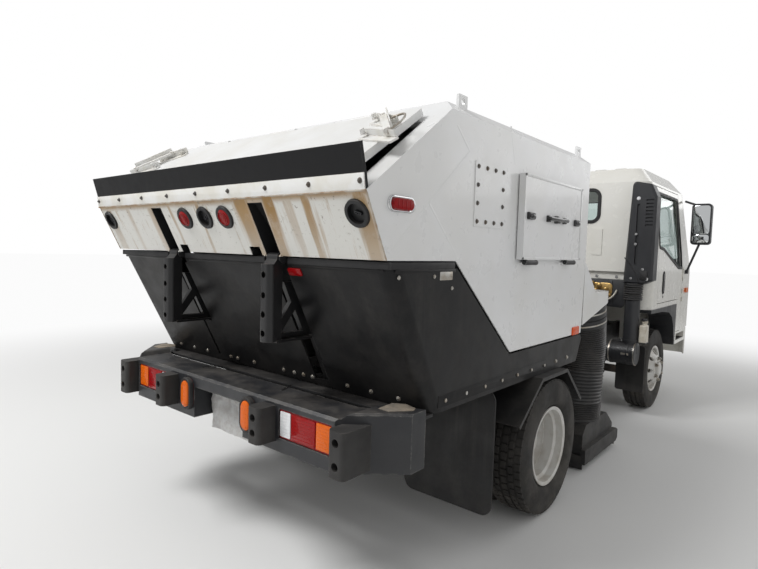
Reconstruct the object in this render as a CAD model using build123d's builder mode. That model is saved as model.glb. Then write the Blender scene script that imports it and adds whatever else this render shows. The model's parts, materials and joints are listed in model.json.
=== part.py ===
from build123d import *
import os
from math import atan2, cos, degrees, hypot, radians, sin

os.makedirs("parts", exist_ok=True)

# Cab-over street sweeper. Millimetres, +Z up, front towards -Y, the vehicle's left is +X.
# The origin is on the ground, at the middle of the vehicle's length and width.

# Driving dimensions of the chassis
WHEELBASE = 2769
REAR_AXLE_Y = 1140
FRONT_AXLE_Y = REAR_AXLE_Y - WHEELBASE
TYRE_R = 380
AXLE_Z = TYRE_R
TYRE_HALF = 107.5
REAR_INNER_X = 698
REAR_OUTER_X = 952
FRONT_TRACK_X = 832.5
KINGPIN_X = FRONT_TRACK_X - 87.5
RAIL_IN_X = 375
RAIL_OUT_X = 440
RAIL_LOW_Z = 520
RAIL_TOP_Z = 735
RAIL_FRONT_Y = FRONT_AXLE_Y - 961
RAIL_REAR_Y = REAR_AXLE_Y + 1160
FRONT_Y = FRONT_AXLE_Y - 1111
REAR_Y = 2740
SEAT_GAP = 0.3
MOVE_GAP = 6

# Driving dimensions of the hopper
HOPPER_X = 1009
HOPPER_WALL = 20
SEAM_Z = 1411
SHOULDER = (2702.5, 1645)
PEAK_SIDE = (2202, 2013)
ROOF_Z = 2070
ROOF_EDGE_IN = 79
HOPPER_FRONT_Y = 625
HOPPER_BOTTOM_Z = 966
DIAGONAL_LOW = (1610, HOPPER_BOTTOM_Z)
DIAGONAL_TOP = (2136, SEAM_Z)
SEAM_REAR_Y = 2585.5
PIVOT_Y = 2575
PIVOT_Z = 1402
PIN_R = 16
SLOT_IN_X = 349
SLOT_OUT_X = 445

# Driving dimensions of the cab
CAB_X = 998
CAB_WALL = 40
CAB_FRONT_Y = FRONT_AXLE_Y - 1086
CAB_BACK_Y = FRONT_AXLE_Y + 559
ARCH_FRONT_Y = FRONT_AXLE_Y - 436
ARCH_Z = 985
BELT_Z = 1330
CAB_CORNER_R = 90
CAB_HINGE_X = (RAIL_OUT_X + 34, RAIL_OUT_X + 64)
CAB_HINGE_Y = CAB_FRONT_Y + 15
CAB_HINGE_Z = 610
CAB_REST_Y = (CAB_BACK_Y - 130, CAB_BACK_Y - 60)


def yz_outline(points, x):
    """A closed outline of (y, z) points on the plane at the given x."""
    with BuildSketch(Plane.YZ.offset(x)) as outline:
        with BuildLine():
            Polyline(*points, close=True)
        make_face()
    return outline.sketch


def xz_outline(points, y):
    """A closed outline of (x, z) points on the plane at the given y, facing -Y."""
    with BuildSketch(Plane.XZ.offset(-y)) as outline:
        with BuildLine():
            Polyline(*points, close=True)
        make_face()
    return outline.sketch


def rounded_rectangle(y_low, y_high, half_width, radius, z):
    """A rectangle with round corners, seen from above, on the plane at the given z."""
    with BuildSketch(Plane.XY.offset(z)) as outline:
        with Locations((0, (y_low + y_high) / 2)):
            RectangleRounded(2 * half_width, y_high - y_low, radius)
    return outline.sketch


def block(x, y, z, mode=Mode.ADD):
    """Adds or cuts a plain block given by its two limits along each axis, in any order."""
    spans = (x, y, z)
    with Locations(tuple(sum(span) / 2 for span in spans)):
        Box(*[abs(span[1] - span[0]) for span in spans], mode=mode)


# Chassis frame: two channel rails with cross members, spring hangers and bumper horns
RAIL_SHEET = 7
CROSS_MEMBER_YS = (
    RAIL_FRONT_Y + 50,
    CAB_BACK_Y - 110,
    CAB_BACK_Y + 450,
    REAR_AXLE_Y - 580,
    REAR_AXLE_Y + 360,
    RAIL_REAR_Y - 70,
)
CROSS_HALF_Y = 45
CROSS_LOW_Z = 560
CROSS_TOP_Z = 690
SPRING_X = 408
SPRING_HALF_W = 32
HANGER_HALF_Y = 35
HANGER_WALL = 6
SPRING_EYE_R = 22
EYE_PIN_R = 10
FRONT_AXLE_TOP = 352
REAR_AXLE_TOP = 446
REAR_TUBE_R = 62
BEAM_HALF_Y = 42
BEAM_LOW_Z = 290
HOPPER_REST_Y = (780, 880)
HINGE_ARM = 22
# One row for each axle: its y, half the spring's length, the axle's top at the spring, the
# hangers' foot, the axle's underside and half the distance between the U-bolts' legs
SPRING_ROWS = (
    (FRONT_AXLE_Y, 560, FRONT_AXLE_TOP, 440, BEAM_LOW_Z, BEAM_HALF_Y + 16),
    (REAR_AXLE_Y, 600, REAR_AXLE_TOP, 518, AXLE_Z - REAR_TUBE_R, REAR_TUBE_R + 16),
)

rail_profile = [
    (RAIL_IN_X, RAIL_LOW_Z),
    (RAIL_OUT_X, RAIL_LOW_Z),
    (RAIL_OUT_X, RAIL_TOP_Z),
    (RAIL_IN_X, RAIL_TOP_Z),
    (RAIL_IN_X, RAIL_TOP_Z - RAIL_SHEET),
    (RAIL_OUT_X - RAIL_SHEET, RAIL_TOP_Z - RAIL_SHEET),
    (RAIL_OUT_X - RAIL_SHEET, RAIL_LOW_Z + RAIL_SHEET),
    (RAIL_IN_X, RAIL_LOW_Z + RAIL_SHEET),
]
with BuildPart() as chassis_frame:
    extrude(xz_outline(rail_profile, RAIL_REAR_Y), amount=RAIL_REAR_Y - RAIL_FRONT_Y)
    for axle_y, half, _, hanger_z, _, _ in SPRING_ROWS:
        ear_in = SPRING_HALF_W + SEAT_GAP
        ear_out = ear_in + HANGER_WALL
        eye_z = hanger_z - SPRING_EYE_R - SEAT_GAP
        for end in (-1, 1):
            hanger_y = (axle_y + end * half - HANGER_HALF_Y, axle_y + end * half + HANGER_HALF_Y)
            block((SPRING_X - ear_out, SPRING_X + ear_out), hanger_y, (hanger_z, RAIL_LOW_Z))
            for wall in (-1, 1):
                ear_x = (SPRING_X + wall * ear_in, SPRING_X + wall * ear_out)
                block(ear_x, hanger_y, (eye_z - 24, hanger_z + 1))
            with Locations(Location((SPRING_X, axle_y + end * half, eye_z), (0, 90, 0))):
                Cylinder(EYE_PIN_R, 2 * ear_out + 16)
    block((385, RAIL_OUT_X - 10), HOPPER_REST_Y, (RAIL_TOP_Z - 4, HOPPER_BOTTOM_Z - SEAT_GAP))
    block((385, RAIL_OUT_X - 10), CAB_REST_Y, (RAIL_TOP_Z - 4, ARCH_Z - SEAT_GAP))
    block(
        (RAIL_OUT_X - 4, CAB_HINGE_X[0] - 8),
        (CAB_HINGE_Y - HINGE_ARM, RAIL_FRONT_Y + 90),
        (CAB_HINGE_Z - HINGE_ARM, CAB_HINGE_Z + HINGE_ARM),
    )
    hinge_pin_x = (RAIL_OUT_X, CAB_HINGE_X[1] + 8)
    with Locations(Location((sum(hinge_pin_x) / 2, CAB_HINGE_Y, CAB_HINGE_Z), (0, 90, 0))):
        Cylinder(PIN_R, hinge_pin_x[1] - hinge_pin_x[0])
    mirror(about=Plane.YZ)
    for cross_y in CROSS_MEMBER_YS:
        with Locations((0, cross_y, (CROSS_LOW_Z + CROSS_TOP_Z) / 2)):
            Box(2 * (RAIL_OUT_X - RAIL_SHEET), 2 * CROSS_HALF_Y, CROSS_TOP_Z - CROSS_LOW_Z)
chassis_frame.part.label = "chassis_frame"
export_step(chassis_frame.part, "parts/chassis_frame.step")

# Leaf springs: a pack of curved leaves under each rail, clamped to both axles by U-bolts
LEAVES = 4
LEAF_THICK = 8
LEAF_STEP = 105
LEAF_SEAT = 4
CLAMP_PLATE = 12
U_BOLT_R = 7


def leaf(axle_y, centre_z, radius, half):
    """One curved leaf as a band about the pack's centre of curvature, seen from the side."""
    low_r = radius + LEAF_THICK + SEAT_GAP
    reach = half / radius
    arcs = []
    for r in (radius, low_r):
        arcs.append([(axle_y + r * sin(a), centre_z - r * cos(a)) for a in (-reach, 0, reach)])
    with BuildSketch(Plane.YZ.offset(SPRING_X - SPRING_HALF_W)) as band:
        with BuildLine():
            ThreePointArc(*arcs[0])
            Line(arcs[0][2], arcs[1][2])
            ThreePointArc(*arcs[1][::-1])
            Line(arcs[1][0], arcs[0][0])
        make_face()
    return band.sketch


with BuildPart() as leaf_springs:
    for axle_y, half, axle_top, hanger_z, under_z, leg_y in SPRING_ROWS:
        seat_z = axle_top + SEAT_GAP
        eye_z = hanger_z - SPRING_EYE_R - SEAT_GAP
        pack_top = seat_z + LEAF_SEAT + LEAVES * LEAF_THICK
        sag = eye_z - pack_top
        radius = (half**2 + sag**2) / (2 * sag)
        for index in range(LEAVES):
            shape = leaf(
                axle_y, pack_top + radius, radius + index * LEAF_THICK, half - index * LEAF_STEP
            )
            extrude(shape, amount=2 * SPRING_HALF_W)
        block(
            (SPRING_X - SPRING_HALF_W, SPRING_X + SPRING_HALF_W),
            (axle_y - leg_y, axle_y + leg_y),
            (seat_z, seat_z + LEAF_SEAT + 3),
        )
        for end in (-1, 1):
            with Locations(Location((SPRING_X, axle_y + end * half, eye_z), (0, 90, 0))):
                Cylinder(SPRING_EYE_R, 2 * SPRING_HALF_W)
            with Locations(Location((SPRING_X, axle_y + end * half, eye_z), (0, 90, 0))):
                Cylinder(EYE_PIN_R + SEAT_GAP, 3 * SPRING_HALF_W, mode=Mode.SUBTRACT)
        leg_x = SPRING_HALF_W + U_BOLT_R + 1
        plate_x = (SPRING_X - leg_x - U_BOLT_R - 3, SPRING_X + leg_x + U_BOLT_R + 3)
        plate_y = (axle_y - leg_y - U_BOLT_R - 3, axle_y + leg_y + U_BOLT_R + 3)
        top_plate = (pack_top - 1, pack_top + CLAMP_PLATE)
        low_plate = (under_z - CLAMP_PLATE - SEAT_GAP, under_z - SEAT_GAP)
        for plate_z in (top_plate, low_plate):
            block(plate_x, plate_y, plate_z)
        bolt_z = (low_plate[0] - 22, top_plate[1] + 4)
        with Locations((SPRING_X, axle_y, sum(bolt_z) / 2)):
            with GridLocations(2 * leg_x, 2 * leg_y, 2, 2):
                Cylinder(U_BOLT_R, bolt_z[1] - bolt_z[0])
    mirror(about=Plane.YZ)
leaf_springs.part.label = "leaf_springs"
export_step(leaf_springs.part, "parts/leaf_springs.step")

# Front axle: a beam with a boss at each end for the kingpin
BOSS_R = 38
BOSS_HALF = 44
KINGPIN_R = 17
with BuildPart() as front_axle:
    with Locations((0, FRONT_AXLE_Y, (BEAM_LOW_Z + FRONT_AXLE_TOP) / 2)):
        Box(2 * (KINGPIN_X - 90), 2 * BEAM_HALF_Y, FRONT_AXLE_TOP - BEAM_LOW_Z)
    for side in (-1, 1):
        extrude(
            xz_outline(
                [
                    (side * (KINGPIN_X - 120), BEAM_LOW_Z),
                    (side * (KINGPIN_X - 58), AXLE_Z - BOSS_HALF + MOVE_GAP),
                    (side * KINGPIN_X, AXLE_Z - BOSS_HALF + MOVE_GAP),
                    (side * KINGPIN_X, AXLE_Z + BOSS_HALF - MOVE_GAP),
                    (side * (KINGPIN_X - 58), AXLE_Z + BOSS_HALF - MOVE_GAP),
                    (side * (KINGPIN_X - 120), FRONT_AXLE_TOP),
                ],
                FRONT_AXLE_Y + 30,
            ),
            amount=60,
        )
        with Locations((side * KINGPIN_X, FRONT_AXLE_Y, AXLE_Z)):
            Cylinder(BOSS_R, 2 * BOSS_HALF)
    for side in (-1, 1):
        with Locations((side * KINGPIN_X, FRONT_AXLE_Y, AXLE_Z)):
            Cylinder(KINGPIN_R + SEAT_GAP, 4 * BOSS_HALF, mode=Mode.SUBTRACT)
front_axle.part.label = "front_axle"
export_step(front_axle.part, "parts/front_axle.step")

# Steering knuckles: a fork round the boss with its kingpin, and a spindle for the wheel
FORK_R = 34
FORK_PLATE = 22
FORK_BACK_X = 52
SPINDLE_R = 30
SPINDLE_END_X = FRONT_TRACK_X + 92.5
for side_name, side in (("left", 1), ("right", -1)):
    back_x = KINGPIN_X + FORK_BACK_X
    with BuildPart() as knuckle:
        with Locations((side * KINGPIN_X, FRONT_AXLE_Y, AXLE_Z)):
            Cylinder(KINGPIN_R, 2 * (BOSS_HALF + FORK_PLATE))
        for level in (-1, 1):
            plate_z = AXLE_Z + level * (BOSS_HALF + SEAT_GAP + FORK_PLATE / 2)
            with Locations((side * KINGPIN_X, FRONT_AXLE_Y, plate_z)):
                Cylinder(FORK_R, FORK_PLATE)
            with Locations((side * (KINGPIN_X + back_x) / 2, FRONT_AXLE_Y, plate_z)):
                Box(back_x - KINGPIN_X, 1.6 * FORK_R, FORK_PLATE)
        with Locations((side * (back_x + 9), FRONT_AXLE_Y, AXLE_Z)):
            Box(20, 1.6 * FORK_R, 2 * (BOSS_HALF + FORK_PLATE + SEAT_GAP))
        with Locations(
            Location((side * (back_x + SPINDLE_END_X) / 2, FRONT_AXLE_Y, AXLE_Z), (0, 90, 0))
        ):
            Cylinder(SPINDLE_R, SPINDLE_END_X - back_x)
    knuckle.part.label = f"knuckle_{side_name}"
    export_step(knuckle.part, f"parts/knuckle_{side_name}.step")

# Rear axle: a tube with the round drive housing at its middle
REAR_STUB_R = 45
DRIVE_BOWL_R = 190
REAR_TUBE_END_X = 590
REAR_STUB_END_X = 905
with BuildPart() as rear_axle:
    with Locations(Location((0, REAR_AXLE_Y, AXLE_Z), (0, 90, 0))):
        Cylinder(REAR_TUBE_R, 2 * REAR_TUBE_END_X)
        Cylinder(REAR_STUB_R, 2 * REAR_STUB_END_X)
    with Locations(Location((0, REAR_AXLE_Y, AXLE_Z), (90, 0, 0))):
        Cylinder(DRIVE_BOWL_R, 200)
        Cone(70, DRIVE_BOWL_R - 20, 200, align=(Align.CENTER, Align.CENTER, Align.MAX))
    for side in (-1, 1):
        with Locations((side * SPRING_X, REAR_AXLE_Y, (REAR_AXLE_TOP + AXLE_Z) / 2)):
            Box(90, 130, REAR_AXLE_TOP - AXLE_Z)
rear_axle.part.label = "rear_axle"
export_step(rear_axle.part, "parts/rear_axle.step")

# Wheels: the same pressed wheel, dished inward on the rear twins and outward at the front
FLANGE_R = 219
BEAD_R = 205
RIM_HALF = 92
DISC_OFFSET = 127
HUB_R = 118
HAND_HOLE_R = 19
HAND_HOLE_RING_R = 150
HAND_HOLES = 8
rim_barrel = [
    (-RIM_HALF, FLANGE_R),
    (-86, FLANGE_R),
    (-82, BEAD_R),
    (-45, BEAD_R),
    (-35, 190),
    (35, 190),
    (45, BEAD_R),
    (82, BEAD_R),
    (86, FLANGE_R),
    (RIM_HALF, FLANGE_R),
    (RIM_HALF, 212),
    (87, 199),
    (48, 199),
    (38, 183),
    (-38, 183),
    (-48, 199),
    (-87, 199),
    (-RIM_HALF, 212),
]
disc_section = [
    (20, 186),
    (37, 186),
    (74, 172),
    (106, 140),
    (DISC_OFFSET, 122),
    (DISC_OFFSET, 60),
    (DISC_OFFSET - 12, 60),
    (DISC_OFFSET - 12, 116),
    (98, 132),
    (66, 163),
    (32, 176),
    (20, 178),
]
tyre_section = [
    (-80, BEAD_R + SEAT_GAP),
    (-80, 224),
    (-99, 240),
    (-TYRE_HALF, 290),
    (-104, 335),
    (-92, 368),
    (-70, TYRE_R),
    (70, TYRE_R),
    (92, 368),
    (104, 335),
    (TYRE_HALF, 290),
    (99, 240),
    (80, 224),
    (80, BEAD_R + SEAT_GAP),
]


def wheel_section(points, centre_x, out, axle_y):
    """A section of (outward, radius) points on the horizontal plane through the axle."""
    plane = Plane(origin=(centre_x, axle_y, AXLE_Z), x_dir=(out, 0, 0), z_dir=(0, 0, out))
    with BuildSketch(plane) as section:
        with BuildLine():
            Polyline(*points, close=True)
        make_face()
    return section.sketch


def wheel_axis(axle_y):
    """The axis that the wheels of one axle turn about."""
    return Axis((0, axle_y, AXLE_Z), (1, 0, 0))


def hand_holes(centre_x, axle_y):
    """A ring of round holes seen along the axle."""
    plane = Plane(origin=(centre_x, axle_y, AXLE_Z), x_dir=(0, 1, 0), z_dir=(1, 0, 0))
    with BuildSketch(plane) as holes:
        with PolarLocations(HAND_HOLE_RING_R, HAND_HOLES):
            Circle(HAND_HOLE_R)
    return holes.sketch


FRONT_HUB_CAP_X = FRONT_TRACK_X + 152.5
for side_name, side in (("left", 1), ("right", -1)):
    with BuildPart() as front_rim:
        for section in (rim_barrel, disc_section):
            revolve(
                wheel_section(section, side * FRONT_TRACK_X, side, FRONT_AXLE_Y),
                axis=wheel_axis(FRONT_AXLE_Y),
            )
        hub_section = [
            (0, SPINDLE_R + SEAT_GAP),
            (0, HUB_R - 20),
            (DISC_OFFSET - 6, HUB_R - 20),
            (DISC_OFFSET - 6, 72),
            (FRONT_HUB_CAP_X - FRONT_TRACK_X - 8, 66),
            (FRONT_HUB_CAP_X - FRONT_TRACK_X, 50),
            (FRONT_HUB_CAP_X - FRONT_TRACK_X, 0),
            (SPINDLE_END_X - FRONT_TRACK_X + 3, 0),
            (SPINDLE_END_X - FRONT_TRACK_X + 3, SPINDLE_R + SEAT_GAP),
        ]
        revolve(
            wheel_section(hub_section, side * FRONT_TRACK_X, side, FRONT_AXLE_Y),
            axis=wheel_axis(FRONT_AXLE_Y),
        )
        extrude(
            hand_holes(side * FRONT_TRACK_X, FRONT_AXLE_Y),
            amount=2 * DISC_OFFSET,
            both=True,
            mode=Mode.SUBTRACT,
        )
    front_rim.part.label = f"front_rim_{side_name}"
    export_step(front_rim.part, f"parts/front_rim_{side_name}.step")

    with BuildPart() as front_tyre:
        revolve(
            wheel_section(tyre_section, side * FRONT_TRACK_X, side, FRONT_AXLE_Y),
            axis=wheel_axis(FRONT_AXLE_Y),
        )
    front_tyre.part.label = f"front_tyre_{side_name}"
    export_step(front_tyre.part, f"parts/front_tyre_{side_name}.step")

    mount_x = (REAR_INNER_X + REAR_OUTER_X) / 2
    with BuildPart() as rear_rims:
        for wheel_x, out in ((REAR_OUTER_X, -side), (REAR_INNER_X, side)):
            for section in (rim_barrel, disc_section):
                revolve(
                    wheel_section(section, side * wheel_x, out, REAR_AXLE_Y),
                    axis=wheel_axis(REAR_AXLE_Y),
                )
        drum_section = [
            (-180, REAR_STUB_R + 1),
            (-180, 165),
            (-60, 165),
            (-60, HUB_R),
            (16, HUB_R),
            (16, 84),
            (112, 76),
            (120, 60),
            (120, 0),
            (REAR_STUB_END_X - mount_x + 3, 0),
            (REAR_STUB_END_X - mount_x + 3, REAR_STUB_R + 1),
        ]
        revolve(
            wheel_section(drum_section, side * mount_x, side, REAR_AXLE_Y),
            axis=wheel_axis(REAR_AXLE_Y),
        )
        with BuildSketch(
            Plane(origin=(side * mount_x, REAR_AXLE_Y, AXLE_Z), x_dir=(0, 1, 0), z_dir=(side, 0, 0))
        ):
            with PolarLocations(HAND_HOLE_RING_R, HAND_HOLES):
                Circle(HAND_HOLE_R)
        extrude(amount=DISC_OFFSET, mode=Mode.SUBTRACT)
    rear_rims.part.label = f"rear_rims_{side_name}"
    export_step(rear_rims.part, f"parts/rear_rims_{side_name}.step")

    with BuildPart() as rear_tyres:
        for wheel_x in (REAR_OUTER_X, REAR_INNER_X):
            revolve(
                wheel_section(tyre_section, side * wheel_x, side, REAR_AXLE_Y),
                axis=wheel_axis(REAR_AXLE_Y),
            )
    rear_tyres.part.label = f"rear_tyres_{side_name}"
    export_step(rear_tyres.part, f"parts/rear_tyres_{side_name}.step")

# Engine with its gearbox as one plain mass, and the shaft to the rear axle
ENGINE_X = 290
ENGINE_FRONT_Y = FRONT_AXLE_Y - 631
ENGINE_BACK_Y = FRONT_AXLE_Y + 299
ENGINE_LOW_Z = 490
ENGINE_TOP_Z = 1140
GEARBOX_X = 170
GEARBOX_BACK_Y = FRONT_AXLE_Y + 909
with BuildPart() as engine_block:
    block((-ENGINE_X, ENGINE_X), (ENGINE_FRONT_Y, ENGINE_BACK_Y), (CROSS_TOP_Z + 20, ENGINE_TOP_Z))
    block(
        (-ENGINE_X + 60, ENGINE_X - 60),
        (ENGINE_FRONT_Y, ENGINE_BACK_Y),
        (ENGINE_LOW_Z, CROSS_TOP_Z + 20),
    )
    block((-GEARBOX_X, GEARBOX_X), (ENGINE_BACK_Y, GEARBOX_BACK_Y), (CROSS_TOP_Z + SEAT_GAP, 960))
engine_block.part.label = "engine_block"
export_step(engine_block.part, "parts/engine_block.step")

SHAFT_R = 45
shaft_start = (GEARBOX_BACK_Y + SEAT_GAP, 800)
shaft_end = (REAR_AXLE_Y - 300 - SEAT_GAP, AXLE_Z)
with BuildPart() as drive_shaft:
    with Locations(Location((0, shaft_start[0] + 30, shaft_start[1]), (90, 0, 0))):
        Cylinder(70, 60)
    with BuildLine() as shaft_line:
        Polyline(
            (0, shaft_start[0] + 40, shaft_start[1]),
            (0, shaft_end[0] - 20, shaft_end[1]),
        )
    with BuildSketch(Plane(origin=shaft_line.line @ 0, z_dir=shaft_line.line % 0)):
        Circle(SHAFT_R)
    sweep(path=shaft_line.line)
    with Locations(Location((0, shaft_end[0] - 20, shaft_end[1]), (90, 0, 0))):
        Cylinder(62, 40)
drive_shaft.part.label = "drive_shaft"
export_step(drive_shaft.part, "parts/drive_shaft.step")

# Fuel tank on the left rail, between the wheels
TANK_X = (RAIL_OUT_X + SEAT_GAP, 860)
TANK_Y = (CAB_BACK_Y + 30, CAB_BACK_Y + 650)
TANK_STRAP = 25
TANK_Z = (330, 720)
with BuildPart() as fuel_tank:
    block((TANK_X[0] + 40, TANK_X[1]), TANK_Y, TANK_Z)
    fillet(fuel_tank.edges().filter_by(Axis.Y), 60)
    for strap_y in (TANK_Y[0] + 120, TANK_Y[1] - 120):
        strap = (strap_y - TANK_STRAP, strap_y + TANK_STRAP)
        block((TANK_X[0], TANK_X[0] + 60), strap, (540, TANK_Z[1] - 20))
        with BuildSketch(Plane.XZ.offset(-strap[1])):
            with Locations((sum(TANK_X) / 2 + 20, sum(TANK_Z) / 2)):
                RectangleRounded(TANK_X[1] - TANK_X[0] - 32, TANK_Z[1] - TANK_Z[0] + 8, 62)
        extrude(amount=2 * TANK_STRAP)
    with Locations((TANK_X[1] - 90, TANK_Y[1] - 60, TANK_Z[1] + 20)):
        Cylinder(46, 42)
        Cylinder(34, 70)
fuel_tank.part.label = "fuel_tank"
export_step(fuel_tank.part, "parts/fuel_tank.step")

# Exhaust: a silencer under the gearbox, with its pipe from the engine and a short tail
SILENCER_R = 88
SILENCER_Y = (CAB_BACK_Y - 140, CAB_BACK_Y + 480)
SILENCER = (-230, 420)
PIPE_R = 30
exhaust_in = [
    (-150, ENGINE_BACK_Y + SEAT_GAP, 620),
    (-150, ENGINE_BACK_Y + 60, 620),
    (SILENCER[0], SILENCER_Y[0] - 40, SILENCER[1]),
    (SILENCER[0], SILENCER_Y[0] + 10, SILENCER[1]),
]
exhaust_out = [
    (SILENCER[0], SILENCER_Y[1] - 10, SILENCER[1]),
    (SILENCER[0], SILENCER_Y[1] + 110, SILENCER[1]),
    (-RAIL_OUT_X - 130, SILENCER_Y[1] + 110, SILENCER[1]),
]
with BuildPart() as exhaust:
    silencer_mid = (SILENCER[0], sum(SILENCER_Y) / 2, SILENCER[1])
    with Locations(Location(silencer_mid, (90, 0, 0))):
        Cylinder(SILENCER_R, SILENCER_Y[1] - SILENCER_Y[0])
    fillet(exhaust.edges().filter_by(GeomType.CIRCLE), 18)
    for route in (exhaust_in, exhaust_out):
        with BuildLine() as pipe_line:
            FilletPolyline(*route, radius=45)
        with BuildSketch(Plane(origin=pipe_line.line @ 0, z_dir=pipe_line.line % 0)):
            Circle(PIPE_R)
        sweep(path=pipe_line.line)
    for hanger_y in (CAB_BACK_Y - 110, CAB_BACK_Y + 450):
        block(
            (SILENCER[0] - 25, SILENCER[0] + 25),
            (hanger_y - 18, hanger_y + 18),
            (SILENCER[1] + SILENCER_R - 12, CROSS_LOW_Z - SEAT_GAP),
        )
exhaust.part.label = "exhaust"
export_step(exhaust.part, "parts/exhaust.step")

# Cab: outer form as a stack of round-cornered levels, each (z, front, back, half width)
CAB_LEVELS = (
    (ARCH_Z, CAB_FRONT_Y, CAB_BACK_Y, CAB_X),
    (BELT_Z, CAB_FRONT_Y, CAB_BACK_Y, CAB_X),
    (2110, CAB_FRONT_Y + 275, CAB_BACK_Y - 10, 930),
    (2240, CAB_FRONT_Y + 415, CAB_BACK_Y - 110, 830),
)
LOWER_FRONT_Y = CAB_FRONT_Y + 125
FRONT_PANEL_LOW_Z = 712
CAB_LOW_Z = 570


def lower_form(inset):
    """The footwell block below the cab, drawn in on every side by the inset."""
    outline = [
        (CAB_FRONT_Y + inset, ARCH_Z + 60),
        (CAB_FRONT_Y + inset, FRONT_PANEL_LOW_Z + inset),
        (LOWER_FRONT_Y + inset, FRONT_PANEL_LOW_Z + inset),
        (LOWER_FRONT_Y + inset, CAB_LOW_Z + inset),
        (ARCH_FRONT_Y - inset, CAB_LOW_Z + inset),
        (ARCH_FRONT_Y - inset, ARCH_Z + 60),
    ]
    front = CAB_FRONT_Y + inset
    back = CAB_BACK_Y - inset
    plan = rounded_rectangle(front, back, CAB_X - inset, CAB_CORNER_R - inset, CAB_LOW_Z)
    with BuildPart() as form:
        extrude(yz_outline(outline, 0), amount=CAB_X - inset, both=True)
        extrude(plan, amount=ARCH_Z + 60 - CAB_LOW_Z, mode=Mode.INTERSECT)
    return form.part


def cab_form(inset):
    """The cab's solid form, drawn in on every side by the inset."""
    radius = CAB_CORNER_R - inset
    top = len(CAB_LEVELS) - 1
    levels = []
    for level, (z, front, back, half) in enumerate(CAB_LEVELS):
        if level == 0:
            z += inset
        if level == top:
            z -= inset
        levels.append(rounded_rectangle(front + inset, back - inset, half - inset, radius, z))
    with BuildPart() as form:
        loft(levels, ruled=True)
        add(lower_form(inset))
    return form.part


def grown(points, amount, x, corner=0):
    """An outline moved outward by an amount, with its corners rounded first if asked."""
    with BuildSketch(Plane.YZ.offset(x)) as outline:
        with BuildLine():
            Polyline(*points, close=True)
        make_face()
        if corner:
            fillet(outline.vertices(), corner)
        if amount:
            offset(amount=amount, kind=Kind.INTERSECTION)
    return outline.sketch


def pane_outline(points, y, inset):
    """A window of the cab's front or back with round corners, drawn in by the inset."""
    with BuildSketch(Plane.XZ.offset(-y)) as outline:
        with BuildLine():
            Polyline(*points, close=True)
        make_face()
        fillet(outline.vertices(), PANE_CORNER_R)
        if inset:
            offset(amount=-inset, kind=Kind.INTERSECTION)
    return outline.sketch


DOOR_FRONT_Y = CAB_FRONT_Y + 430
DOOR_BACK_Y = CAB_BACK_Y - 215
DOOR_TOP_Z = 2085
DOOR_GAP = 6
DOOR_WALL_X = 850
door_outline = [
    (DOOR_FRONT_Y, 700),
    (ARCH_FRONT_Y - CAB_WALL - 8, 700),
    (ARCH_FRONT_Y - CAB_WALL - 8, ARCH_Z + CAB_WALL + 8),
    (DOOR_BACK_Y, ARCH_Z + CAB_WALL + 8),
    (DOOR_BACK_Y, DOOR_TOP_Z),
    (DOOR_FRONT_Y + 125, DOOR_TOP_Z),
    (DOOR_FRONT_Y, 1500),
]
door_window = [
    (DOOR_FRONT_Y + 60, 1345),
    (DOOR_FRONT_Y + 215, 1350),
    (DOOR_BACK_Y - 215, 1525),
    (DOOR_BACK_Y - 60, 1540),
    (DOOR_BACK_Y - 60, 2030),
    (DOOR_FRONT_Y + 160, 2030),
    (DOOR_FRONT_Y + 60, 1500),
]
DOOR_HINGE_X = CAB_X + 7
DOOR_HINGE_R = 6.5
DOOR_HINGE_ZS = (1065, 1275)
DOOR_BARREL = 44


def door_hinge(side, middle_z, way):
    """Adds one barrel of a door hinge, with its leaf on the skin ahead (-1) or behind (1)."""
    leaf_y = (DOOR_FRONT_Y + way * 25, DOOR_FRONT_Y + (way - 1) * DOOR_GAP / 2)
    z = (middle_z - DOOR_BARREL / 2, middle_z + DOOR_BARREL / 2)
    with Locations((side * DOOR_HINGE_X, DOOR_FRONT_Y, middle_z)):
        Cylinder(DOOR_HINGE_R, DOOR_BARREL)
    block((side * (CAB_X - 2), side * DOOR_HINGE_X), leaf_y, z)
    block((side * (CAB_X + SEAT_GAP), side * DOOR_HINGE_X), (leaf_y[0], DOOR_FRONT_Y), z)


cab_outer = cab_form(0)
cab_inner = cab_form(CAB_WALL)
TUNNEL_X = 330
TUNNEL_FRONT_Y = CAB_FRONT_Y + 385
TUNNEL_TOP_Z = 1180
FRAME_TUNNEL_X = RAIL_OUT_X + 30
FRAME_TUNNEL_TOP_Z = RAIL_TOP_Z + 25
windscreen_outline = [(-890, 1420), (890, 1420), (820, 2070), (-820, 2070)]
rear_window_outline = [(-510, 1765), (510, 1765), (510, 2048), (-510, 2048)]
PANE_CORNER_R = 62
WINDOW_CORNER_R = 24
BACK_PANEL_LOW_Z = 1310
SCREEN_Y = CAB_FRONT_Y + 415
REAR_PANE_Y = CAB_BACK_Y + 70
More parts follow.
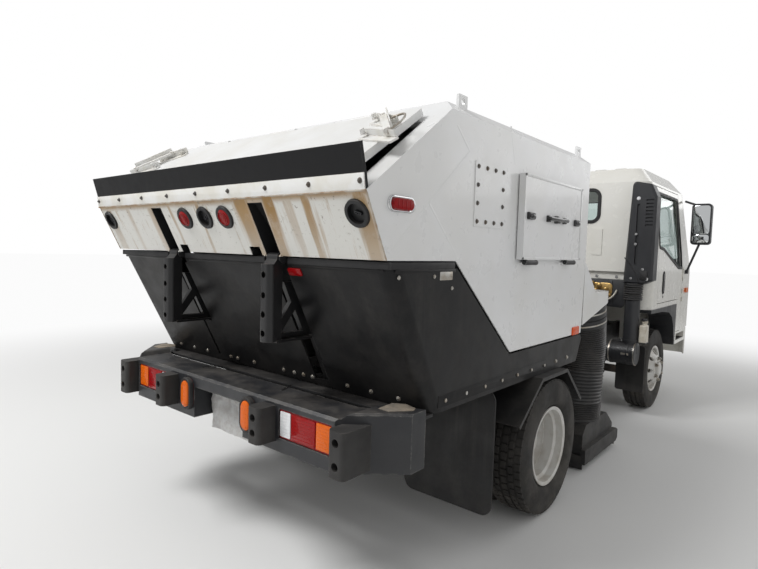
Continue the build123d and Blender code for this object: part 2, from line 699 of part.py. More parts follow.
# Roof ribs: the x of each rib's middle on one side
ROOF_RIB_XS = (105, 285, 465, 645)
ROOF_RIB_HALF = 46
ROOF_RIB_H = 12
rib_side = [
    (CAB_LEVELS[3][1] + 60, CAB_LEVELS[3][0] - 2),
    (CAB_LEVELS[3][1] + 110, CAB_LEVELS[3][0] + ROOF_RIB_H),
    (CAB_LEVELS[3][2] - 30, CAB_LEVELS[3][0] + ROOF_RIB_H),
    (CAB_LEVELS[3][2] - 4, CAB_LEVELS[3][0] - 2),
]
HANDLE_Y = DOOR_BACK_Y - 200
HANDLE_Z = 1215
HANDLE_POCKET = (210, 86, 14)
STEP_Y = (LOWER_FRONT_Y + 75, ARCH_FRONT_Y - 70)
STEP_Z = (CAB_LOW_Z + 34, 672)
STEP_X = 868
with BuildPart() as cab_trim:
    for side in (-1, 1):
        for rib_x in ROOF_RIB_XS:
            extrude(yz_outline(rib_side, side * rib_x - ROOF_RIB_HALF), amount=2 * ROOF_RIB_HALF)
        block((side * 468, side * 556), (CAB_BACK_Y - 20, CAB_BACK_Y + 4), (1456, 1693))
        block(
            (side * (STEP_X - 8), side * (CAB_X - 1)),
            (STEP_Y[0] - 8, STEP_Y[1] + 8),
            (STEP_Z[0] - 12, STEP_Z[1] + 8),
        )
with BuildPart() as cab_cuts:
    extrude(pane_outline(windscreen_outline, SCREEN_Y, 0), amount=600)
    extrude(pane_outline(rear_window_outline, REAR_PANE_Y, 0), amount=300)
    for side in (-1, 1):
        block((side * STEP_X, side * (CAB_X + 1)), STEP_Y, STEP_Z)
with BuildPart() as cab_shell:
    add(cab_outer)
    add(cab_inner, mode=Mode.SUBTRACT)
    for side in (-1, 1):
        extrude(
            grown(door_outline, DOOR_GAP, side * DOOR_WALL_X),
            amount=side * CAB_X,
            mode=Mode.SUBTRACT,
        )
    add(cab_trim.part)
    add(cab_cuts.part, mode=Mode.SUBTRACT)
    hump_x = (-TUNNEL_X - CAB_WALL, TUNNEL_X + CAB_WALL)
    hump_front_y = TUNNEL_FRONT_Y - CAB_WALL
    hump_top_z = TUNNEL_TOP_Z + CAB_WALL
    block(hump_x, (hump_front_y, CAB_BACK_Y - 1), (ARCH_Z, hump_top_z))
    block(hump_x, (hump_front_y, ARCH_FRONT_Y), (FRAME_TUNNEL_TOP_Z, hump_top_z))
    block(
        (-FRAME_TUNNEL_X - CAB_WALL, FRAME_TUNNEL_X + CAB_WALL),
        (LOWER_FRONT_Y, ARCH_FRONT_Y),
        (CAB_LOW_Z, FRAME_TUNNEL_TOP_Z + CAB_WALL),
    )
    block(
        (-FRAME_TUNNEL_X, FRAME_TUNNEL_X),
        (LOWER_FRONT_Y - 5, ARCH_FRONT_Y + 5),
        (CAB_LOW_Z - 5, FRAME_TUNNEL_TOP_Z),
        mode=Mode.SUBTRACT,
    )
    block(
        (-TUNNEL_X, TUNNEL_X),
        (TUNNEL_FRONT_Y, CAB_BACK_Y + 50),
        (ARCH_Z - 500, TUNNEL_TOP_Z),
        mode=Mode.SUBTRACT,
    )
    block(
        (-CAB_X + 140, CAB_X - 140),
        (CAB_BACK_Y - CAB_WALL + 6, CAB_BACK_Y + 50),
        (ARCH_Z - 100, BACK_PANEL_LOW_Z),
        mode=Mode.SUBTRACT,
    )
    for side in (-1, 1):
        arm_x = (side * CAB_HINGE_X[0], side * CAB_HINGE_X[1])
        block(arm_x, (CAB_HINGE_Y, LOWER_FRONT_Y + 5), (CAB_HINGE_Z - HINGE_ARM, CAB_HINGE_Z + HINGE_ARM))
        with Locations(Location((sum(arm_x) / 2, CAB_HINGE_Y, CAB_HINGE_Z), (0, 90, 0))):
            Cylinder(HINGE_ARM, CAB_HINGE_X[1] - CAB_HINGE_X[0])
        with Locations(Location((sum(arm_x) / 2, CAB_HINGE_Y, CAB_HINGE_Z), (0, 90, 0))):
            Cylinder(PIN_R + SEAT_GAP, 2 * HINGE_ARM, mode=Mode.SUBTRACT)
        for hinge_z in DOOR_HINGE_ZS:
            for end in (-1, 1):
                leaf_z = hinge_z + end * (DOOR_BARREL + SEAT_GAP)
                door_hinge(side, leaf_z, -1)
cab_shell.part.label = "cab_shell"
export_step(cab_shell.part, "parts/cab_shell.step")

GLASS_DEEP = 16
GLASS_THICK = 6
glass_outer = cab_form(GLASS_DEEP)
glass_inner = cab_form(GLASS_DEEP + GLASS_THICK)
with BuildPart() as pane_limits:
    extrude(pane_outline(windscreen_outline, SCREEN_Y, SEAT_GAP), amount=600)
    extrude(pane_outline(rear_window_outline, REAR_PANE_Y, SEAT_GAP), amount=300)
with BuildPart() as cab_glass:
    add(glass_outer)
    add(glass_inner, mode=Mode.SUBTRACT)
    add(pane_limits.part, mode=Mode.INTERSECT)
cab_glass.part.label = "cab_glass"
export_step(cab_glass.part, "parts/cab_glass.step")

for side_name, side in (("left", 1), ("right", -1)):
    with BuildPart() as door:
        add(cab_outer)
        add(cab_inner, mode=Mode.SUBTRACT)
        extrude(
            yz_outline(door_outline, side * DOOR_WALL_X),
            amount=side * CAB_X,
            mode=Mode.INTERSECT,
        )
        extrude(
            grown(door_window, 0, side * DOOR_WALL_X, WINDOW_CORNER_R),
            amount=side * CAB_X,
            mode=Mode.SUBTRACT,
        )
        with BuildSketch(Plane.YZ.offset(side * (CAB_X - HANDLE_POCKET[2]))):
            with Locations((HANDLE_Y, HANDLE_Z)):
                SlotOverall(HANDLE_POCKET[0], HANDLE_POCKET[1], rotation=90)
        extrude(amount=side * 2 * HANDLE_POCKET[2], mode=Mode.SUBTRACT)
        block(
            (side * (CAB_X - HANDLE_POCKET[2] - 1), side * (CAB_X - 1)),
            (HANDLE_Y - 12, HANDLE_Y + 12),
            (HANDLE_Z - 78, HANDLE_Z + 78),
        )
        for hinge_z in DOOR_HINGE_ZS:
            door_hinge(side, hinge_z, 1)
    door.part.label = f"door_{side_name}"
    export_step(door.part, f"parts/door_{side_name}.step")
    with BuildPart() as door_glass:
        add(glass_outer)
        add(glass_inner, mode=Mode.SUBTRACT)
        extrude(
            grown(door_window, -SEAT_GAP, side * DOOR_WALL_X, WINDOW_CORNER_R),
            amount=side * CAB_X,
            mode=Mode.INTERSECT,
        )
    door_glass.part.label = f"door_glass_{side_name}"
    export_step(door_glass.part, f"parts/door_glass_{side_name}.step")

# Cab interior: the dashboard across the front, with the steering column on the left
CAB_FLOOR_Z = ARCH_Z + CAB_WALL
DASH_X = 890
dash_profile = [
    (CAB_FRONT_Y + CAB_WALL + SEAT_GAP, 1150),
    (CAB_FRONT_Y + CAB_WALL + SEAT_GAP, 1330),
    (CAB_FRONT_Y + 155, 1400),
    (CAB_FRONT_Y + 295, 1390),
    (CAB_FRONT_Y + 335, 1340),
    (CAB_FRONT_Y + 295, 1150),
]
with BuildPart() as dashboard:
    extrude(yz_outline(dash_profile, 0), amount=DASH_X, both=True)
dashboard.part.label = "dashboard"
export_step(dashboard.part, "parts/dashboard.step")

WHEEL_CENTRE = (500, CAB_FRONT_Y + 525, 1600)
WHEEL_TILT = -38
WHEEL_R = 205
with BuildPart() as steering_wheel:
    with Locations(Location(WHEEL_CENTRE, (WHEEL_TILT, 0, 0))):
        Torus(WHEEL_R, 15)
        Cylinder(45, 40)
        Box(2 * WHEEL_R, 36, 14)
        Cylinder(28, 330, align=(Align.CENTER, Align.CENTER, Align.MAX))
    add(dashboard.part, mode=Mode.SUBTRACT)
steering_wheel.part.label = "steering_wheel"
export_step(steering_wheel.part, "parts/steering_wheel.step")

# Seats: driver on the left, a double passenger seat on the right, on boxes
# Columns: distance ahead of the cab's back, height
SEAT_SIDE = (
    (910, CAB_FLOOR_Z + SEAT_GAP),
    (910, 1380),
    (930, 1400),
    (915, 1430),
    (430, 1410),
    (350, 1860),
    (310, 1870),
    (250, 1850),
    (270, 1400),
    (310, CAB_FLOOR_Z + SEAT_GAP),
)
seat_profile = [(CAB_BACK_Y - ahead, z) for ahead, z in SEAT_SIDE]
SEAT_SPANS = ((TUNNEL_X + 60, 880), (-880, -TUNNEL_X - 60))
with BuildPart() as seats:
    for low_x, high_x in SEAT_SPANS:
        extrude(yz_outline(seat_profile, low_x), amount=high_x - low_x)
seats.part.label = "seats"
export_step(seats.part, "parts/seats.step")

# Front bumper with the grille and lamps above it
FRONT_BUMPER_Z = (400, 690)
FRONT_BUMPER_X = 985
FRONT_BUMPER_DEEP = 100
BUMPER_SHEET = 12
BUMPER_CORNER_R = 70
AIR_SLOT_X = 330
AIR_SLOT_Z = (445, 520)
FOG_X = (600, 740)
with BuildPart() as front_bumper:
    for inset, mode in ((0, Mode.ADD), (BUMPER_SHEET, Mode.SUBTRACT)):
        extrude(
            rounded_rectangle(
                FRONT_Y + inset,
                FRONT_Y + 2 * FRONT_BUMPER_DEEP,
                FRONT_BUMPER_X - inset,
                BUMPER_CORNER_R - inset,
                FRONT_BUMPER_Z[0],
            ),
            amount=FRONT_BUMPER_Z[1] - FRONT_BUMPER_Z[0],
            mode=mode,
        )
    block(
        (-FRONT_BUMPER_X - 1, FRONT_BUMPER_X + 1),
        (FRONT_Y + FRONT_BUMPER_DEEP, FRONT_Y + 2 * FRONT_BUMPER_DEEP + 1),
        (FRONT_BUMPER_Z[0] - 1, FRONT_BUMPER_Z[1] + 1),
        mode=Mode.SUBTRACT,
    )
    for side in (-1, 1):
        block(
            (side * (RAIL_IN_X - 25), side * (RAIL_OUT_X - 4 - SEAT_GAP)),
            (FRONT_Y + BUMPER_SHEET - 1, RAIL_FRONT_Y - SEAT_GAP),
            (CAB_HINGE_Z - 50, CAB_HINGE_Z + 70),
        )
        block(
            (side * FOG_X[0], side * FOG_X[1]),
            (FRONT_Y - 1, FRONT_Y + BUMPER_SHEET + 1),
            AIR_SLOT_Z,
            mode=Mode.SUBTRACT,
        )
    block(
        (-AIR_SLOT_X, AIR_SLOT_X),
        (FRONT_Y - 1, FRONT_Y + BUMPER_SHEET + 1),
        AIR_SLOT_Z,
        mode=Mode.SUBTRACT,
    )
front_bumper.part.label = "front_bumper"
export_step(front_bumper.part, "parts/front_bumper.step")

GRILLE_Z = (790, 1120)
GRILLE_X = 560
GRILLE_BARS = 4
with BuildPart() as grille:
    block((-GRILLE_X, GRILLE_X), (CAB_FRONT_Y - 18, CAB_FRONT_Y - SEAT_GAP), GRILLE_Z)
    pitch = (GRILLE_Z[1] - GRILLE_Z[0]) / GRILLE_BARS
    for row in range(GRILLE_BARS):
        block(
            (-GRILLE_X + 22, GRILLE_X - 22),
            (CAB_FRONT_Y - 19, CAB_FRONT_Y - 8),
            (GRILLE_Z[0] + row * pitch + 12, GRILLE_Z[0] + (row + 1) * pitch - 12),
            mode=Mode.SUBTRACT,
        )
grille.part.label = "grille"
export_step(grille.part, "parts/grille.step")

with BuildPart() as headlamps:
    with BuildSketch(Plane.XZ.offset(-CAB_FRONT_Y + SEAT_GAP)):
        for side in (-1, 1):
            with Locations((side * 745, 895)):
                RectangleRounded(290, 190, 48)
    extrude(amount=20)
    chamfer(headlamps.faces().sort_by(Axis.Y)[:2].edges(), 6)
headlamps.part.label = "headlamps"
export_step(headlamps.part, "parts/headlamps.step")

# Cab lamps: the row of markers on the roof's front edge and a side lamp on each flank
MARKER_XS = (-690, -150, 0, 150, 690)
MARKER = (96, 44, 30)
SIDE_LAMP_Y = CAB_FRONT_Y + 235
SIDE_LAMP_Z = 1110
with BuildPart() as cab_lamps:
    marker_z = CAB_LEVELS[3][0] + SEAT_GAP
    for marker_x in MARKER_XS:
        with Locations((marker_x, CAB_LEVELS[3][1] + 32, marker_z + MARKER[2] / 2)):
            Box(*MARKER)
    chamfer(cab_lamps.edges().filter_by(GeomType.LINE).group_by(Axis.Z)[-1], 8)
    for side in (-1, 1):
        with BuildSketch(Plane.YZ.offset(side * (CAB_X + SEAT_GAP))):
            with Locations((SIDE_LAMP_Y, SIDE_LAMP_Z)):
                SlotOverall(120, 52)
        extrude(amount=side * 14)
cab_lamps.part.label = "cab_lamps"
export_step(cab_lamps.part, "parts/cab_lamps.step")

# Arch flares: the thick plastic lip round the front wheel's opening
FLARE_X = (785, CAB_X + 6)
# Columns: y measured from the front axle, height
FLARE_INSIDE = (
    (-383, 575),
    (-379, 650),
    (-348, 762),
    (-262, 865),
    (-130, 920),
    (129, 945),
    (549, 955),
)
flare_outline = [(FRONT_AXLE_Y + ahead, z) for ahead, z in FLARE_INSIDE] + [
    (CAB_BACK_Y - 10, ARCH_Z - SEAT_GAP),
    (ARCH_FRONT_Y + SEAT_GAP, ARCH_Z - SEAT_GAP),
    (ARCH_FRONT_Y + SEAT_GAP, FLARE_INSIDE[0][1]),
]
with BuildPart() as arch_flares:
    extrude(yz_outline(flare_outline, FLARE_X[0]), amount=FLARE_X[1] - FLARE_X[0])
    mirror(about=Plane.YZ)
arch_flares.part.label = "arch_flares"
export_step(arch_flares.part, "parts/arch_flares.step")

# Mirrors: a tall head on two arms from the windscreen pillar and the cab's front corner
MIRROR_X = (1035, 1215)
MIRROR_Y = (CAB_FRONT_Y + 295, CAB_FRONT_Y + 370)
MIRROR_Z = (1590, 2010)
ARM_R = 11
with BuildPart() as mirrors:
    block((MIRROR_X[0], MIRROR_X[1]), (MIRROR_Y[0], MIRROR_Y[1]), (MIRROR_Z[0], MIRROR_Z[1]))
    fillet(mirrors.edges().filter_by(Axis.Y), 35)
    block((CAB_X + SEAT_GAP, CAB_X + 28), (MIRROR_Y[0], MIRROR_Y[0] + 40), (1285, 1325))
    for arm in (
        ((CAB_X + 14, MIRROR_Y[0] + 20, 1310), (1120, MIRROR_Y[0] + 30, 1620)),
        ((CAB_X - 46, MIRROR_Y[0] - 20, 2045), (1120, MIRROR_Y[0] + 30, 1980)),
    ):
        with BuildLine() as arm_line:
            Polyline(*arm)
        with BuildSketch(Plane(origin=arm_line.line @ 0, z_dir=arm_line.line % 0)):
            Circle(ARM_R)
        sweep(path=arm_line.line)
    mirror(about=Plane.YZ)
mirrors.part.label = "mirrors"
export_step(mirrors.part, "parts/mirrors.step")

# Air intake: the tall duct on the cab's back, the pipe below it and the cleaner
SNORKEL_FRONT_Y = CAB_BACK_Y + SEAT_GAP
SNORKEL_BACK_Y = CAB_BACK_Y + 140
snorkel_outline = [
    (-1030, 1250),
    (-1030, 1960),
    (-985, 2065),
    (-834, 2098),
    (-795, 1215),
    (-960, 1215),
]
LOUVRES = 8
LOUVRE_PITCH = 30
LOUVRE_LOW_Z = 1712
PIPE_X = -872
PIPE_Y = CAB_BACK_Y + 85
BELLOWS_R = 72
BELLOWS_Z = (1070, 1220)
BELLOWS_RIBS = 5
with BuildPart() as intake_snorkel:
    extrude(
        xz_outline(snorkel_outline, SNORKEL_BACK_Y),
        amount=SNORKEL_BACK_Y - SNORKEL_FRONT_Y,
    )
    fillet(intake_snorkel.edges().filter_by(Axis.Y).group_by(Axis.Z)[-1], 34)
    chamfer(intake_snorkel.faces().sort_by(Axis.Y)[-1].edges(), 16)
    with BuildSketch(Plane.XZ.offset(-SNORKEL_BACK_Y)):
        with Locations((-892, 1640)):
            SlotOverall(520, 26, rotation=90)
    extrude(amount=14, mode=Mode.SUBTRACT)
    for row in range(LOUVRES):
        low_z = LOUVRE_LOW_Z + row * LOUVRE_PITCH
        block(
            (-1008, -950),
            (SNORKEL_BACK_Y - 12, SNORKEL_BACK_Y + 1),
            (low_z, low_z + 14),
            mode=Mode.SUBTRACT,
        )
    with Locations((PIPE_X, PIPE_Y, sum(BELLOWS_Z) / 2)):
        Cylinder(BELLOWS_R - 10, BELLOWS_Z[1] - BELLOWS_Z[0])
    rib_pitch = (1210 - BELLOWS_Z[0]) / BELLOWS_RIBS
    for rib in range(BELLOWS_RIBS):
        with Locations((PIPE_X, PIPE_Y, BELLOWS_Z[0] + (rib + 0.5) * rib_pitch)):
            Cylinder(BELLOWS_R, 16)
intake_snorkel.part.label = "intake_snorkel"
export_step(intake_snorkel.part, "parts/intake_snorkel.step")

CLEANER_Z = 605
CLEANER_R = 98
CLEANER_X = (-930, -700)
BOTTLE_X = (-1000, -942)
BOTTLE_Y = (CAB_BACK_Y + 8, CAB_BACK_Y + 112)
BOTTLE_Z = (712, 862)
with BuildPart() as air_cleaner:
    with Locations(Location((sum(CLEANER_X) / 2, PIPE_Y, CLEANER_Z), (0, 90, 0))):
        Cylinder(CLEANER_R, CLEANER_X[1] - CLEANER_X[0])
    for band_x in (CLEANER_X[0] + 14, CLEANER_X[0] + 62, CLEANER_X[1] - 30):
        with Locations(Location((band_x, PIPE_Y, CLEANER_Z), (0, 90, 0))):
            Cylinder(CLEANER_R + 6, 12)
    with Locations((PIPE_X, PIPE_Y, (CLEANER_Z + BELLOWS_Z[0] - SEAT_GAP) / 2)):
        Cylinder(62, BELLOWS_Z[0] - SEAT_GAP - CLEANER_Z)
    with Locations((PIPE_X, PIPE_Y, CLEANER_Z + CLEANER_R + 16)):
        Cylinder(68, 18)
    bracket_z = (CLEANER_Z - 20, CLEANER_Z + 20)
    block((CLEANER_X[1] - 20, -RAIL_OUT_X - SEAT_GAP), (PIPE_Y - 40, PIPE_Y + 40), bracket_z)
    block(
        (BOTTLE_X[0], PIPE_X - 40),
        BOTTLE_Y,
        (BOTTLE_Z[0] - SEAT_GAP - 8, BOTTLE_Z[0] - SEAT_GAP),
    )
air_cleaner.part.label = "air_cleaner"
export_step(air_cleaner.part, "parts/air_cleaner.step")

# Washer bottle: a moulded tank with a capped neck, on the cleaner's shelf
with BuildPart() as washer_bottle:
    block(BOTTLE_X, BOTTLE_Y, BOTTLE_Z)
    fillet(washer_bottle.edges().filter_by(Axis.Z), 18)
    fillet(washer_bottle.faces().sort_by(Axis.Z)[-1].edges(), 14)
    with Locations((sum(BOTTLE_X) / 2, BOTTLE_Y[0] + 34, BOTTLE_Z[1] + 14)):
        Cylinder(20, 44)
        Cylinder(25, 18, align=(Align.CENTER, Align.CENTER, Align.MIN))
washer_bottle.part.label = "washer_bottle"
export_step(washer_bottle.part, "parts/washer_bottle.step")

# Hopper: a welded box with a sloped back above the rear wall
peak_y = PEAK_SIDE[0] - (ROOF_Z - PEAK_SIDE[1]) * (
    (SHOULDER[0] - PEAK_SIDE[0]) / (PEAK_SIDE[1] - SHOULDER[1])
)
hopper_profile = [
    (SEAM_REAR_Y, SEAM_Z),
    SHOULDER,
    (peak_y, ROOF_Z),
    (HOPPER_FRONT_Y, ROOF_Z),
    (HOPPER_FRONT_Y, SEAM_Z),
    (HOPPER_FRONT_Y + 25, HOPPER_BOTTOM_Z),
    DIAGONAL_LOW,
    DIAGONAL_TOP,
]
slope_angle = degrees(atan2(PEAK_SIDE[1] - SHOULDER[1], SHOULDER[0] - PEAK_SIDE[0]))
slope_plane = Plane(
    origin=(0, SHOULDER[0], SHOULDER[1]),
    x_dir=(-1, 0, 0),
    z_dir=(0, sin(radians(slope_angle)), cos(radians(slope_angle))),
)
slope_length = hypot(PEAK_SIDE[0] - SHOULDER[0], PEAK_SIDE[1] - SHOULDER[1])
wall_length = hypot(SHOULDER[0] - SEAM_REAR_Y, SHOULDER[1] - SEAM_Z)
wall_plane = Plane(
    origin=(0, SEAM_REAR_Y, SEAM_Z),
    x_dir=(-1, 0, 0),
    z_dir=(0, (SHOULDER[1] - SEAM_Z) / wall_length, (SEAM_REAR_Y - SHOULDER[0]) / wall_length),
)
# Lamp holes in the rear wall: the x of each hole, and if it still has its lens
WALL_LAMPS = ((-161, True), (-6, False), (160, True), (-940, False), (940, False))
LAMP_UP = 179
GROMMET_R = 43
NOTCH_X = (250, 322)
NOTCH_Z = (1395, 1446)
ACCESS_Y = (1740, 2010)
ACCESS_Z = (1560, 1838)
SIDE_MARKER = (2515, 1612)
BORDER = 90
DISCHARGE_HINGE = 604
HINGE_UP = 24
HINGE_XS = (-560, 0, 560)
KNUCKLE_R = 13
KNUCKLE_LONG = 150
LUG_LONG = 40
recess_outline = [
    (2528, SEAM_Z - 30),
    (2528, 1482),
    (2650, 1623),
    (2760, 1623),
    (2640, SEAM_Z - 30),
]
SIDE_DOOR_Y = (840, 1600)
SIDE_DOOR_Z = (1420, 1835)
SIDE_DOOR_THICK = 30
SIDE_DOOR_STAND = 6
SIDE_BARREL_R = 12
SIDE_BARREL = 90
SIDE_HINGE_YS = (960, 1480)
SIDE_HINGE_X = HOPPER_X + SIDE_DOOR_STAND + SIDE_DOOR_THICK - SIDE_BARREL_R
SIDE_HINGE_Z = SIDE_DOOR_Z[0] - SIDE_BARREL_R - MOVE_GAP / 2
EYE_X = 950
EYE_YS = (690, 2040)
EYE_Z = 2082
EYE_HOLE_R = 14
EYE_HALF = 35
EYE_PLATE = 12
DUCT_X = (-HOPPER_X, -605)
EAR_R = 22
LIFT_X = 250
LIFT_FOOT = (1900, 790)
ROD_EYE = (2275, 1302)
lift_ear = [
    (ROD_EYE[0] - 70, SEAM_Z + 5),
    (ROD_EYE[0] - 32, ROD_EYE[1] - 32),
    (ROD_EYE[0] + 32, ROD_EYE[1] - 32),
    (ROD_EYE[0] + 70, SEAM_Z + 5),
]


def roof_edge(side, inset):
    """The wedge cut from one long edge of the roof, drawn in by the inset."""
    outer_x = HOPPER_X - inset
    top_x = HOPPER_X - ROOF_EDGE_IN - inset
    return xz_outline(
        [
            (side * outer_x, PEAK_SIDE[1] - inset),
            (side * (outer_x + 1), ROOF_Z + 1),
            (side * top_x, ROOF_Z + 1),
            (side * top_x, ROOF_Z - inset),
        ],
        SHOULDER[0],
    )


with BuildPart() as hopper_cavity:
    extrude(grown(hopper_profile, -HOPPER_WALL, 0), amount=HOPPER_X - HOPPER_WALL, both=True)
    for side in (-1, 1):
        extrude(roof_edge(side, HOPPER_WALL), amount=SHOULDER[0], mode=Mode.SUBTRACT)
with BuildPart() as slot_liners:
    for side in (-1, 1):
        low_x, high_x = sorted((side * (SLOT_IN_X - 6), side * (SLOT_OUT_X + 6)))
        extrude(grown(recess_outline, 6, low_x), amount=high_x - low_x)
    extrude(yz_outline(hopper_profile, 0), amount=HOPPER_X, both=True, mode=Mode.INTERSECT)
with BuildPart() as hopper_shell:
    extrude(yz_outline(hopper_profile, 0), amount=HOPPER_X, both=True)
    for side in (-1, 1):
        extrude(roof_edge(side, 0), amount=SHOULDER[0], mode=Mode.SUBTRACT)
    add(hopper_cavity.part, mode=Mode.SUBTRACT)
    with BuildSketch(slope_plane):
        with Locations((0, slope_length / 2)):
            Rectangle(2 * (HOPPER_X - BORDER), slope_length - 2 * BORDER)
    extrude(amount=2 * HOPPER_WALL, both=True, mode=Mode.SUBTRACT)
    add(slot_liners.part)
    for knuckle_x in HINGE_XS:
        for end in (-1, 1):
            lug_x = knuckle_x + end * ((KNUCKLE_LONG + LUG_LONG) / 2 + SEAT_GAP)
            lug_axis = Location((lug_x, DISCHARGE_HINGE, HINGE_UP), (0, 90, 0))
            lug_foot = Location((lug_x, DISCHARGE_HINGE, HINGE_UP / 2 - 2))
            with Locations(slope_plane.location * lug_axis):
                Cylinder(KNUCKLE_R, LUG_LONG)
            with Locations(slope_plane.location * lug_foot):
                Box(LUG_LONG, 2 * KNUCKLE_R - 4, HINGE_UP + 4)
    for side in (-1, 1):
        low_x, high_x = sorted((side * SLOT_IN_X, side * SLOT_OUT_X))
        extrude(yz_outline(recess_outline, low_x), amount=high_x - low_x, mode=Mode.SUBTRACT)
        for ear_x in (SLOT_IN_X - 3, SLOT_OUT_X + 3):
            with Locations(Location((side * ear_x, PIVOT_Y, PIVOT_Z), (0, 90, 0))):
                Cylinder(EAR_R, 6)
        middle_x = side * (SLOT_IN_X + SLOT_OUT_X) / 2
        with Locations(Location((middle_x, PIVOT_Y, PIVOT_Z), (0, 90, 0))):
            Cylinder(PIN_R, SLOT_OUT_X - SLOT_IN_X + 6)
        block(
            (side * (HOPPER_X - 2 * HOPPER_WALL), side * (HOPPER_X + 5)),
            (SIDE_DOOR_Y[0] + 40, SIDE_DOOR_Y[1] - 40),
            (SIDE_DOOR_Z[0] + 40, SIDE_DOOR_Z[1] - 40),
            mode=Mode.SUBTRACT,
        )
        block(
            (side * NOTCH_X[0], side * NOTCH_X[1]),
            (SEAM_REAR_Y - 60, SHOULDER[0]),
            NOTCH_Z,
            mode=Mode.SUBTRACT,
        )
        block((side * (HOPPER_X - 1), side * (HOPPER_X + 4)), ACCESS_Y, ACCESS_Z)
        for eye_x in (LIFT_X - 30, LIFT_X + 30):
            extrude(
                yz_outline(lift_ear, side * eye_x - 5),
                amount=10,
            )
            with Locations(Location((side * eye_x, ROD_EYE[0], ROD_EYE[1]), (0, 90, 0))):
                Cylinder(18, 14, mode=Mode.SUBTRACT)
        for hinge_y in SIDE_HINGE_YS:
            for end in (-1, 1):
                lug_y = hinge_y + end * (SIDE_BARREL / 2 + SEAT_GAP + 12)
                with Locations(Location((side * SIDE_HINGE_X, lug_y, SIDE_HINGE_Z), (90, 0, 0))):
                    Cylinder(SIDE_BARREL_R, 24)
                block(
                    (side * (HOPPER_X - 2), side * SIDE_HINGE_X),
                    (lug_y - 12, lug_y + 12),
                    (SIDE_HINGE_Z - SIDE_BARREL_R, SIDE_HINGE_Z),
                )
        for eye_y in EYE_YS:
            block(
                (side * (EYE_X - EYE_PLATE / 2), side * (EYE_X + EYE_PLATE / 2)),
                (eye_y - EYE_HALF, eye_y + EYE_HALF),
                (ROOF_Z - 26, EYE_Z + EYE_HOLE_R + 14),
            )
            with Locations(Location((side * EYE_X, eye_y, EYE_Z), (0, 90, 0))):
                Cylinder(EYE_HOLE_R, 4 * EYE_PLATE, mode=Mode.SUBTRACT)
    with BuildSketch(wall_plane):
        for lamp_x, _ in WALL_LAMPS:
            with Locations((-lamp_x, LAMP_UP)):
                Circle(GROMMET_R)
    extrude(amount=2 * HOPPER_WALL, both=True, mode=Mode.SUBTRACT)
    block(
        (DUCT_X[0] + 60, DUCT_X[1] - 60),
        (HOPPER_FRONT_Y - 20, HOPPER_FRONT_Y + 60),
        (1060, 1340),
        mode=Mode.SUBTRACT,
    )
hopper_shell.part.label = "hopper_shell"
export_step(hopper_shell.part, "parts/hopper_shell.step")

# Hopper lamps: rubber grommets in the rear wall, three of them empty, and the side markers
LAMP_STAND = 9
with BuildPart() as hopper_lamps:
    for lamp_x, has_lens in WALL_LAMPS:
        with BuildSketch(wall_plane.offset(-15)):
            with Locations((-lamp_x, LAMP_UP)):
                Circle(GROMMET_R - SEAT_GAP)
        extrude(amount=16)
        with BuildSketch(wall_plane.offset(SEAT_GAP)):
            with Locations((-lamp_x, LAMP_UP)):
                Circle(GROMMET_R + 11)
        extrude(amount=LAMP_STAND, taper=20)
        with BuildSketch(wall_plane.offset(LAMP_STAND + 1)):
            with Locations((-lamp_x, LAMP_UP)):
                Circle(GROMMET_R - 5)
        extrude(amount=-4 if has_lens else -20, mode=Mode.SUBTRACT)
    for side in (-1, 1):
        marker_x = side * (HOPPER_X + SEAT_GAP)
        for size, stand in (((150, 56), 9), ((120, 38), 16)):
            with BuildSketch(Plane.YZ.offset(marker_x)):
                with Locations(SIDE_MARKER):
                    SlotOverall(*size)
            extrude(amount=side * stand)
hopper_lamps.part.label = "hopper_lamps"
export_step(hopper_lamps.part, "parts/hopper_lamps.step")

# Discharge door: lies over the frame on the slope and hinges along the peak, a little open
DOOR_LIFT = 8
DISCHARGE_THICK = 30
DISCHARGE_X = 905
DISCHARGE_LOW = 62
DISCHARGE_HIGH = 582
AJAR = 2.2
hinge_plane = Plane(slope_plane.location * Location((0, DISCHARGE_HINGE, HINGE_UP)))
ajar_plane = Plane(
    origin=hinge_plane.origin,
    x_dir=(-1, 0, 0),
    z_dir=hinge_plane.z_dir.rotate(Axis.X, AJAR),
)
with BuildPart() as discharge_door:
    with BuildSketch(ajar_plane.offset(DOOR_LIFT - HINGE_UP)):
        with Locations((0, (DISCHARGE_LOW + DISCHARGE_HIGH) / 2 - DISCHARGE_HINGE)):
            RectangleRounded(2 * DISCHARGE_X, DISCHARGE_HIGH - DISCHARGE_LOW, 20)
    extrude(amount=DISCHARGE_THICK)
    for knuckle_x in HINGE_XS:
        with Locations(ajar_plane.location * Location((knuckle_x, 0, 0), (0, 90, 0))):
            Cylinder(KNUCKLE_R, KNUCKLE_LONG)
        with Locations(ajar_plane.location * Location((knuckle_x, -KNUCKLE_R, 0))):
            Box(KNUCKLE_LONG, 2 * KNUCKLE_R, 10)
discharge_door.part.label = "discharge_door"
export_step(discharge_door.part, "parts/discharge_door.step")

# Spill guard: a bolted strip and a rubber lip that stand up along the shoulder
GUARD_FACE_Y = SHOULDER[0] + SEAT_GAP
guard_profile = [
    (GUARD_FACE_Y - 12, SHOULDER[1] + 9),
    (GUARD_FACE_Y + 2, SHOULDER[1] + SEAT_GAP),
    (GUARD_FACE_Y + 10, SHOULDER[1] + 55),
    (REAR_Y, 1796),
    (REAR_Y - 14, 1800),
    (GUARD_FACE_Y - 2, SHOULDER[1] + 55),
]
with BuildPart() as spill_guard:
    extrude(yz_outline(guard_profile, 0), amount=HOPPER_X, both=True)
spill_guard.part.label = "spill_guard"
export_step(spill_guard.part, "parts/spill_guard.step")

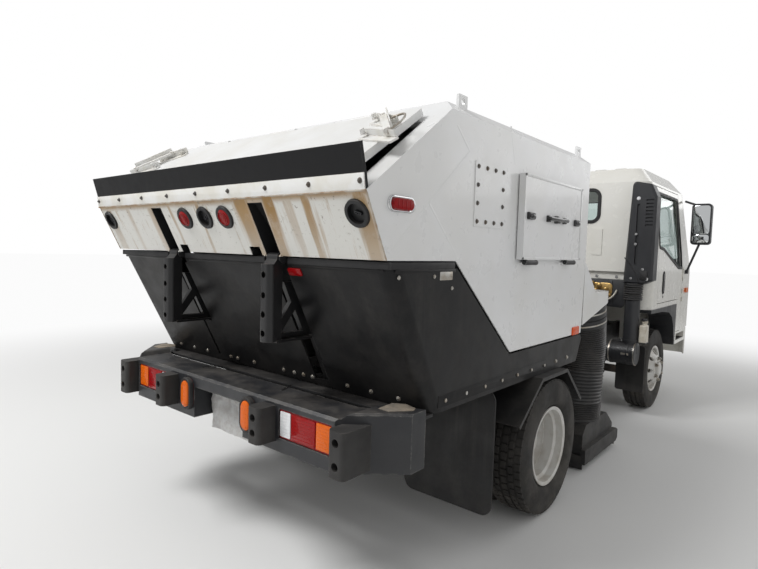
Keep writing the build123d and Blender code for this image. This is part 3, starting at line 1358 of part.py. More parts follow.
# Side doors: flat compartment lids hinged along their lower edge
for side_name, side in (("left", 1), ("right", -1)):
    face_x = side * (HOPPER_X + SIDE_DOOR_STAND)
    outer_x = side * (HOPPER_X + SIDE_DOOR_STAND + SIDE_DOOR_THICK)
    with BuildPart() as side_door:
        block((face_x, outer_x), SIDE_DOOR_Y, SIDE_DOOR_Z)
        for hinge_y in SIDE_HINGE_YS:
            with Locations(Location((side * SIDE_HINGE_X, hinge_y, SIDE_HINGE_Z), (90, 0, 0))):
                Cylinder(SIDE_BARREL_R, SIDE_BARREL)
            block(
                (side * (SIDE_HINGE_X - 6), side * (SIDE_HINGE_X + 6)),
                (hinge_y - SIDE_BARREL / 2, hinge_y + SIDE_BARREL / 2),
                (SIDE_HINGE_Z, SIDE_DOOR_Z[0] + 2),
            )
    side_door.part.label = f"side_door_{side_name}"
    export_step(side_door.part, f"parts/side_door_{side_name}.step")

# Suction inlet: the duct that carries on the hopper's right side and turns down to the hose
INLET_R = (DUCT_X[1] - DUCT_X[0]) / 2
INLET_X = (DUCT_X[1] + DUCT_X[0]) / 2
INLET_Y = 170
DUCT_BACK_Y = HOPPER_FRONT_Y - SEAT_GAP
DUCT_SHEET = 8
RIM_TILT = 13
rim_rise = sin(radians(RIM_TILT)) / cos(radians(RIM_TILT))
RIM_BACK_Z = 1010


def rim_z(y):
    """The height of the inlet's lower rim at a given y."""
    return RIM_BACK_Z + (DUCT_BACK_Y - y) * rim_rise


def duct_plan(inset, z):
    """The inlet seen from above: a straight run that ends in a half round."""
    with BuildSketch(Plane.XY.offset(z)) as plan:
        with Locations((INLET_X, INLET_Y)):
            Circle(INLET_R - inset)
        with Locations((INLET_X, (INLET_Y + DUCT_BACK_Y) / 2)):
            Rectangle(2 * (INLET_R - inset), DUCT_BACK_Y - INLET_Y)
    return plan.sketch


def duct_side(inset):
    """The inlet seen from the side, from the hopper's front wall to its nose."""
    nose_y = INLET_Y - INLET_R - 20
    return [
        (DUCT_BACK_Y, SEAM_Z - 10 - inset),
        (610, SEAM_Z - 10 - inset),
        (406, 1210 - inset),
        (nose_y, 1200 - inset),
        (nose_y, rim_z(nose_y) - inset),
        (DUCT_BACK_Y, RIM_BACK_Z - inset),
    ]


with BuildPart() as duct_cavity:
    extrude(duct_plan(DUCT_SHEET, 900), amount=600)
    extrude(yz_outline(duct_side(DUCT_SHEET), INLET_X), amount=500, both=True, mode=Mode.INTERSECT)
with BuildPart() as inlet_duct:
    extrude(duct_plan(0, 900), amount=600)
    extrude(yz_outline(duct_side(0), INLET_X), amount=500, both=True, mode=Mode.INTERSECT)
    add(duct_cavity.part, mode=Mode.SUBTRACT)
inlet_duct.part.label = "inlet_duct"
export_step(inlet_duct.part, "parts/inlet_duct.step")

# Lift cylinders: barrels that swing on the frame, rods whose eyes meet the hopper floor
BARREL_R = 45
ROD_R = 24
lift_length = hypot(ROD_EYE[0] - LIFT_FOOT[0], ROD_EYE[1] - LIFT_FOOT[1])
lift_angle = degrees(atan2(ROD_EYE[1] - LIFT_FOOT[1], ROD_EYE[0] - LIFT_FOOT[0]))
lift_dir = Vector(0, cos(radians(lift_angle)), sin(radians(lift_angle)))
BARREL_LENGTH = lift_length - 60
ROD_EYE_R = 30
with BuildPart() as lift_barrels:
    for side in (-1, 1):
        foot = Vector(side * LIFT_X, *LIFT_FOOT)
        with BuildSketch(Plane(origin=foot + lift_dir * 24, z_dir=lift_dir)):
            Circle(BARREL_R)
        extrude(amount=BARREL_LENGTH - 24)
        with BuildSketch(Plane(origin=foot + lift_dir * 58, z_dir=lift_dir)):
            Circle(ROD_R + SEAT_GAP)
        extrude(amount=BARREL_LENGTH, mode=Mode.SUBTRACT)
        with Locations(Location(foot, (0, 90, 0))):
            Cylinder(34, 2 * BARREL_R - 8)
        with Locations(Location(foot, (0, 90, 0))):
            Cylinder(PIN_R + SEAT_GAP, 3 * BARREL_R, mode=Mode.SUBTRACT)
lift_barrels.part.label = "lift_barrels"
export_step(lift_barrels.part, "parts/lift_barrels.step")

with BuildPart() as lift_rods:
    for side in (-1, 1):
        foot = Vector(side * LIFT_X, *LIFT_FOOT)
        with BuildSketch(Plane(origin=foot + lift_dir * 60, z_dir=lift_dir)):
            Circle(ROD_R)
        extrude(amount=lift_length - 60 - ROD_EYE_R + 6)
        with Locations(Location(foot + lift_dir * lift_length, (0, 90, 0))):
            Cylinder(ROD_EYE_R, 40)
            Cylinder(PIN_R + 1, 50, mode=Mode.SUBTRACT)
lift_rods.part.label = "lift_rods"
export_step(lift_rods.part, "parts/lift_rods.step")

# Lower shroud: the fixed skirt round the back, under the hopper's seam
SHROUD_SHEET = 12
SHROUD_TOP_Z = 1380
SHROUD_LOW_Z = 794
SHROUD_GAP = 10
SHROUD_FOOT_Y = RAIL_REAR_Y - 34
SHROUD_CORNER_R = 60
HINGE_BAY_X = (330, 464)
OPENING_X = (352, 448)
OPENING_Z = (1040, SHROUD_TOP_Z + 20)
SLIT_Z = (834, 1041)
shroud_outline = [
    (SEAM_REAR_Y - 16, SHROUD_TOP_Z),
    (SHROUD_FOOT_Y, SHROUD_LOW_Z),
    (HOPPER_FRONT_Y + 83, SHROUD_LOW_Z),
    (HOPPER_FRONT_Y + 8, 930),
    (HOPPER_FRONT_Y + 25, HOPPER_BOTTOM_Z - SHROUD_GAP),
    (DIAGONAL_LOW[0] + 10, HOPPER_BOTTOM_Z - SHROUD_GAP),
    (DIAGONAL_TOP[0] - 12, SHROUD_TOP_Z),
]
shroud_inside = [
    (SEAM_REAR_Y - 16 - SHROUD_SHEET, SHROUD_TOP_Z + 1),
    (SHROUD_FOOT_Y - SHROUD_SHEET, SHROUD_LOW_Z - 1),
    (HOPPER_FRONT_Y - 25, SHROUD_LOW_Z - 1),
    (HOPPER_FRONT_Y - 25, SHROUD_TOP_Z + 1),
]


def shroud_form(outline, half, radius):
    """A skirt's solid form between its two sides, with the slanted rear corners rounded."""
    with BuildPart() as form:
        extrude(yz_outline(outline, 0), amount=half, both=True)
        corners = form.edges().filter_by(
            lambda e: e.center().Y > SHROUD_FOOT_Y and abs(abs(e.center().X) - half) < 1
        )
        fillet(corners.filter_by(lambda e: e.length > SHROUD_TOP_Z - SHROUD_LOW_Z), radius)
    return form.part


with BuildPart() as lower_shroud:
    add(shroud_form(shroud_outline, HOPPER_X, SHROUD_CORNER_R))
    add(
        shroud_form(shroud_inside, HOPPER_X - SHROUD_SHEET, SHROUD_CORNER_R - SHROUD_SHEET),
        mode=Mode.SUBTRACT,
    )
    behind_y = (SHROUD_FOOT_Y - 60, REAR_Y)
    for side in (-1, 1):
        block(
            (side * HINGE_BAY_X[0], side * HINGE_BAY_X[1]),
            (SEAM_REAR_Y - 185, REAR_Y),
            (SHROUD_TOP_Z - 25, OPENING_Z[1]),
            mode=Mode.SUBTRACT,
        )
        block(
            (side * OPENING_X[0], side * OPENING_X[1]), behind_y, OPENING_Z, mode=Mode.SUBTRACT
        )
    block((-OPENING_X[1], -OPENING_X[0]), behind_y, SLIT_Z, mode=Mode.SUBTRACT)
    block((OPENING_X[1] - 22, OPENING_X[1] - 4), behind_y, SLIT_Z, mode=Mode.SUBTRACT)
    block(
        (-RAIL_OUT_X - 4, RAIL_OUT_X + 4),
        (SHROUD_FOOT_Y - 66, RAIL_REAR_Y + 50),
        (RAIL_TOP_Z - 35, SHROUD_LOW_Z + 6),
        mode=Mode.SUBTRACT,
    )
    for side in (-1, 1):
        for tie_y in (740, 1900):
            block(
                (side * (RAIL_OUT_X + SEAT_GAP), side * (HOPPER_X - SHROUD_SHEET + 1)),
                (tie_y - 25, tie_y + 25),
                (SHROUD_LOW_Z + 4, SHROUD_LOW_Z + 44),
            )
            block(
                (side * (RAIL_OUT_X + SEAT_GAP), side * (RAIL_OUT_X + 14)),
                (tie_y - 25, tie_y + 25),
                (640, SHROUD_LOW_Z + 44),
            )
lower_shroud.part.label = "lower_shroud"
export_step(lower_shroud.part, "parts/lower_shroud.step")

# Pivot posts: round-faced buffers on trussed brackets that carry the hopper's hinge
POST_IN_X = 362
POST_OUT_X = 432
POST_Y = (PIVOT_Y - 9, PIVOT_Y + 65)
POST_ROUND = 30
POST_Z = (1050, 1376)
POST_BOLT_ZS = (1086, 1166, 1246, 1332)
GUSSET_X = (385, 409)
FOOT_EAR_X = BARREL_R + 9
gusset_outline = [
    (POST_Y[0] + 34, 1300),
    (POST_Y[0] + 34, 1060),
    (POST_Y[0] - 196, 1060),
    (RAIL_REAR_Y - 55, SHROUD_LOW_Z + 6),
    (RAIL_REAR_Y - 55, RAIL_TOP_Z + SEAT_GAP),
    (RAIL_REAR_Y - 220, RAIL_TOP_Z + SEAT_GAP),
    (POST_Y[0] - 206, 1300),
]
# The bracket's two windows, with y measured from the post's front face
BRACE_WINDOWS = (
    ((-140, 1080), (-14, 1080), (-92, 1176)),
    ((6, 1110), (6, 1300), (-26, 1300), (-69, 1212)),
)
lug_outline = [
    (PIVOT_Y + 37, POST_Z[1] - 40),
    (PIVOT_Y + 37, POST_Z[1]),
    (PIVOT_Y + 8, PIVOT_Z + 12),
    (PIVOT_Y - 8, PIVOT_Z + 8),
    (PIVOT_Y - 8, PIVOT_Z - 6),
    (PIVOT_Y + 25, POST_Z[1] - 60),
]
with BuildPart() as pivot_posts:
    with BuildSketch(Plane.XY.offset(POST_Z[0])) as post_plan:
        with Locations(((POST_IN_X + POST_OUT_X) / 2, sum(POST_Y) / 2)):
            Rectangle(POST_OUT_X - POST_IN_X, POST_Y[1] - POST_Y[0])
        fillet(post_plan.vertices().group_by(Axis.Y)[-1], POST_ROUND)
    extrude(amount=POST_Z[1] - POST_Z[0])
    for bolt_z in POST_BOLT_ZS:
        with Locations(Location(((POST_IN_X + POST_OUT_X) / 2, POST_Y[1], bolt_z), (-90, 0, 0))):
            CounterBoreHole(radius=8, counter_bore_radius=14, counter_bore_depth=18, depth=50)
    extrude(yz_outline(gusset_outline, GUSSET_X[0]), amount=GUSSET_X[1] - GUSSET_X[0])
    for window in BRACE_WINDOWS:
        extrude(
            yz_outline([(POST_Y[0] + back, z) for back, z in window], GUSSET_X[0] - 1),
            amount=GUSSET_X[1] - GUSSET_X[0] + 2,
            mode=Mode.SUBTRACT,
        )
    block((POST_IN_X - 6, POST_OUT_X + 6), (POST_Y[0] - 170, POST_Y[0] + 30), (1046, 1058))
    extrude(yz_outline(lug_outline, POST_IN_X), amount=POST_OUT_X - POST_IN_X)
    pivot_middle = (POST_IN_X + POST_OUT_X) / 2
    with Locations(Location((pivot_middle, PIVOT_Y, PIVOT_Z), (0, 90, 0))):
        Cylinder(EAR_R, POST_OUT_X - POST_IN_X)
    with Locations(Location((pivot_middle, PIVOT_Y, PIVOT_Z), (0, 90, 0))):
        Cylinder(PIN_R + SEAT_GAP, 2 * POST_OUT_X, mode=Mode.SUBTRACT)
    for foot_x in (LIFT_X - FOOT_EAR_X, LIFT_X + FOOT_EAR_X):
        block((foot_x - 6, foot_x + 6), (1850, 1950), (LIFT_FOOT[1] - 60, LIFT_FOOT[1] + 36))
    with Locations(Location((LIFT_X, *LIFT_FOOT), (0, 90, 0))):
        Cylinder(PIN_R, 2 * FOOT_EAR_X)
    mirror(about=Plane.YZ)
    block((-RAIL_OUT_X, RAIL_OUT_X), (1840, 1960), (RAIL_TOP_Z + SEAT_GAP, RAIL_TOP_Z + 12))
pivot_posts.part.label = "pivot_posts"
export_step(pivot_posts.part, "parts/pivot_posts.step")

# Rear bumper: a deep beam with swept ends, lamp pockets and a number plate recess
BUMPER_FACE_Y = RAIL_REAR_Y + 290
BUMPER_LOW_Z = 585
BUMPER_TOP_Z = 800
BUMPER_HUMP = 22
BUMPER_HUMP_X = (796, 826)
BUMPER_FLAT_X = 780
BUMPER_END = (1000, BUMPER_FACE_Y - 200)
BUMPER_DEPTH = 240
bumper_plan = [
    (-BUMPER_END[0], RAIL_REAR_Y),
    (-BUMPER_END[0], BUMPER_END[1]),
    (-BUMPER_FLAT_X, BUMPER_FACE_Y),
    (BUMPER_FLAT_X, BUMPER_FACE_Y),
    (BUMPER_END[0], BUMPER_END[1]),
    (BUMPER_END[0], RAIL_REAR_Y),
    (BUMPER_FLAT_X - 40, BUMPER_FACE_Y - BUMPER_DEPTH + 60),
    (-BUMPER_FLAT_X + 40, BUMPER_FACE_Y - BUMPER_DEPTH + 60),
]
bumper_saddle = [
    (-BUMPER_HUMP_X[1], BUMPER_TOP_Z + BUMPER_HUMP + 1),
    (-BUMPER_HUMP_X[0], BUMPER_TOP_Z),
    (BUMPER_HUMP_X[0], BUMPER_TOP_Z),
    (BUMPER_HUMP_X[1], BUMPER_TOP_Z + BUMPER_HUMP + 1),
]
LAMP_X = (452, 765)
LAMP_Z = (645, 770)
OVAL_X = 250
PLATE_X = (-200, 200)
PLATE_DEEP = 110
PLATE_HOLE_X = 90
PLATE_HOLE_Z = 715
PLATE_HOLE_R = 4
with BuildPart() as rear_bumper:
    with BuildSketch(Plane.XY.offset(BUMPER_LOW_Z)):
        with BuildLine():
            Polyline(*bumper_plan, close=True)
        make_face()
    extrude(amount=BUMPER_TOP_Z + BUMPER_HUMP - BUMPER_LOW_Z)
    extrude(xz_outline(bumper_saddle, REAR_Y), amount=REAR_Y, mode=Mode.SUBTRACT)
    swept = rear_bumper.edges().filter_by(lambda e: e.center().Y > BUMPER_END[1] - 10)
    chamfer(swept.group_by(Axis.Z)[-1], 8)
    chamfer(rear_bumper.edges().filter_by(Axis.X).group_by(Axis.Z)[-1].sort_by(Axis.Y)[-1], 10)
    for side in (-1, 1):
        block(
            (side * LAMP_X[0], side * LAMP_X[1]),
            (BUMPER_FACE_Y - 60, BUMPER_FACE_Y + 1),
            LAMP_Z,
            mode=Mode.SUBTRACT,
        )
        block(
            (side * (RAIL_IN_X + 10), side * RAIL_OUT_X),
            (RAIL_REAR_Y + SEAT_GAP, BUMPER_FACE_Y - 170),
            (600, 720),
        )
    block(
        PLATE_X,
        (BUMPER_FACE_Y - PLATE_DEEP, BUMPER_FACE_Y + 1),
        (BUMPER_LOW_Z - 1, 740),
        mode=Mode.SUBTRACT,
    )
    for side in (-1, 1):
        with Locations(
            Location((side * PLATE_HOLE_X, BUMPER_FACE_Y - PLATE_DEEP, PLATE_HOLE_Z), (90, 0, 0))
        ):
            Cylinder(PLATE_HOLE_R, 40, mode=Mode.SUBTRACT)
rear_bumper.part.label = "rear_bumper"
export_step(rear_bumper.part, "parts/rear_bumper.step")

# Bumper blocks: four bolted rubber dock buffers
BLOCK_SPANS = ((350, 430), (800, 885))
BLOCK_DEEP = 90
BLOCK_ROUND = 22
with BuildPart() as bumper_blocks:
    end_slope = (BUMPER_FACE_Y - BUMPER_END[1]) / (BUMPER_END[0] - BUMPER_FLAT_X)
    near_y = BUMPER_FACE_Y - (BLOCK_SPANS[1][0] - BUMPER_FLAT_X) * end_slope
    far_y = BUMPER_FACE_Y - (BLOCK_SPANS[1][1] - BUMPER_FLAT_X) * end_slope
    for span, seats_y, face_y, block_z in (
        (BLOCK_SPANS[0], (BUMPER_FACE_Y, BUMPER_FACE_Y), BUMPER_FACE_Y + BLOCK_DEEP, (625, 780)),
        (BLOCK_SPANS[1], (near_y, far_y), BUMPER_FACE_Y + 60, (600, 780)),
    ):
        with BuildSketch(Plane.XY.offset(block_z[0])) as block_plan:
            with BuildLine():
                Polyline(
                    (span[0], seats_y[0] + SEAT_GAP),
                    (span[1], seats_y[1] + SEAT_GAP),
                    (span[1], face_y),
                    (span[0], face_y),
                    close=True,
                )
            make_face()
            fillet(block_plan.vertices().group_by(Axis.Y)[-1], BLOCK_ROUND)
        extrude(amount=block_z[1] - block_z[0])
        for bolt_z in (block_z[0] + 45, block_z[1] - 45):
            with Locations(Location((sum(span) / 2, face_y, bolt_z), (-90, 0, 0))):
                CounterBoreHole(radius=9, counter_bore_radius=17, counter_bore_depth=30, depth=80)
    mirror(about=Plane.YZ)
bumper_blocks.part.label = "bumper_blocks"
export_step(bumper_blocks.part, "parts/bumper_blocks.step")

# Rear lamps: three-colour clusters in the bumper's pockets and upright oval lamps beside the plate
with BuildPart() as rear_lamps:
    block(
        (LAMP_X[0] + 2, LAMP_X[1] - 2),
        (BUMPER_FACE_Y - 60 + SEAT_GAP, BUMPER_FACE_Y - 6),
        (LAMP_Z[0] + 2, LAMP_Z[1] - 2),
    )
    with BuildSketch(Plane.XZ.offset(-BUMPER_FACE_Y - SEAT_GAP)):
        with Locations((OVAL_X, 700)):
            SlotOverall(160, 90, rotation=90)
    extrude(amount=-20)
    mirror(about=Plane.YZ)
rear_lamps.part.label = "rear_lamps"
export_step(rear_lamps.part, "parts/rear_lamps.step")

# Number plate: a blank thin sheet that hangs in the bumper's recess
with BuildPart() as number_plate:
    plate_back_y = BUMPER_FACE_Y - PLATE_DEEP + SEAT_GAP
    block((-185, 185), (plate_back_y, plate_back_y + 4), (520, 735))
    for side in (-1, 1):
        with Locations(Location((side * PLATE_HOLE_X, plate_back_y, PLATE_HOLE_Z), (90, 0, 0))):
            Cylinder(PLATE_HOLE_R, 40, mode=Mode.SUBTRACT)
number_plate.part.label = "number_plate"
export_step(number_plate.part, "parts/number_plate.step")

# Rear wheel guards: folded plates over the twin tyres, on arms from the rails
FENDER_X = (560, 1060)
FENDER_SHEET = 5
FENDER_LIP = 14
fender_line = [
    (REAR_AXLE_Y - 420, 571),
    (REAR_AXLE_Y - 175, 788),
    (REAR_AXLE_Y + 170, 788),
    (REAR_AXLE_Y + 430, 587),
]
with BuildPart() as rear_fenders:
    with BuildSketch(Plane.YZ.offset(FENDER_X[0])):
        with BuildLine():
            edge = Polyline(*fender_line)
            offset(edge, amount=FENDER_SHEET, side=Side.LEFT)
        make_face()
    extrude(amount=FENDER_X[1] - FENDER_X[0])
    with BuildSketch(Plane.YZ.offset(FENDER_X[1] - FENDER_SHEET)):
        with BuildLine():
            edge = Polyline(*fender_line)
            offset(edge, amount=FENDER_LIP, side=Side.RIGHT)
        make_face()
    extrude(amount=FENDER_SHEET)
    for arm_y in (REAR_AXLE_Y - 100, REAR_AXLE_Y + 120):
        block((RAIL_OUT_X + SEAT_GAP, FENDER_X[0] + 6), (arm_y - 20, arm_y + 20), (690, 730))
        block((FENDER_X[0] - 8, FENDER_X[0] + 6), (arm_y - 20, arm_y + 20), (690, 788))
    mirror(about=Plane.YZ)
rear_fenders.part.label = "rear_fenders"
export_step(rear_fenders.part, "parts/rear_fenders.step")

# Mudflaps behind all wheels
REAR_FLAP_Y = REAR_AXLE_Y + 580
REAR_FLAP_X = (470, 1000)
REAR_FLAP_Z = (160, 790)
FRONT_FLAP_Y = CAB_BACK_Y - 65
with BuildPart() as mudflaps:
    with BuildSketch(Plane.XZ.offset(-REAR_FLAP_Y)):
        with Locations((sum(REAR_FLAP_X) / 2, sum(REAR_FLAP_Z) / 2)):
            RectangleRounded(REAR_FLAP_X[1] - REAR_FLAP_X[0], REAR_FLAP_Z[1] - REAR_FLAP_Z[0], 60)
    extrude(amount=8)
    block((RAIL_OUT_X + SEAT_GAP, 620), (REAR_FLAP_Y - 30, REAR_FLAP_Y - 8), (690, 730))
    with BuildSketch(Plane.XZ.offset(-FRONT_FLAP_Y)):
        with Locations((840, 445)):
            RectangleRounded(240, 420, 20)
    extrude(amount=8)
    block((RAIL_OUT_X + SEAT_GAP, 800), (FRONT_FLAP_Y - 30, FRONT_FLAP_Y - 8), (560, 600))
    mirror(about=Plane.YZ)
mudflaps.part.label = "mudflaps"
export_step(mudflaps.part, "parts/mudflaps.step")

# Pickup head: the wide suction box between the axles, hung from the rails by four links
HEAD_X = 1010
HEAD_LOW_Z = 96
HEAD_TOP_Z = 300
head_profile = [
    (-210, HEAD_LOW_Z),
    (420, HEAD_LOW_Z),
    (420, 240),
    (360, HEAD_TOP_Z),
    (-60, HEAD_TOP_Z),
    (-210, 190),
]
runner_profile = [
    (-260, 70),
    (-225, 50),
    (440, 50),
    (440, 150),
    (-225, 150),
    (-260, 130),
]
HOSE_R = 185
HOSE_FOOT = (-815, 190)
PRESSURE_R = 130
PRESSURE_X = 640
PRESSURE_Y = 200
with BuildPart() as pickup_head:
    extrude(yz_outline(head_profile, 0), amount=HEAD_X - 30, both=True)
    extrude(
        grown(head_profile, -14, 0),
        amount=HEAD_X - 50,
        both=True,
        mode=Mode.SUBTRACT,
    )
    block(
        (-HEAD_X + 60, HEAD_X - 60), (-180, 400), (HEAD_LOW_Z - 10, 130), mode=Mode.SUBTRACT
    )
    for side in (-1, 1):
        extrude(yz_outline(runner_profile, side * (HEAD_X - 30)), amount=side * 30)
        for link_y in (-20, 320):
            block(
                (side * 395, side * 421),
                (link_y - 20, link_y + 20),
                (HEAD_TOP_Z - 4, RAIL_LOW_Z - SEAT_GAP),
            )
    with Locations((HOSE_FOOT[0], HOSE_FOOT[1], HEAD_TOP_Z + 20)):
        Cylinder(HOSE_R - 18, 60)
    with Locations((PRESSURE_X, PRESSURE_Y, HEAD_TOP_Z + 20)):
        Cylinder(PRESSURE_R - 18, 60)
    with Locations((HOSE_FOOT[0], HOSE_FOOT[1], HEAD_TOP_Z)):
        Cylinder(HOSE_R - 26, 300, mode=Mode.SUBTRACT)
    with Locations((PRESSURE_X, PRESSURE_Y, HEAD_TOP_Z)):
        Cylinder(PRESSURE_R - 26, 300, mode=Mode.SUBTRACT)
pickup_head.part.label = "pickup_head"
export_step(pickup_head.part, "parts/pickup_head.step")

# Blower: the round fan housing at the front left, with its outlet turned down
FAN_X = (500, 780)
FAN_Y = HOPPER_FRONT_Y - 390
FAN_Z = 1135
FAN_R = 325
with BuildPart() as blower_housing:
    with Locations(Location((sum(FAN_X) / 2, FAN_Y, FAN_Z), (0, 90, 0))):
        Cylinder(FAN_R, FAN_X[1] - FAN_X[0])
    block(FAN_X, (FAN_Y - FAN_R, FAN_Y + 60), (820, FAN_Z))
    with Locations((PRESSURE_X, PRESSURE_Y - 60, 770)):
        Cylinder(PRESSURE_R - 14, 120)
    foot_z = (RAIL_TOP_Z + SEAT_GAP, RAIL_TOP_Z + 16)
    block((RAIL_IN_X, FAN_X[0] - 5), (FAN_Y - 90, FAN_Y + 90), foot_z)
    block((RAIL_IN_X, RAIL_IN_X + 20), (FAN_Y - 90, FAN_Y + 90), (RAIL_TOP_Z + 2, 1000))
    block((RAIL_IN_X, FAN_X[0] + 4), (FAN_Y - 90, FAN_Y + 90), (980, 1000))
blower_housing.part.label = "blower_housing"
export_step(blower_housing.part, "parts/blower_housing.step")

# Hoses: the wide suction hose on the right and the pressure hose on the left
HOSE_TOP_GAP = 8


def hose_stack(sections, radius, wall):
    """A hose with a straight middle, as a loft through round sections with a through bore."""
    outer = []
    inner = []
    for origin, tilt in sections:
        plane = Plane(origin=origin, x_dir=(1, 0, 0), z_dir=Vector(0, 0, 1).rotate(Axis.X, tilt))
        with BuildSketch(plane) as ring:
            Circle(radius)
        with BuildSketch(plane) as bore:
            Circle(radius - wall)
        outer.append(ring.sketch)
        inner.append(bore.sketch)
    with BuildPart() as hose:
        loft(outer, ruled=True)
        loft(inner, ruled=True, mode=Mode.SUBTRACT)
    return hose.part


rim_mid_z = rim_z(INLET_Y) - HOSE_TOP_GAP
suction_sections = (
    ((HOSE_FOOT[0], HOSE_FOOT[1], HEAD_TOP_Z + SEAT_GAP), 0),
    ((HOSE_FOOT[0], HOSE_FOOT[1] - 5, 420), 3),
    ((INLET_X, 140, 640), 6),
    ((INLET_X, 115, 800), -2),
    ((INLET_X, INLET_Y - 35, 960), -RIM_TILT),
    ((INLET_X, INLET_Y, rim_mid_z), -RIM_TILT),
)
pressure_sections = (
    ((PRESSURE_X, PRESSURE_Y, HEAD_TOP_Z + SEAT_GAP), 0),
    ((PRESSURE_X, PRESSURE_Y, 400), 0),
    ((PRESSURE_X, PRESSURE_Y - 60, 620), 0),
    ((PRESSURE_X, PRESSURE_Y - 60, FAN_Z - FAN_R - 5), 0),
)
with BuildPart() as hoses:
    add(hose_stack(suction_sections, HOSE_R, 12))
    add(hose_stack(pressure_sections, PRESSURE_R, 12))
hoses.part.label = "hoses"
export_step(hoses.part, "parts/hoses.step")
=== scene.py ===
"""Dresses a cab-over street sweeper truck: finishes, tyres, seats, fastenings and small trim.

Lengths are in metres. The vehicle's front points to -Y, its left side is +X and the ground is
at z 0, as in the solid model that the script starts from.
"""

from __future__ import annotations

import json
import logging
import math
from dataclasses import dataclass
from enum import Enum
from typing import Sequence

import bmesh
import bpy
from mathutils import Matrix, Vector, noise

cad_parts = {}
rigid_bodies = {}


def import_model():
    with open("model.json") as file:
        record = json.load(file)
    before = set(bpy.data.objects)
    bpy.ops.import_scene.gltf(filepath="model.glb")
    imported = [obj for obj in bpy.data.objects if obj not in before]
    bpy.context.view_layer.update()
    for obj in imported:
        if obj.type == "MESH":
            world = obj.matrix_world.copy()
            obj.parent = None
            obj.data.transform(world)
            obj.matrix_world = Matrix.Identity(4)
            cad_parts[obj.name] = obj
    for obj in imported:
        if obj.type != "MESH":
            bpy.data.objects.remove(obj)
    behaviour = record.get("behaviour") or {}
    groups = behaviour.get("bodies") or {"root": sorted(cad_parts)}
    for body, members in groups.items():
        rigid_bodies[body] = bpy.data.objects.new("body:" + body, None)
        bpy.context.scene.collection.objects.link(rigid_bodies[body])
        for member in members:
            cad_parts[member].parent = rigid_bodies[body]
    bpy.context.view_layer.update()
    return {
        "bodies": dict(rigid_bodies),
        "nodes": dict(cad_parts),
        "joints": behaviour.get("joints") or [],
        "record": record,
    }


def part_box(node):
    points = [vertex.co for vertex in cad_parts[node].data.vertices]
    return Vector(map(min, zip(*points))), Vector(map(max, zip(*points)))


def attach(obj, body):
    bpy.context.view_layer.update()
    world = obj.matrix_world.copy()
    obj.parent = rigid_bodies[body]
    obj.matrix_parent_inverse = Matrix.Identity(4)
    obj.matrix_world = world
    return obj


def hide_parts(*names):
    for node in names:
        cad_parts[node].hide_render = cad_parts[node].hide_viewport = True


LOG = logging.getLogger("sweeper")

Flat = tuple[float, float]
Point = tuple[float, float, float]
Colour = tuple[float, float, float]
Node = bpy.types.Node
Tree = bpy.types.NodeTree
Socket = bpy.types.NodeSocket
Material = bpy.types.Material


class Side(Enum):
    """The two sides of the vehicle, by the sign of x."""

    LEFT = 1
    RIGHT = -1

    @property
    def word(self) -> str:
        """The side's name as it stands in node and body names."""
        return self.name.lower()


# Shader building


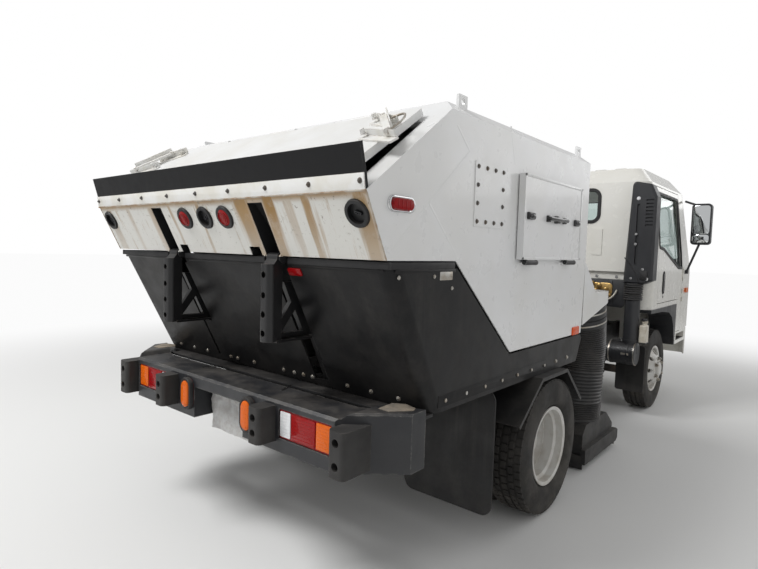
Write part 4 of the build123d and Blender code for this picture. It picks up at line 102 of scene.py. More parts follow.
class Graph:
    """A thin wrapper that adds and joins nodes in one node tree."""

    def __init__(self, tree: Tree) -> None:
        """Keeps the tree and empties it."""
        self.tree = tree
        tree.nodes.clear()

    def add(self, kind: str, **settings: object) -> Node:
        """Adds a node.

        Args:
            kind: The node's type without its common "ShaderNode".
            settings: Attributes to set on it.

        Returns:
            The new node.
        """
        node = self.tree.nodes.new(f"ShaderNode{kind}")
        for key, value in settings.items():
            setattr(node, key, value)
        return node

    def feed(self, node: Node, **values: object) -> Node:
        """Sets or joins a node's inputs by name, with underscores for spaces.

        Args:
            node: The node whose inputs are set.
            values: A plain value, or an output socket to join.

        Returns:
            The same node.
        """
        for key, value in values.items():
            self.into(node.inputs[key.replace("_", " ")], value)
        return node

    def into(self, socket: Socket, value: object) -> None:
        """Joins an output to a socket, or sets the socket's plain value.

        Args:
            socket: The input socket.
            value: An output socket, a number or a tuple.
        """
        if isinstance(value, Socket):
            self.tree.links.new(value, socket)
        elif isinstance(value, tuple) and len(value) == 3 and socket.type == "RGBA":
            socket.default_value = (*value, 1.0)
        else:
            socket.default_value = value

    def math(self, operation: str, a: object, b: object = 0.0, clamp: bool = False) -> Socket:
        """One arithmetic step.

        Args:
            operation: The math node's operation.
            a: First value or socket.
            b: Second value or socket.
            clamp: Whether the result is kept between 0 and 1.

        Returns:
            The result's socket.
        """
        node = self.add("Math", operation=operation, use_clamp=clamp)
        self.into(node.inputs[0], a)
        self.into(node.inputs[1], b)
        return node.outputs[0]

    def times(self, first: object, *others: object) -> Socket:
        """The product of the given values and sockets.

        Args:
            first: The first value or socket.
            others: What it is multiplied by.

        Returns:
            The product's socket.
        """
        for value in others:
            first = self.math("MULTIPLY", first, value)
        return first

    def plus(self, a: object, b: object) -> Socket:
        """The sum of two values or sockets."""
        return self.math("ADD", a, b)

    def without(self, share: Socket) -> Socket:
        """What a share leaves of one."""
        return self.math("SUBTRACT", 1.0, share)

    def between(self, value: Socket, low: float, high: float) -> Socket:
        """One where the value lies between two limits, otherwise nothing."""
        return self.times(self.math("GREATER_THAN", value, low), self.math("LESS_THAN", value, high))

    def spread(
        self, value: object, low: float, high: float, to_low: float = 0.0, to_high: float = 1.0
    ) -> Socket:
        """A clamped smooth map from one range onto another.

        Args:
            value: Value or socket to map.
            low: Start of the source range.
            high: End of the source range.
            to_low: Result at the start.
            to_high: Result at the end.

        Returns:
            The mapped value's socket.
        """
        node = self.add("MapRange", interpolation_type="SMOOTHSTEP")
        return self.feed(node, Value=value, From_Min=low, From_Max=high, To_Min=to_low,
                         To_Max=to_high).outputs["Result"]

    def mix(self, factor: object, a: object, b: object) -> Socket:
        """A mix of two colours, of which the factor shows the second one."""
        node = self.add("Mix", data_type="RGBA")
        return self.feed(node, Factor=factor, A=a, B=b).outputs["Result"]

    def noise(self, vector: object, scale: object, detail: float = 4.0, rough: float = 0.6) -> Socket:
        """A noise value on coordinates, with its scale per metre and its octaves."""
        node = self.add("TexNoise")
        return self.feed(node, Vector=vector, Scale=scale, Detail=detail, Roughness=rough).outputs[0]

    def place(self) -> Socket:
        """The piece's own coordinates."""
        return self.add("TexCoord").outputs["Object"]

    def parts(self, vector: Socket) -> tuple[Socket, ...]:
        """The X, Y and Z of a vector."""
        return tuple(self.feed(self.add("SeparateXYZ"), Vector=vector).outputs)

    def stretch(self, vector: Socket, factors: Point) -> Socket:
        """A vector whose parts are each multiplied by a factor.

        Args:
            vector: The vector's socket.
            factors: One factor for each part.

        Returns:
            The stretched vector's socket.
        """
        node = self.add("VectorMath", operation="MULTIPLY")
        self.into(node.inputs[0], vector)
        node.inputs[1].default_value = factors
        return node.outputs[0]

    def group(self, tree: Tree, **values: object) -> Node:
        """Places a shared group and feeds its inputs."""
        return self.feed(self.add("Group", node_tree=tree), **values)


def new_material(name: str) -> tuple[Material, Graph, Node]:
    """Starts a material on one Principled shader.

    Args:
        name: The material's name.

    Returns:
        The material, its graph and its shader.
    """
    material = bpy.data.materials.new(name)
    material.use_nodes = True
    g = Graph(material.node_tree)
    shader = g.add("BsdfPrincipled")
    g.feed(g.add("OutputMaterial"), Surface=shader.outputs[0])
    return material, g, shader


# The rear wall's foot as y and z, the way that the wall faces, and its rust bands as x, half
# width and strength.
WALL_FOOT = (2.5855, 1.411)
WALL_FACING = (0.0, 0.8944, -0.4472)
WALL_TOP = 1.632
STAIN_BANDS = ((-0.31, 0.055, 0.95), (-0.47, 0.05, 1.0), (-0.39, 0.11, 0.6),
               (-0.7, 0.02, 0.9), (-0.965, 0.036, 0.95),
               (0.43, 0.06, 0.6), (0.03, 0.016, 0.75), (0.27, 0.018, 0.65),
               (-0.6, 0.02, 0.45), (0.7, 0.03, 0.4), (0.93, 0.04, 0.5))


class Effects:
    """The shared shader groups: dust, run-off, edge wear, fine grain, and the rear wall's rust with its
    painted shade.
    """

    def __init__(self) -> None:
        """Builds each group once."""
        self.dust = self._dust()
        self.streaks = self._streaks()
        self.wear = self._wear()
        self.grain = self._grain()
        self.wall = self._wall()

    @staticmethod
    def _start(
        name: str, inputs: dict[str, float], outputs: Sequence[str] = ("Mask",)
    ) -> tuple[Graph, list[Socket], Node]:
        """Starts a shader group whose sockets are all plain numbers.

        Args:
            name: The group's name.
            inputs: Each input with its default.
            outputs: The outputs' names.

        Returns:
            The group's graph, what its inputs bring and its output node.
        """
        tree = bpy.data.node_groups.new(name, "ShaderNodeTree")
        for label, value in inputs.items():
            socket = tree.interface.new_socket(label, in_out="INPUT", socket_type="NodeSocketFloat")
            socket.default_value = value
        for label in outputs:
            tree.interface.new_socket(label, in_out="OUTPUT", socket_type="NodeSocketFloat")
        g = Graph(tree)
        given = list(tree.nodes.new("NodeGroupInput").outputs)[:len(inputs)]
        return g, given, tree.nodes.new("NodeGroupOutput")

    def _dust(self) -> Tree:
        """Dust that lies thick near the road, on upward faces and in cloudy patches.

        Returns:
            The group.
        """
        g, (amount, top, lying, patch), out = self._start(
            "road_dust", {"Amount": 0.5, "Top": 1.2, "Lying": 0.3, "Patch": 5.0})
        place = g.place()
        low = g.math("MAXIMUM", g.without(g.math("DIVIDE", g.parts(place)[2], top)), 0.0)
        facing = g.parts(g.add("NewGeometry").outputs["Normal"])[2]
        lying = g.times(g.spread(facing, 0.25, 0.9), lying)
        cloud = g.spread(g.noise(place, patch, 6.0, 0.62), 0.34, 0.68)
        fine = g.spread(g.noise(place, 60.0, 5.0, 0.7), 0.2, 0.75, 0.5)
        patchy = g.plus(g.times(g.times(cloud, fine), 1.3), 0.12)
        total = g.plus(g.times(low, amount), lying)
        g.feed(out, Mask=g.math("MULTIPLY", total, patchy, clamp=True))
        return g.tree

    def _streaks(self) -> Tree:
        """Narrow marks that run down a wall from a given height.

        Returns:
            The group.
        """
        g, (start, length, amount, pitch), out = self._start(
            "run_off", {"From": 1.64, "Length": 0.3, "Amount": 0.6, "Pitch": 14.0})
        place = g.place()
        lines = g.noise(g.stretch(place, (1.0, 1.0, 0.05)), pitch, 5.0, 0.7)
        along = g.math("DIVIDE", g.math("SUBTRACT", start, g.parts(place)[2]), length)
        fade = g.times(g.spread(along, 0.0, 0.04), g.spread(along, 0.1, 1.0, 1.0, 0.0))
        broken = g.spread(g.noise(place, 35.0, 4.0, 0.7), 0.3, 0.6, 0.35)
        run = g.times(g.spread(lines, 0.5, 0.66), fade, broken)
        g.feed(out, Mask=g.math("MULTIPLY", run, amount, clamp=True))
        return g.tree

    def _wear(self) -> Tree:
        """Rubbed edges, found where the bevelled normal leaves the face's own.

        Returns:
            The group.
        """
        g, (width, amount), out = self._start("edge_wear", {"Width": 0.006, "Amount": 0.5})
        rounded = g.feed(g.add("Bevel", samples=4), Radius=width)
        apart = g.add("VectorMath", operation="DISTANCE")
        g.into(apart.inputs[0], rounded.outputs["Normal"])
        g.into(apart.inputs[1], g.add("NewGeometry").outputs["Normal"])
        chips = g.spread(g.noise(g.place(), 28.0, 6.0, 0.75), 0.42, 0.6)
        edge = g.spread(apart.outputs["Value"], 0.12, 0.5)
        g.feed(out, Mask=g.math("MULTIPLY", g.times(edge, chips), amount, clamp=True))
        return g.tree

    def _grain(self) -> Tree:
        """The fine height of a surface: long waves with a small tooth.

        Returns:
            The group.
        """
        g, (scale, wave), out = self._start("fine_grain", {"Scale": 300.0, "Wave": 3.0}, ["Height"])
        place = g.place()
        tooth, waves = g.noise(place, scale, 3.0, 0.6), g.noise(place, wave, 2.0, 0.5)
        g.feed(out, Height=g.plus(g.times(tooth, 0.08), waves))
        return g.tree

    def _wall(self) -> Tree:
        """Where the rear wall's face lies, its rust and crust, and a painted-shade mask over the slots and
        notches in it and over the hopper's foot inside the shroud.

        Returns:
            The group.
        """
        g, _, out = self._start("rear_wall", {}, ("Face", "Slots", "Stain", "Crust"))
        place = g.place()
        across, back, up = g.parts(place)
        out_y = g.times(g.math("SUBTRACT", back, WALL_FOOT[0]), WALL_FACING[1])
        out_z = g.times(g.math("SUBTRACT", up, WALL_FOOT[1]), -WALL_FACING[2])
        depth = g.math("SUBTRACT", out_y, out_z)
        beside = g.math("ABSOLUTE", across)
        # Painted shade: the recesses behind the wall's face near its slots, and the hopper's foot below the
        # seam, are masked so they can be painted near-black for the shadow inside them.
        in_wall = g.math("LESS_THAN", depth, -0.0025)
        near = g.times(g.math("GREATER_THAN", back, 2.45), g.math("LESS_THAN", up, WALL_TOP))
        slots = g.times(in_wall, near, g.math("LESS_THAN", beside, 0.46))
        foot = g.times(g.math("LESS_THAN", up, 1.4085), g.math("LESS_THAN", beside, 1.004),
                       g.math("GREATER_THAN", back, 0.7))
        slots = g.math("MAXIMUM", slots, foot)
        on_face = g.times(g.math("GREATER_THAN", depth, -0.0024), g.math("GREATER_THAN", back, 2.58))
        face = g.times(on_face, g.between(up, 1.409, 1.652))
        fall = g.stretch(place, (1.0, 0.1, 0.05))
        wander, thin = g.noise(fall, 16.0, 4.0, 0.6), g.noise(fall, 34.0, 5.0, 0.75)
        break_up = g.noise(place, 9.0, 6.0, 0.7)
        drift = g.plus(across, g.times(g.math("SUBTRACT", wander, 0.5), 0.16))
        bands: object = 0.0
        for middle, half, weight in STAIN_BANDS:
            apart = g.math("ABSOLUTE", g.math("SUBTRACT", drift, middle))
            bands = g.math("MAXIMUM", bands, g.spread(apart, half * 0.35, half * 1.25, weight, 0.0))
        bands = g.math("MAXIMUM", bands, g.spread(up, 1.612, 1.64, 0.0, 0.85))
        bands = g.times(bands, g.spread(break_up, 0.28, 0.5, 0.78))
        lines = g.times(g.spread(thin, 0.54, 0.66), g.spread(break_up, 0.4, 0.62))
        stain = g.math("MAXIMUM", bands, g.times(lines, 0.65))
        stain = g.times(stain, g.spread(up, 1.4, 1.62, 0.62, 1.0), face)
        crust = g.times(g.spread(g.noise(place, 48.0, 7.0, 0.8), 0.57, 0.66),
                        g.spread(up, 1.44, 1.65, 0.35, 1.0), face)
        g.feed(out, Face=face, Slots=slots, Stain=stain, Crust=crust)
        return g.tree


@dataclass(frozen=True)
class Finish:
    """A surface: its base look and how much dust, run-off, wear and grain it carries."""

    name: str
    colour: Colour
    roughness: float = 0.45
    metallic: float = 0.0
    coat: float = 0.0
    specular: float = 0.5
    tint: Colour | None = None
    tint_scale: float = 2.5
    dust_colour: Colour = (0.36, 0.31, 0.25)
    dust: float = 0.35
    dust_top: float = 1.2
    lying: float = 0.15
    patch: float = 5.0
    streak_colour: Colour = (0.32, 0.17, 0.06)
    streak: float = 0.0
    streak_from: float = 1.64
    streak_length: float = 0.3
    streak_pitch: float = 14.0
    wear_colour: Colour = (0.25, 0.14, 0.08)
    wear: float = 0.0
    wear_width: float = 0.006
    grain: float = 300.0
    wave: float = 3.0
    bump: float = 0.02
    # rear_wall lays on the rear wall's rust and crust, and the painted shade of its slots and of the
    # hopper's foot.
    rear_wall: bool = False

    def build(self, effects: Effects) -> Material:
        """Makes the material.

        Args:
            effects: The shared shader groups.

        Returns:
            The finished material.
        """
        material, g, shader = new_material(self.name)
        place = g.place()
        colour: object = self.colour
        if self.tint is not None:
            clouds = g.spread(g.noise(place, self.tint_scale, 5.0, 0.6), 0.35, 0.7)
            colour = g.mix(clouds, self.colour, self.tint)
        rough: object = g.spread(g.noise(place, 9.0, 4.0, 0.6), 0.3, 0.7, self.roughness * 0.85,
                                 min(1.0, self.roughness * 1.2))
        if self.streak:
            run = g.group(effects.streaks, From=self.streak_from, Length=self.streak_length,
                          Amount=self.streak, Pitch=self.streak_pitch).outputs[0]
            colour = g.mix(run, colour, self.streak_colour)
        slots: Socket | None = None
        if self.rear_wall:
            face, slots, stain, crust = g.group(effects.wall).outputs
            rust = g.mix(g.noise(place, 6.0, 3.0, 0.5), (0.36, 0.19, 0.022), (0.25, 0.125, 0.015))
            colour = g.mix(g.times(face, 0.75), colour, (0.69, 0.68, 0.63))
            colour = g.mix(stain, colour, rust)
            colour = g.mix(crust, colour, (0.2, 0.16, 0.12))
            rough = g.plus(rough, g.times(face, 0.22))
        if self.wear:
            worn = g.group(effects.wear, Width=self.wear_width, Amount=self.wear).outputs[0]
            colour = g.mix(worn, colour, self.wear_colour)
            rough = g.plus(rough, g.times(worn, 0.25))
        coat: object = self.coat
        if self.dust or self.lying:
            dusty = g.group(effects.dust, Amount=self.dust, Top=self.dust_top, Lying=self.lying,
                            Patch=self.patch).outputs[0]
            colour = g.mix(dusty, colour, self.dust_colour)
            rough = g.plus(rough, g.times(dusty, 0.35))
            if self.coat:
                coat = g.times(g.without(dusty), self.coat)
        # Painted shade: where the slot mask holds, the colour turns near-black, the coat goes and roughness
        # rises. This stands in for the shadow inside the slots and under the hopper's foot.
        if slots is not None:
            coat = g.times(coat, g.without(slots))
            rough = g.plus(rough, g.times(slots, 0.6))
            colour = g.mix(slots, colour, (0.006, 0.006, 0.007))
        shader.inputs["Coat Roughness"].default_value = 0.08
        shader.inputs["Specular IOR Level"].default_value = self.specular
        shader.inputs["Metallic"].default_value = self.metallic
        g.feed(shader, Base_Color=colour, Coat_Weight=coat,
               Roughness=g.math("MINIMUM", rough, 1.0, clamp=True))
        height = g.group(effects.grain, Scale=self.grain, Wave=self.wave).outputs[0]
        bump = g.feed(g.add("Bump"), Height=height, Strength=min(1.0, self.bump * 10),
                      Distance=self.bump * 0.1)
        g.feed(shader, Normal=bump.outputs[0])
        return material


@dataclass(frozen=True)
class ClearFinish:
    """Glass: a plain transmission with a little dust on it."""

    name: str
    colour: Colour
    roughness: float = 0.03
    ior: float = 1.45

    def build(self, effects: Effects) -> Material:
        """Makes the material.

        Args:
            effects: The shared shader groups.

        Returns:
            The finished material.
        """
        material, g, shader = new_material(self.name)
        dusty = g.group(effects.dust, Amount=0.12, Top=2.6, Lying=0.05, Patch=3.0).outputs[0]
        g.feed(shader, Base_Color=g.mix(dusty, self.colour, (0.5, 0.46, 0.4)),
               Roughness=g.plus(g.times(dusty, 0.5), self.roughness))
        shader.inputs["Transmission Weight"].default_value = 1.0
        shader.inputs["IOR"].default_value = self.ior
        return material


GREY_DUST = (0.22, 0.2, 0.18)
FINISHES = (
    Finish("hopper_paint", (0.77, 0.775, 0.78), 0.3, coat=0.4, tint=(0.745, 0.745, 0.735), dust=0.05,
           dust_top=2.0, lying=0.05, bump=0.01, wave=1.6, rear_wall=True),
    Finish("roof_paint", (0.76, 0.765, 0.765), 0.34, coat=0.3, tint=(0.71, 0.705, 0.68), tint_scale=3.0,
           dust=0.0, lying=0.16, wear=0.5, wear_width=0.004, bump=0.012, dust_colour=(0.46, 0.43, 0.37)),
    Finish("strip_paint", (0.78, 0.78, 0.765), 0.34, coat=0.3, tint=(0.7, 0.68, 0.62), tint_scale=8.0,
           dust=0.0, lying=0.1, wear=0.9, wear_width=0.003, bump=0.01),
    Finish("weld_bead", (0.46, 0.42, 0.36), 0.7, tint=(0.3, 0.19, 0.1), tint_scale=16.0, dust=0.0,
           lying=0.0, grain=240.0, bump=0.09),
    Finish("cab_paint", (0.79, 0.78, 0.735), 0.24, coat=0.7, tint=(0.76, 0.745, 0.69), dust=0.1,
           dust_top=1.5, lying=0.06, bump=0.005, streak=0.05, streak_from=2.1, streak_length=1.1,
           streak_pitch=8.0, streak_colour=(0.5, 0.46, 0.4)),
    Finish("shroud_paint", (0.007, 0.007, 0.0078), 0.34, specular=0.22, dust=0.4, dust_top=2.4, lying=0.08,
           patch=7.5, dust_colour=(0.05, 0.046, 0.042), wear=0.25, wear_width=0.003,
           wear_colour=(0.14, 0.13, 0.12), bump=0.03, wave=2.6, streak=0.25, streak_from=1.38,
           streak_length=0.7, streak_colour=(0.06, 0.055, 0.05), streak_pitch=5.0),
    Finish("bumper_coat", (0.013, 0.014, 0.017), 0.42, tint=(0.022, 0.023, 0.026), tint_scale=4.0,
           dust=0.06, lying=0.22, patch=7.0, dust_colour=(0.2, 0.18, 0.155), wear=0.6, wear_width=0.007,
           wear_colour=(0.26, 0.25, 0.23), grain=420.0, bump=0.05),
    Finish("worn_tread_plate", (0.3, 0.25, 0.19), 0.75, tint=(0.12, 0.105, 0.09), tint_scale=9.0, dust=0.0,
           lying=0.3, patch=14.0, grain=260.0, bump=0.1),
    Finish("frame_paint", (0.012, 0.012, 0.013), 0.48, dust=0.28, dust_top=1.1, lying=0.16,
           dust_colour=(0.13, 0.12, 0.105), wear=0.5, wear_width=0.005, wear_colour=(0.16, 0.14, 0.12),
           bump=0.03),
    Finish("post_paint", (0.009, 0.009, 0.01), 0.36, dust=0.08, dust_top=1.6, lying=0.08,
           dust_colour=(0.13, 0.12, 0.105), wear=0.5, wear_width=0.004, wear_colour=(0.17, 0.15, 0.13)),
    Finish("buffer_rubber", (0.034, 0.033, 0.032), 0.66, tint=(0.024, 0.023, 0.023), tint_scale=7.0,
           dust=0.1, dust_top=1.6, lying=0.12, dust_colour=GREY_DUST, wear=0.5,
           wear_colour=(0.11, 0.1, 0.095), grain=380.0, bump=0.05, specular=0.35),
    Finish("rim_paint", (0.66, 0.655, 0.63), 0.34, coat=0.2, tint=(0.55, 0.53, 0.49), tint_scale=9.0,
           dust=0.22, dust_top=1.1, wear=0.6, wear_width=0.003, lying=0.08, patch=9.0),
    Finish("tyre_tread", (0.022, 0.0215, 0.021), 0.74, tint=(0.036, 0.034, 0.032), tint_scale=5.0,
           dust=0.42, dust_top=0.9, lying=0.12, patch=7.0, grain=500.0, bump=0.05, specular=0.3,
           dust_colour=(0.17, 0.155, 0.135)),
    Finish("black_rubber", (0.011, 0.011, 0.012), 0.5, dust=0.08, dust_top=1.8, lying=0.18,
           dust_colour=GREY_DUST, grain=400.0, bump=0.035, specular=0.4),
    Finish("flap_rubber", (0.012, 0.012, 0.0125), 0.55, dust=0.16, dust_top=0.8, lying=0.1,
           dust_colour=GREY_DUST, patch=4.0, wave=4.0, bump=0.06, specular=0.4, streak=0.25,
           streak_from=0.8, streak_length=0.7, streak_colour=(0.1, 0.09, 0.08), streak_pitch=8.0),
    Finish("lip_rubber", (0.0085, 0.0085, 0.0095), 0.4, dust=0.0, lying=0.06, wave=5.0, bump=0.05,
           dust_colour=GREY_DUST, specular=0.2, wear=0.4, wear_width=0.004,
           wear_colour=(0.13, 0.125, 0.12)),
    Finish("hose_rubber", (0.011, 0.011, 0.012), 0.42, dust=0.2, dust_top=1.0, lying=0.25,
           dust_colour=GREY_DUST, grain=350.0, bump=0.035),
    Finish("black_plastic", (0.015, 0.016, 0.019), 0.42, dust=0.05, dust_top=2.4, lying=0.08,
           dust_colour=GREY_DUST, grain=600.0, bump=0.025, patch=6.0),
    Finish("gloss_black", (0.008, 0.008, 0.009), 0.2, coat=0.4, dust=0.05, dust_top=2.2, lying=0.08,
           dust_colour=GREY_DUST, bump=0.006),
    Finish("grille_plastic", (0.03, 0.031, 0.034), 0.4, dust=0.12, dust_top=1.5, lying=0.1,
           dust_colour=GREY_DUST, grain=500.0),
    Finish("cabin_plastic", (0.13, 0.13, 0.135), 0.6, dust=0.04, dust_top=2.6, grain=700.0, lying=0.06,
           bump=0.04),
    Finish("seat_cloth", (0.06, 0.065, 0.078), 0.85, tint=(0.04, 0.043, 0.052), tint_scale=60.0, dust=0.0,
           lying=0.03, grain=900.0, wave=40.0, bump=0.06, specular=0.25),
    Finish("mirror_face", (0.75, 0.77, 0.78), 0.04, metallic=1.0, dust=0.02, dust_top=3.0, lying=0.0,
           bump=0.001),
    Finish("cast_iron", (0.055, 0.05, 0.045), 0.66, metallic=0.35, dust=0.45, dust_top=1.1, lying=0.25,
           dust_colour=GREY_DUST, tint=(0.1, 0.062, 0.038), tint_scale=7.0, grain=220.0, bump=0.08),
    Finish("cylinder_paint", (0.014, 0.014, 0.015), 0.3, coat=0.3, dust=0.15, dust_top=1.4,
           dust_colour=GREY_DUST, wear=0.4),
    Finish("polished_rod", (0.7, 0.7, 0.71), 0.12, metallic=1.0, dust=0.05, lying=0.0, bump=0.002),
    Finish("zinc_steel", (0.5, 0.49, 0.46), 0.34, metallic=0.85, dust=0.08, dust_top=2.0,
           tint=(0.36, 0.31, 0.25), tint_scale=14.0, bump=0.01),
    Finish("rusty_steel", (0.13, 0.125, 0.12), 0.62, metallic=0.5, dust=0.06, dust_top=2.0,
           tint=(0.15, 0.115, 0.085), tint_scale=24.0, bump=0.06, grain=180.0),
    Finish("exhaust_steel", (0.2, 0.17, 0.14), 0.62, metallic=0.6, dust_top=1.0, tint=(0.26, 0.13, 0.06),
           tint_scale=11.0, bump=0.05, grain=240.0),
    Finish("tank_paint", (0.016, 0.016, 0.017), 0.34, coat=0.3, dust=0.3, dust_top=0.9, lying=0.22,
           dust_colour=GREY_DUST),
    Finish("bottle_plastic", (0.66, 0.63, 0.55), 0.45, tint=(0.48, 0.43, 0.34), tint_scale=12.0,
           dust_top=1.6, lying=0.2),
    Finish("plate_sheet", (0.86, 0.86, 0.85), 0.35, coat=0.2, dust=0.05, dust_top=1.0, lying=0.08, wear=0.2,
           wear_width=0.003, wave=14.0),
    Finish("red_lens", (0.27, 0.002, 0.004), 0.14, dust=0.04, dust_top=2.0, lying=0.05, grain=40.0,
           bump=0.002, specular=0.22),
    Finish("amber_lens", (0.66, 0.115, 0.002), 0.14, dust=0.04, dust_top=2.0, lying=0.05, grain=40.0,
           bump=0.002, specular=0.22),
    Finish("clear_lens", (0.72, 0.73, 0.74), 0.08, coat=0.9, dust=0.06, dust_top=1.6, lying=0.05,
           grain=40.0, bump=0.002),
    Finish("orange_reflector", (0.72, 0.085, 0.008), 0.2, dust=0.05, lying=0.05, grain=90.0, specular=0.22),
    Finish("brass_fitting", (0.46, 0.3, 0.1), 0.34, metallic=0.85, dust=0.1, dust_top=2.0,
           tint=(0.3, 0.2, 0.09), tint_scale=40.0),
)
CAB_GLASS = ClearFinish("cab_glass", (0.8, 0.88, 0.86))


# The solids of the frame that each finish goes on. A star stands for left and right.
DRESSED = {
    "amber_lens": "cab_lamps",
    "black_plastic": "air_cleaner arch_flares intake_snorkel mirrors steering_wheel",
    "black_rubber": "hopper_lamps", "bottle_plastic": "washer_bottle", "buffer_rubber": "bumper_blocks",
    "bumper_coat": "rear_bumper", "cab_glass": "cab_glass door_glass_*",
    "cab_paint": "cab_shell door_* front_bumper", "cabin_plastic": "dashboard seats",
    "cast_iron": "drive_shaft engine_block front_axle knuckle_* rear_axle", "clear_lens": "headlamps",
    "cylinder_paint": "lift_barrels", "exhaust_steel": "exhaust", "flap_rubber": "mudflaps",
    "frame_paint": "chassis_frame leaf_springs pickup_head rear_fenders", "grille_plastic": "grille",
    "hopper_paint": "hopper_shell side_door_*", "hose_rubber": "hoses", "lip_rubber": "spill_guard",
    "plate_sheet": "number_plate", "polished_rod": "lift_rods", "post_paint": "blower_housing pivot_posts",
    "red_lens": "rear_lamps", "rim_paint": "front_rim_* rear_rims_*",
    "roof_paint": "discharge_door inlet_duct", "shroud_paint": "lower_shroud", "tank_paint": "fuel_tank",
    "tyre_tread": "front_tyre_* rear_tyres_*",
}

# The part's material slots and the finishes that belong to each.
SLOTS = {
    "amber_lens": "amber_lens orange_reflector", "black_plastic": "black_plastic gloss_black",
    "black_rubber": "buffer_rubber black_rubber flap_rubber lip_rubber", "bottle_plastic": "bottle_plastic",
    "bumper_charcoal": "bumper_coat worn_tread_plate", "cab_white": "cab_paint",
    "cast_iron": "cast_iron rusty_steel", "frame_black": "frame_paint", "grille_plastic": "grille_plastic",
    "hopper_white": "hopper_paint strip_paint weld_bead", "hose_rubber": "hose_rubber",
    "interior_grey": "cabin_plastic", "lamp_glass": "clear_lens", "plate_white": "plate_sheet",
    "post_black": "post_paint", "red_lens": "red_lens", "rim_white": "rim_paint",
    "rod_chrome": "mirror_face zinc_steel polished_rod brass_fitting", "seat_fabric": "seat_cloth",
    "shroud_black": "shroud_paint", "tank_steel": "exhaust_steel tank_paint", "tyre_rubber": "tyre_tread",
}


class PaintShop:
    """Every finish by name, and the work of putting it on."""

    def __init__(self) -> None:
        """Builds the shared effects and all finishes."""
        effects = Effects()
        self._by_name = {f.name: f.build(effects) for f in (*FINISHES, CAB_GLASS)}

    def get(self, name: str) -> Material:
        """The material of that name."""
        return self._by_name[name]

    def dress_nodes(self, nodes: dict[str, bpy.types.Object]) -> None:
        """Puts a finish on each solid of the frame.

        Args:
            nodes: The frame's objects by name.
        """
        finish_of = {node.replace("*", side.word): name for name, those in DRESSED.items()
                     for node in those.split() for side in Side}
        for name, obj in nodes.items():
            material = self.get(finish_of[name])
            if not obj.material_slots:
                obj.data.materials.append(material)
            for slot in obj.material_slots:
                slot.material = material


# Places and outlines

UP, BACK, AHEAD = (0, 0, 1), (0, 1, 0), (0, -1, 0)


def frame_at(origin: Point, facing: Point, up: Point = UP) -> Matrix:
    """A local frame on a surface: Z faces out of it and Y points up along it.

    Args:
        origin: The frame's origin.
        facing: The direction that the surface faces.
        up: The direction that Y comes nearest to.

    Returns:
        The frame as a matrix.
    """
    out = Vector(facing).normalized()
    across = Vector(up).cross(out).normalized()
    turn = Matrix((across, out.cross(across), out)).transposed().to_4x4()
    return Matrix.Translation(origin) @ turn


def on_side(side: Side, x: float, y: float, z: float) -> Matrix:
    """A frame that faces out of the vehicle's side, at a distance x from its middle."""
    return frame_at((side.value * x, y, z), (side.value, 0, 0))


def moved(place: Matrix, x: float, y: float = 0.0, z: float = 0.0) -> Matrix:
    """A frame shifted along its own axes."""
    return place @ Matrix.Translation((x, y, z))


def rounded_outline(width: float, height: float, radius: float, steps: int = 4) -> list[Flat]:
    """A rectangle's outline with round corners, about its middle.

    Args:
        width: Its width.
        height: Its height.
        radius: Its corners' radius.
        steps: Facets in each corner.

    Returns:
        The outline's points in order.
    """
    radius = min(radius, width / 2 - 1e-5, height / 2 - 1e-5)
    points = []
    for corner, (way_x, way_y) in enumerate(((1, 1), (-1, 1), (-1, -1), (1, -1))):
        middle_x, middle_y = way_x * (width / 2 - radius), way_y * (height / 2 - radius)
        for step in range(steps + 1):
            angle = math.pi / 2 * (corner + step / steps)
            points.append((middle_x + radius * math.cos(angle), middle_y + radius * math.sin(angle)))
    return points


def round_corners(points: Sequence[Flat], radius: float, steps: int = 5) -> list[Flat]:
    """A polygon's outline with each corner rounded.

    Args:
        points: The polygon's corners in order.
        radius: The corners' radius.
        steps: Facets in each corner.

    Returns:
        The outline's points.
    """
    made = []
    for index, here in enumerate(points):
        corner = Vector(here)
        back = (Vector(points[index - 1]) - corner).normalized()
        on = (Vector(points[(index + 1) % len(points)]) - corner).normalized()
        half = back.angle(on) / 2
        reach = radius / math.tan(half)
        middle = corner + (back + on).normalized() * (radius / math.sin(half))
        start, end = corner + back * reach - middle, corner + on * reach - middle
        for step in range(steps + 1):
            share = start.lerp(end, step / steps).normalized() * radius
            made.append(tuple(middle + share))
    return made


def swell(outline: Sequence[Flat], by: float) -> list[Flat]:
    """Moves a closed outline's points outwards.

    Args:
        outline: The outline's points in order.
        by: How far out they move, negative for inwards.

    Returns:
        The moved points.
    """
    pairs = list(zip(outline, [*outline[1:], outline[0]]))
    turn = math.copysign(1.0, sum(a[0] * b[1] - b[0] * a[1] for a, b in pairs))
    moved_points = []
    for index, (x, y) in enumerate(outline):
        run = (Vector(outline[(index + 1) % len(outline)]) - Vector(outline[index - 1])).normalized()
        moved_points.append((x + run.y * turn * by, y - run.x * turn * by))
    return moved_points


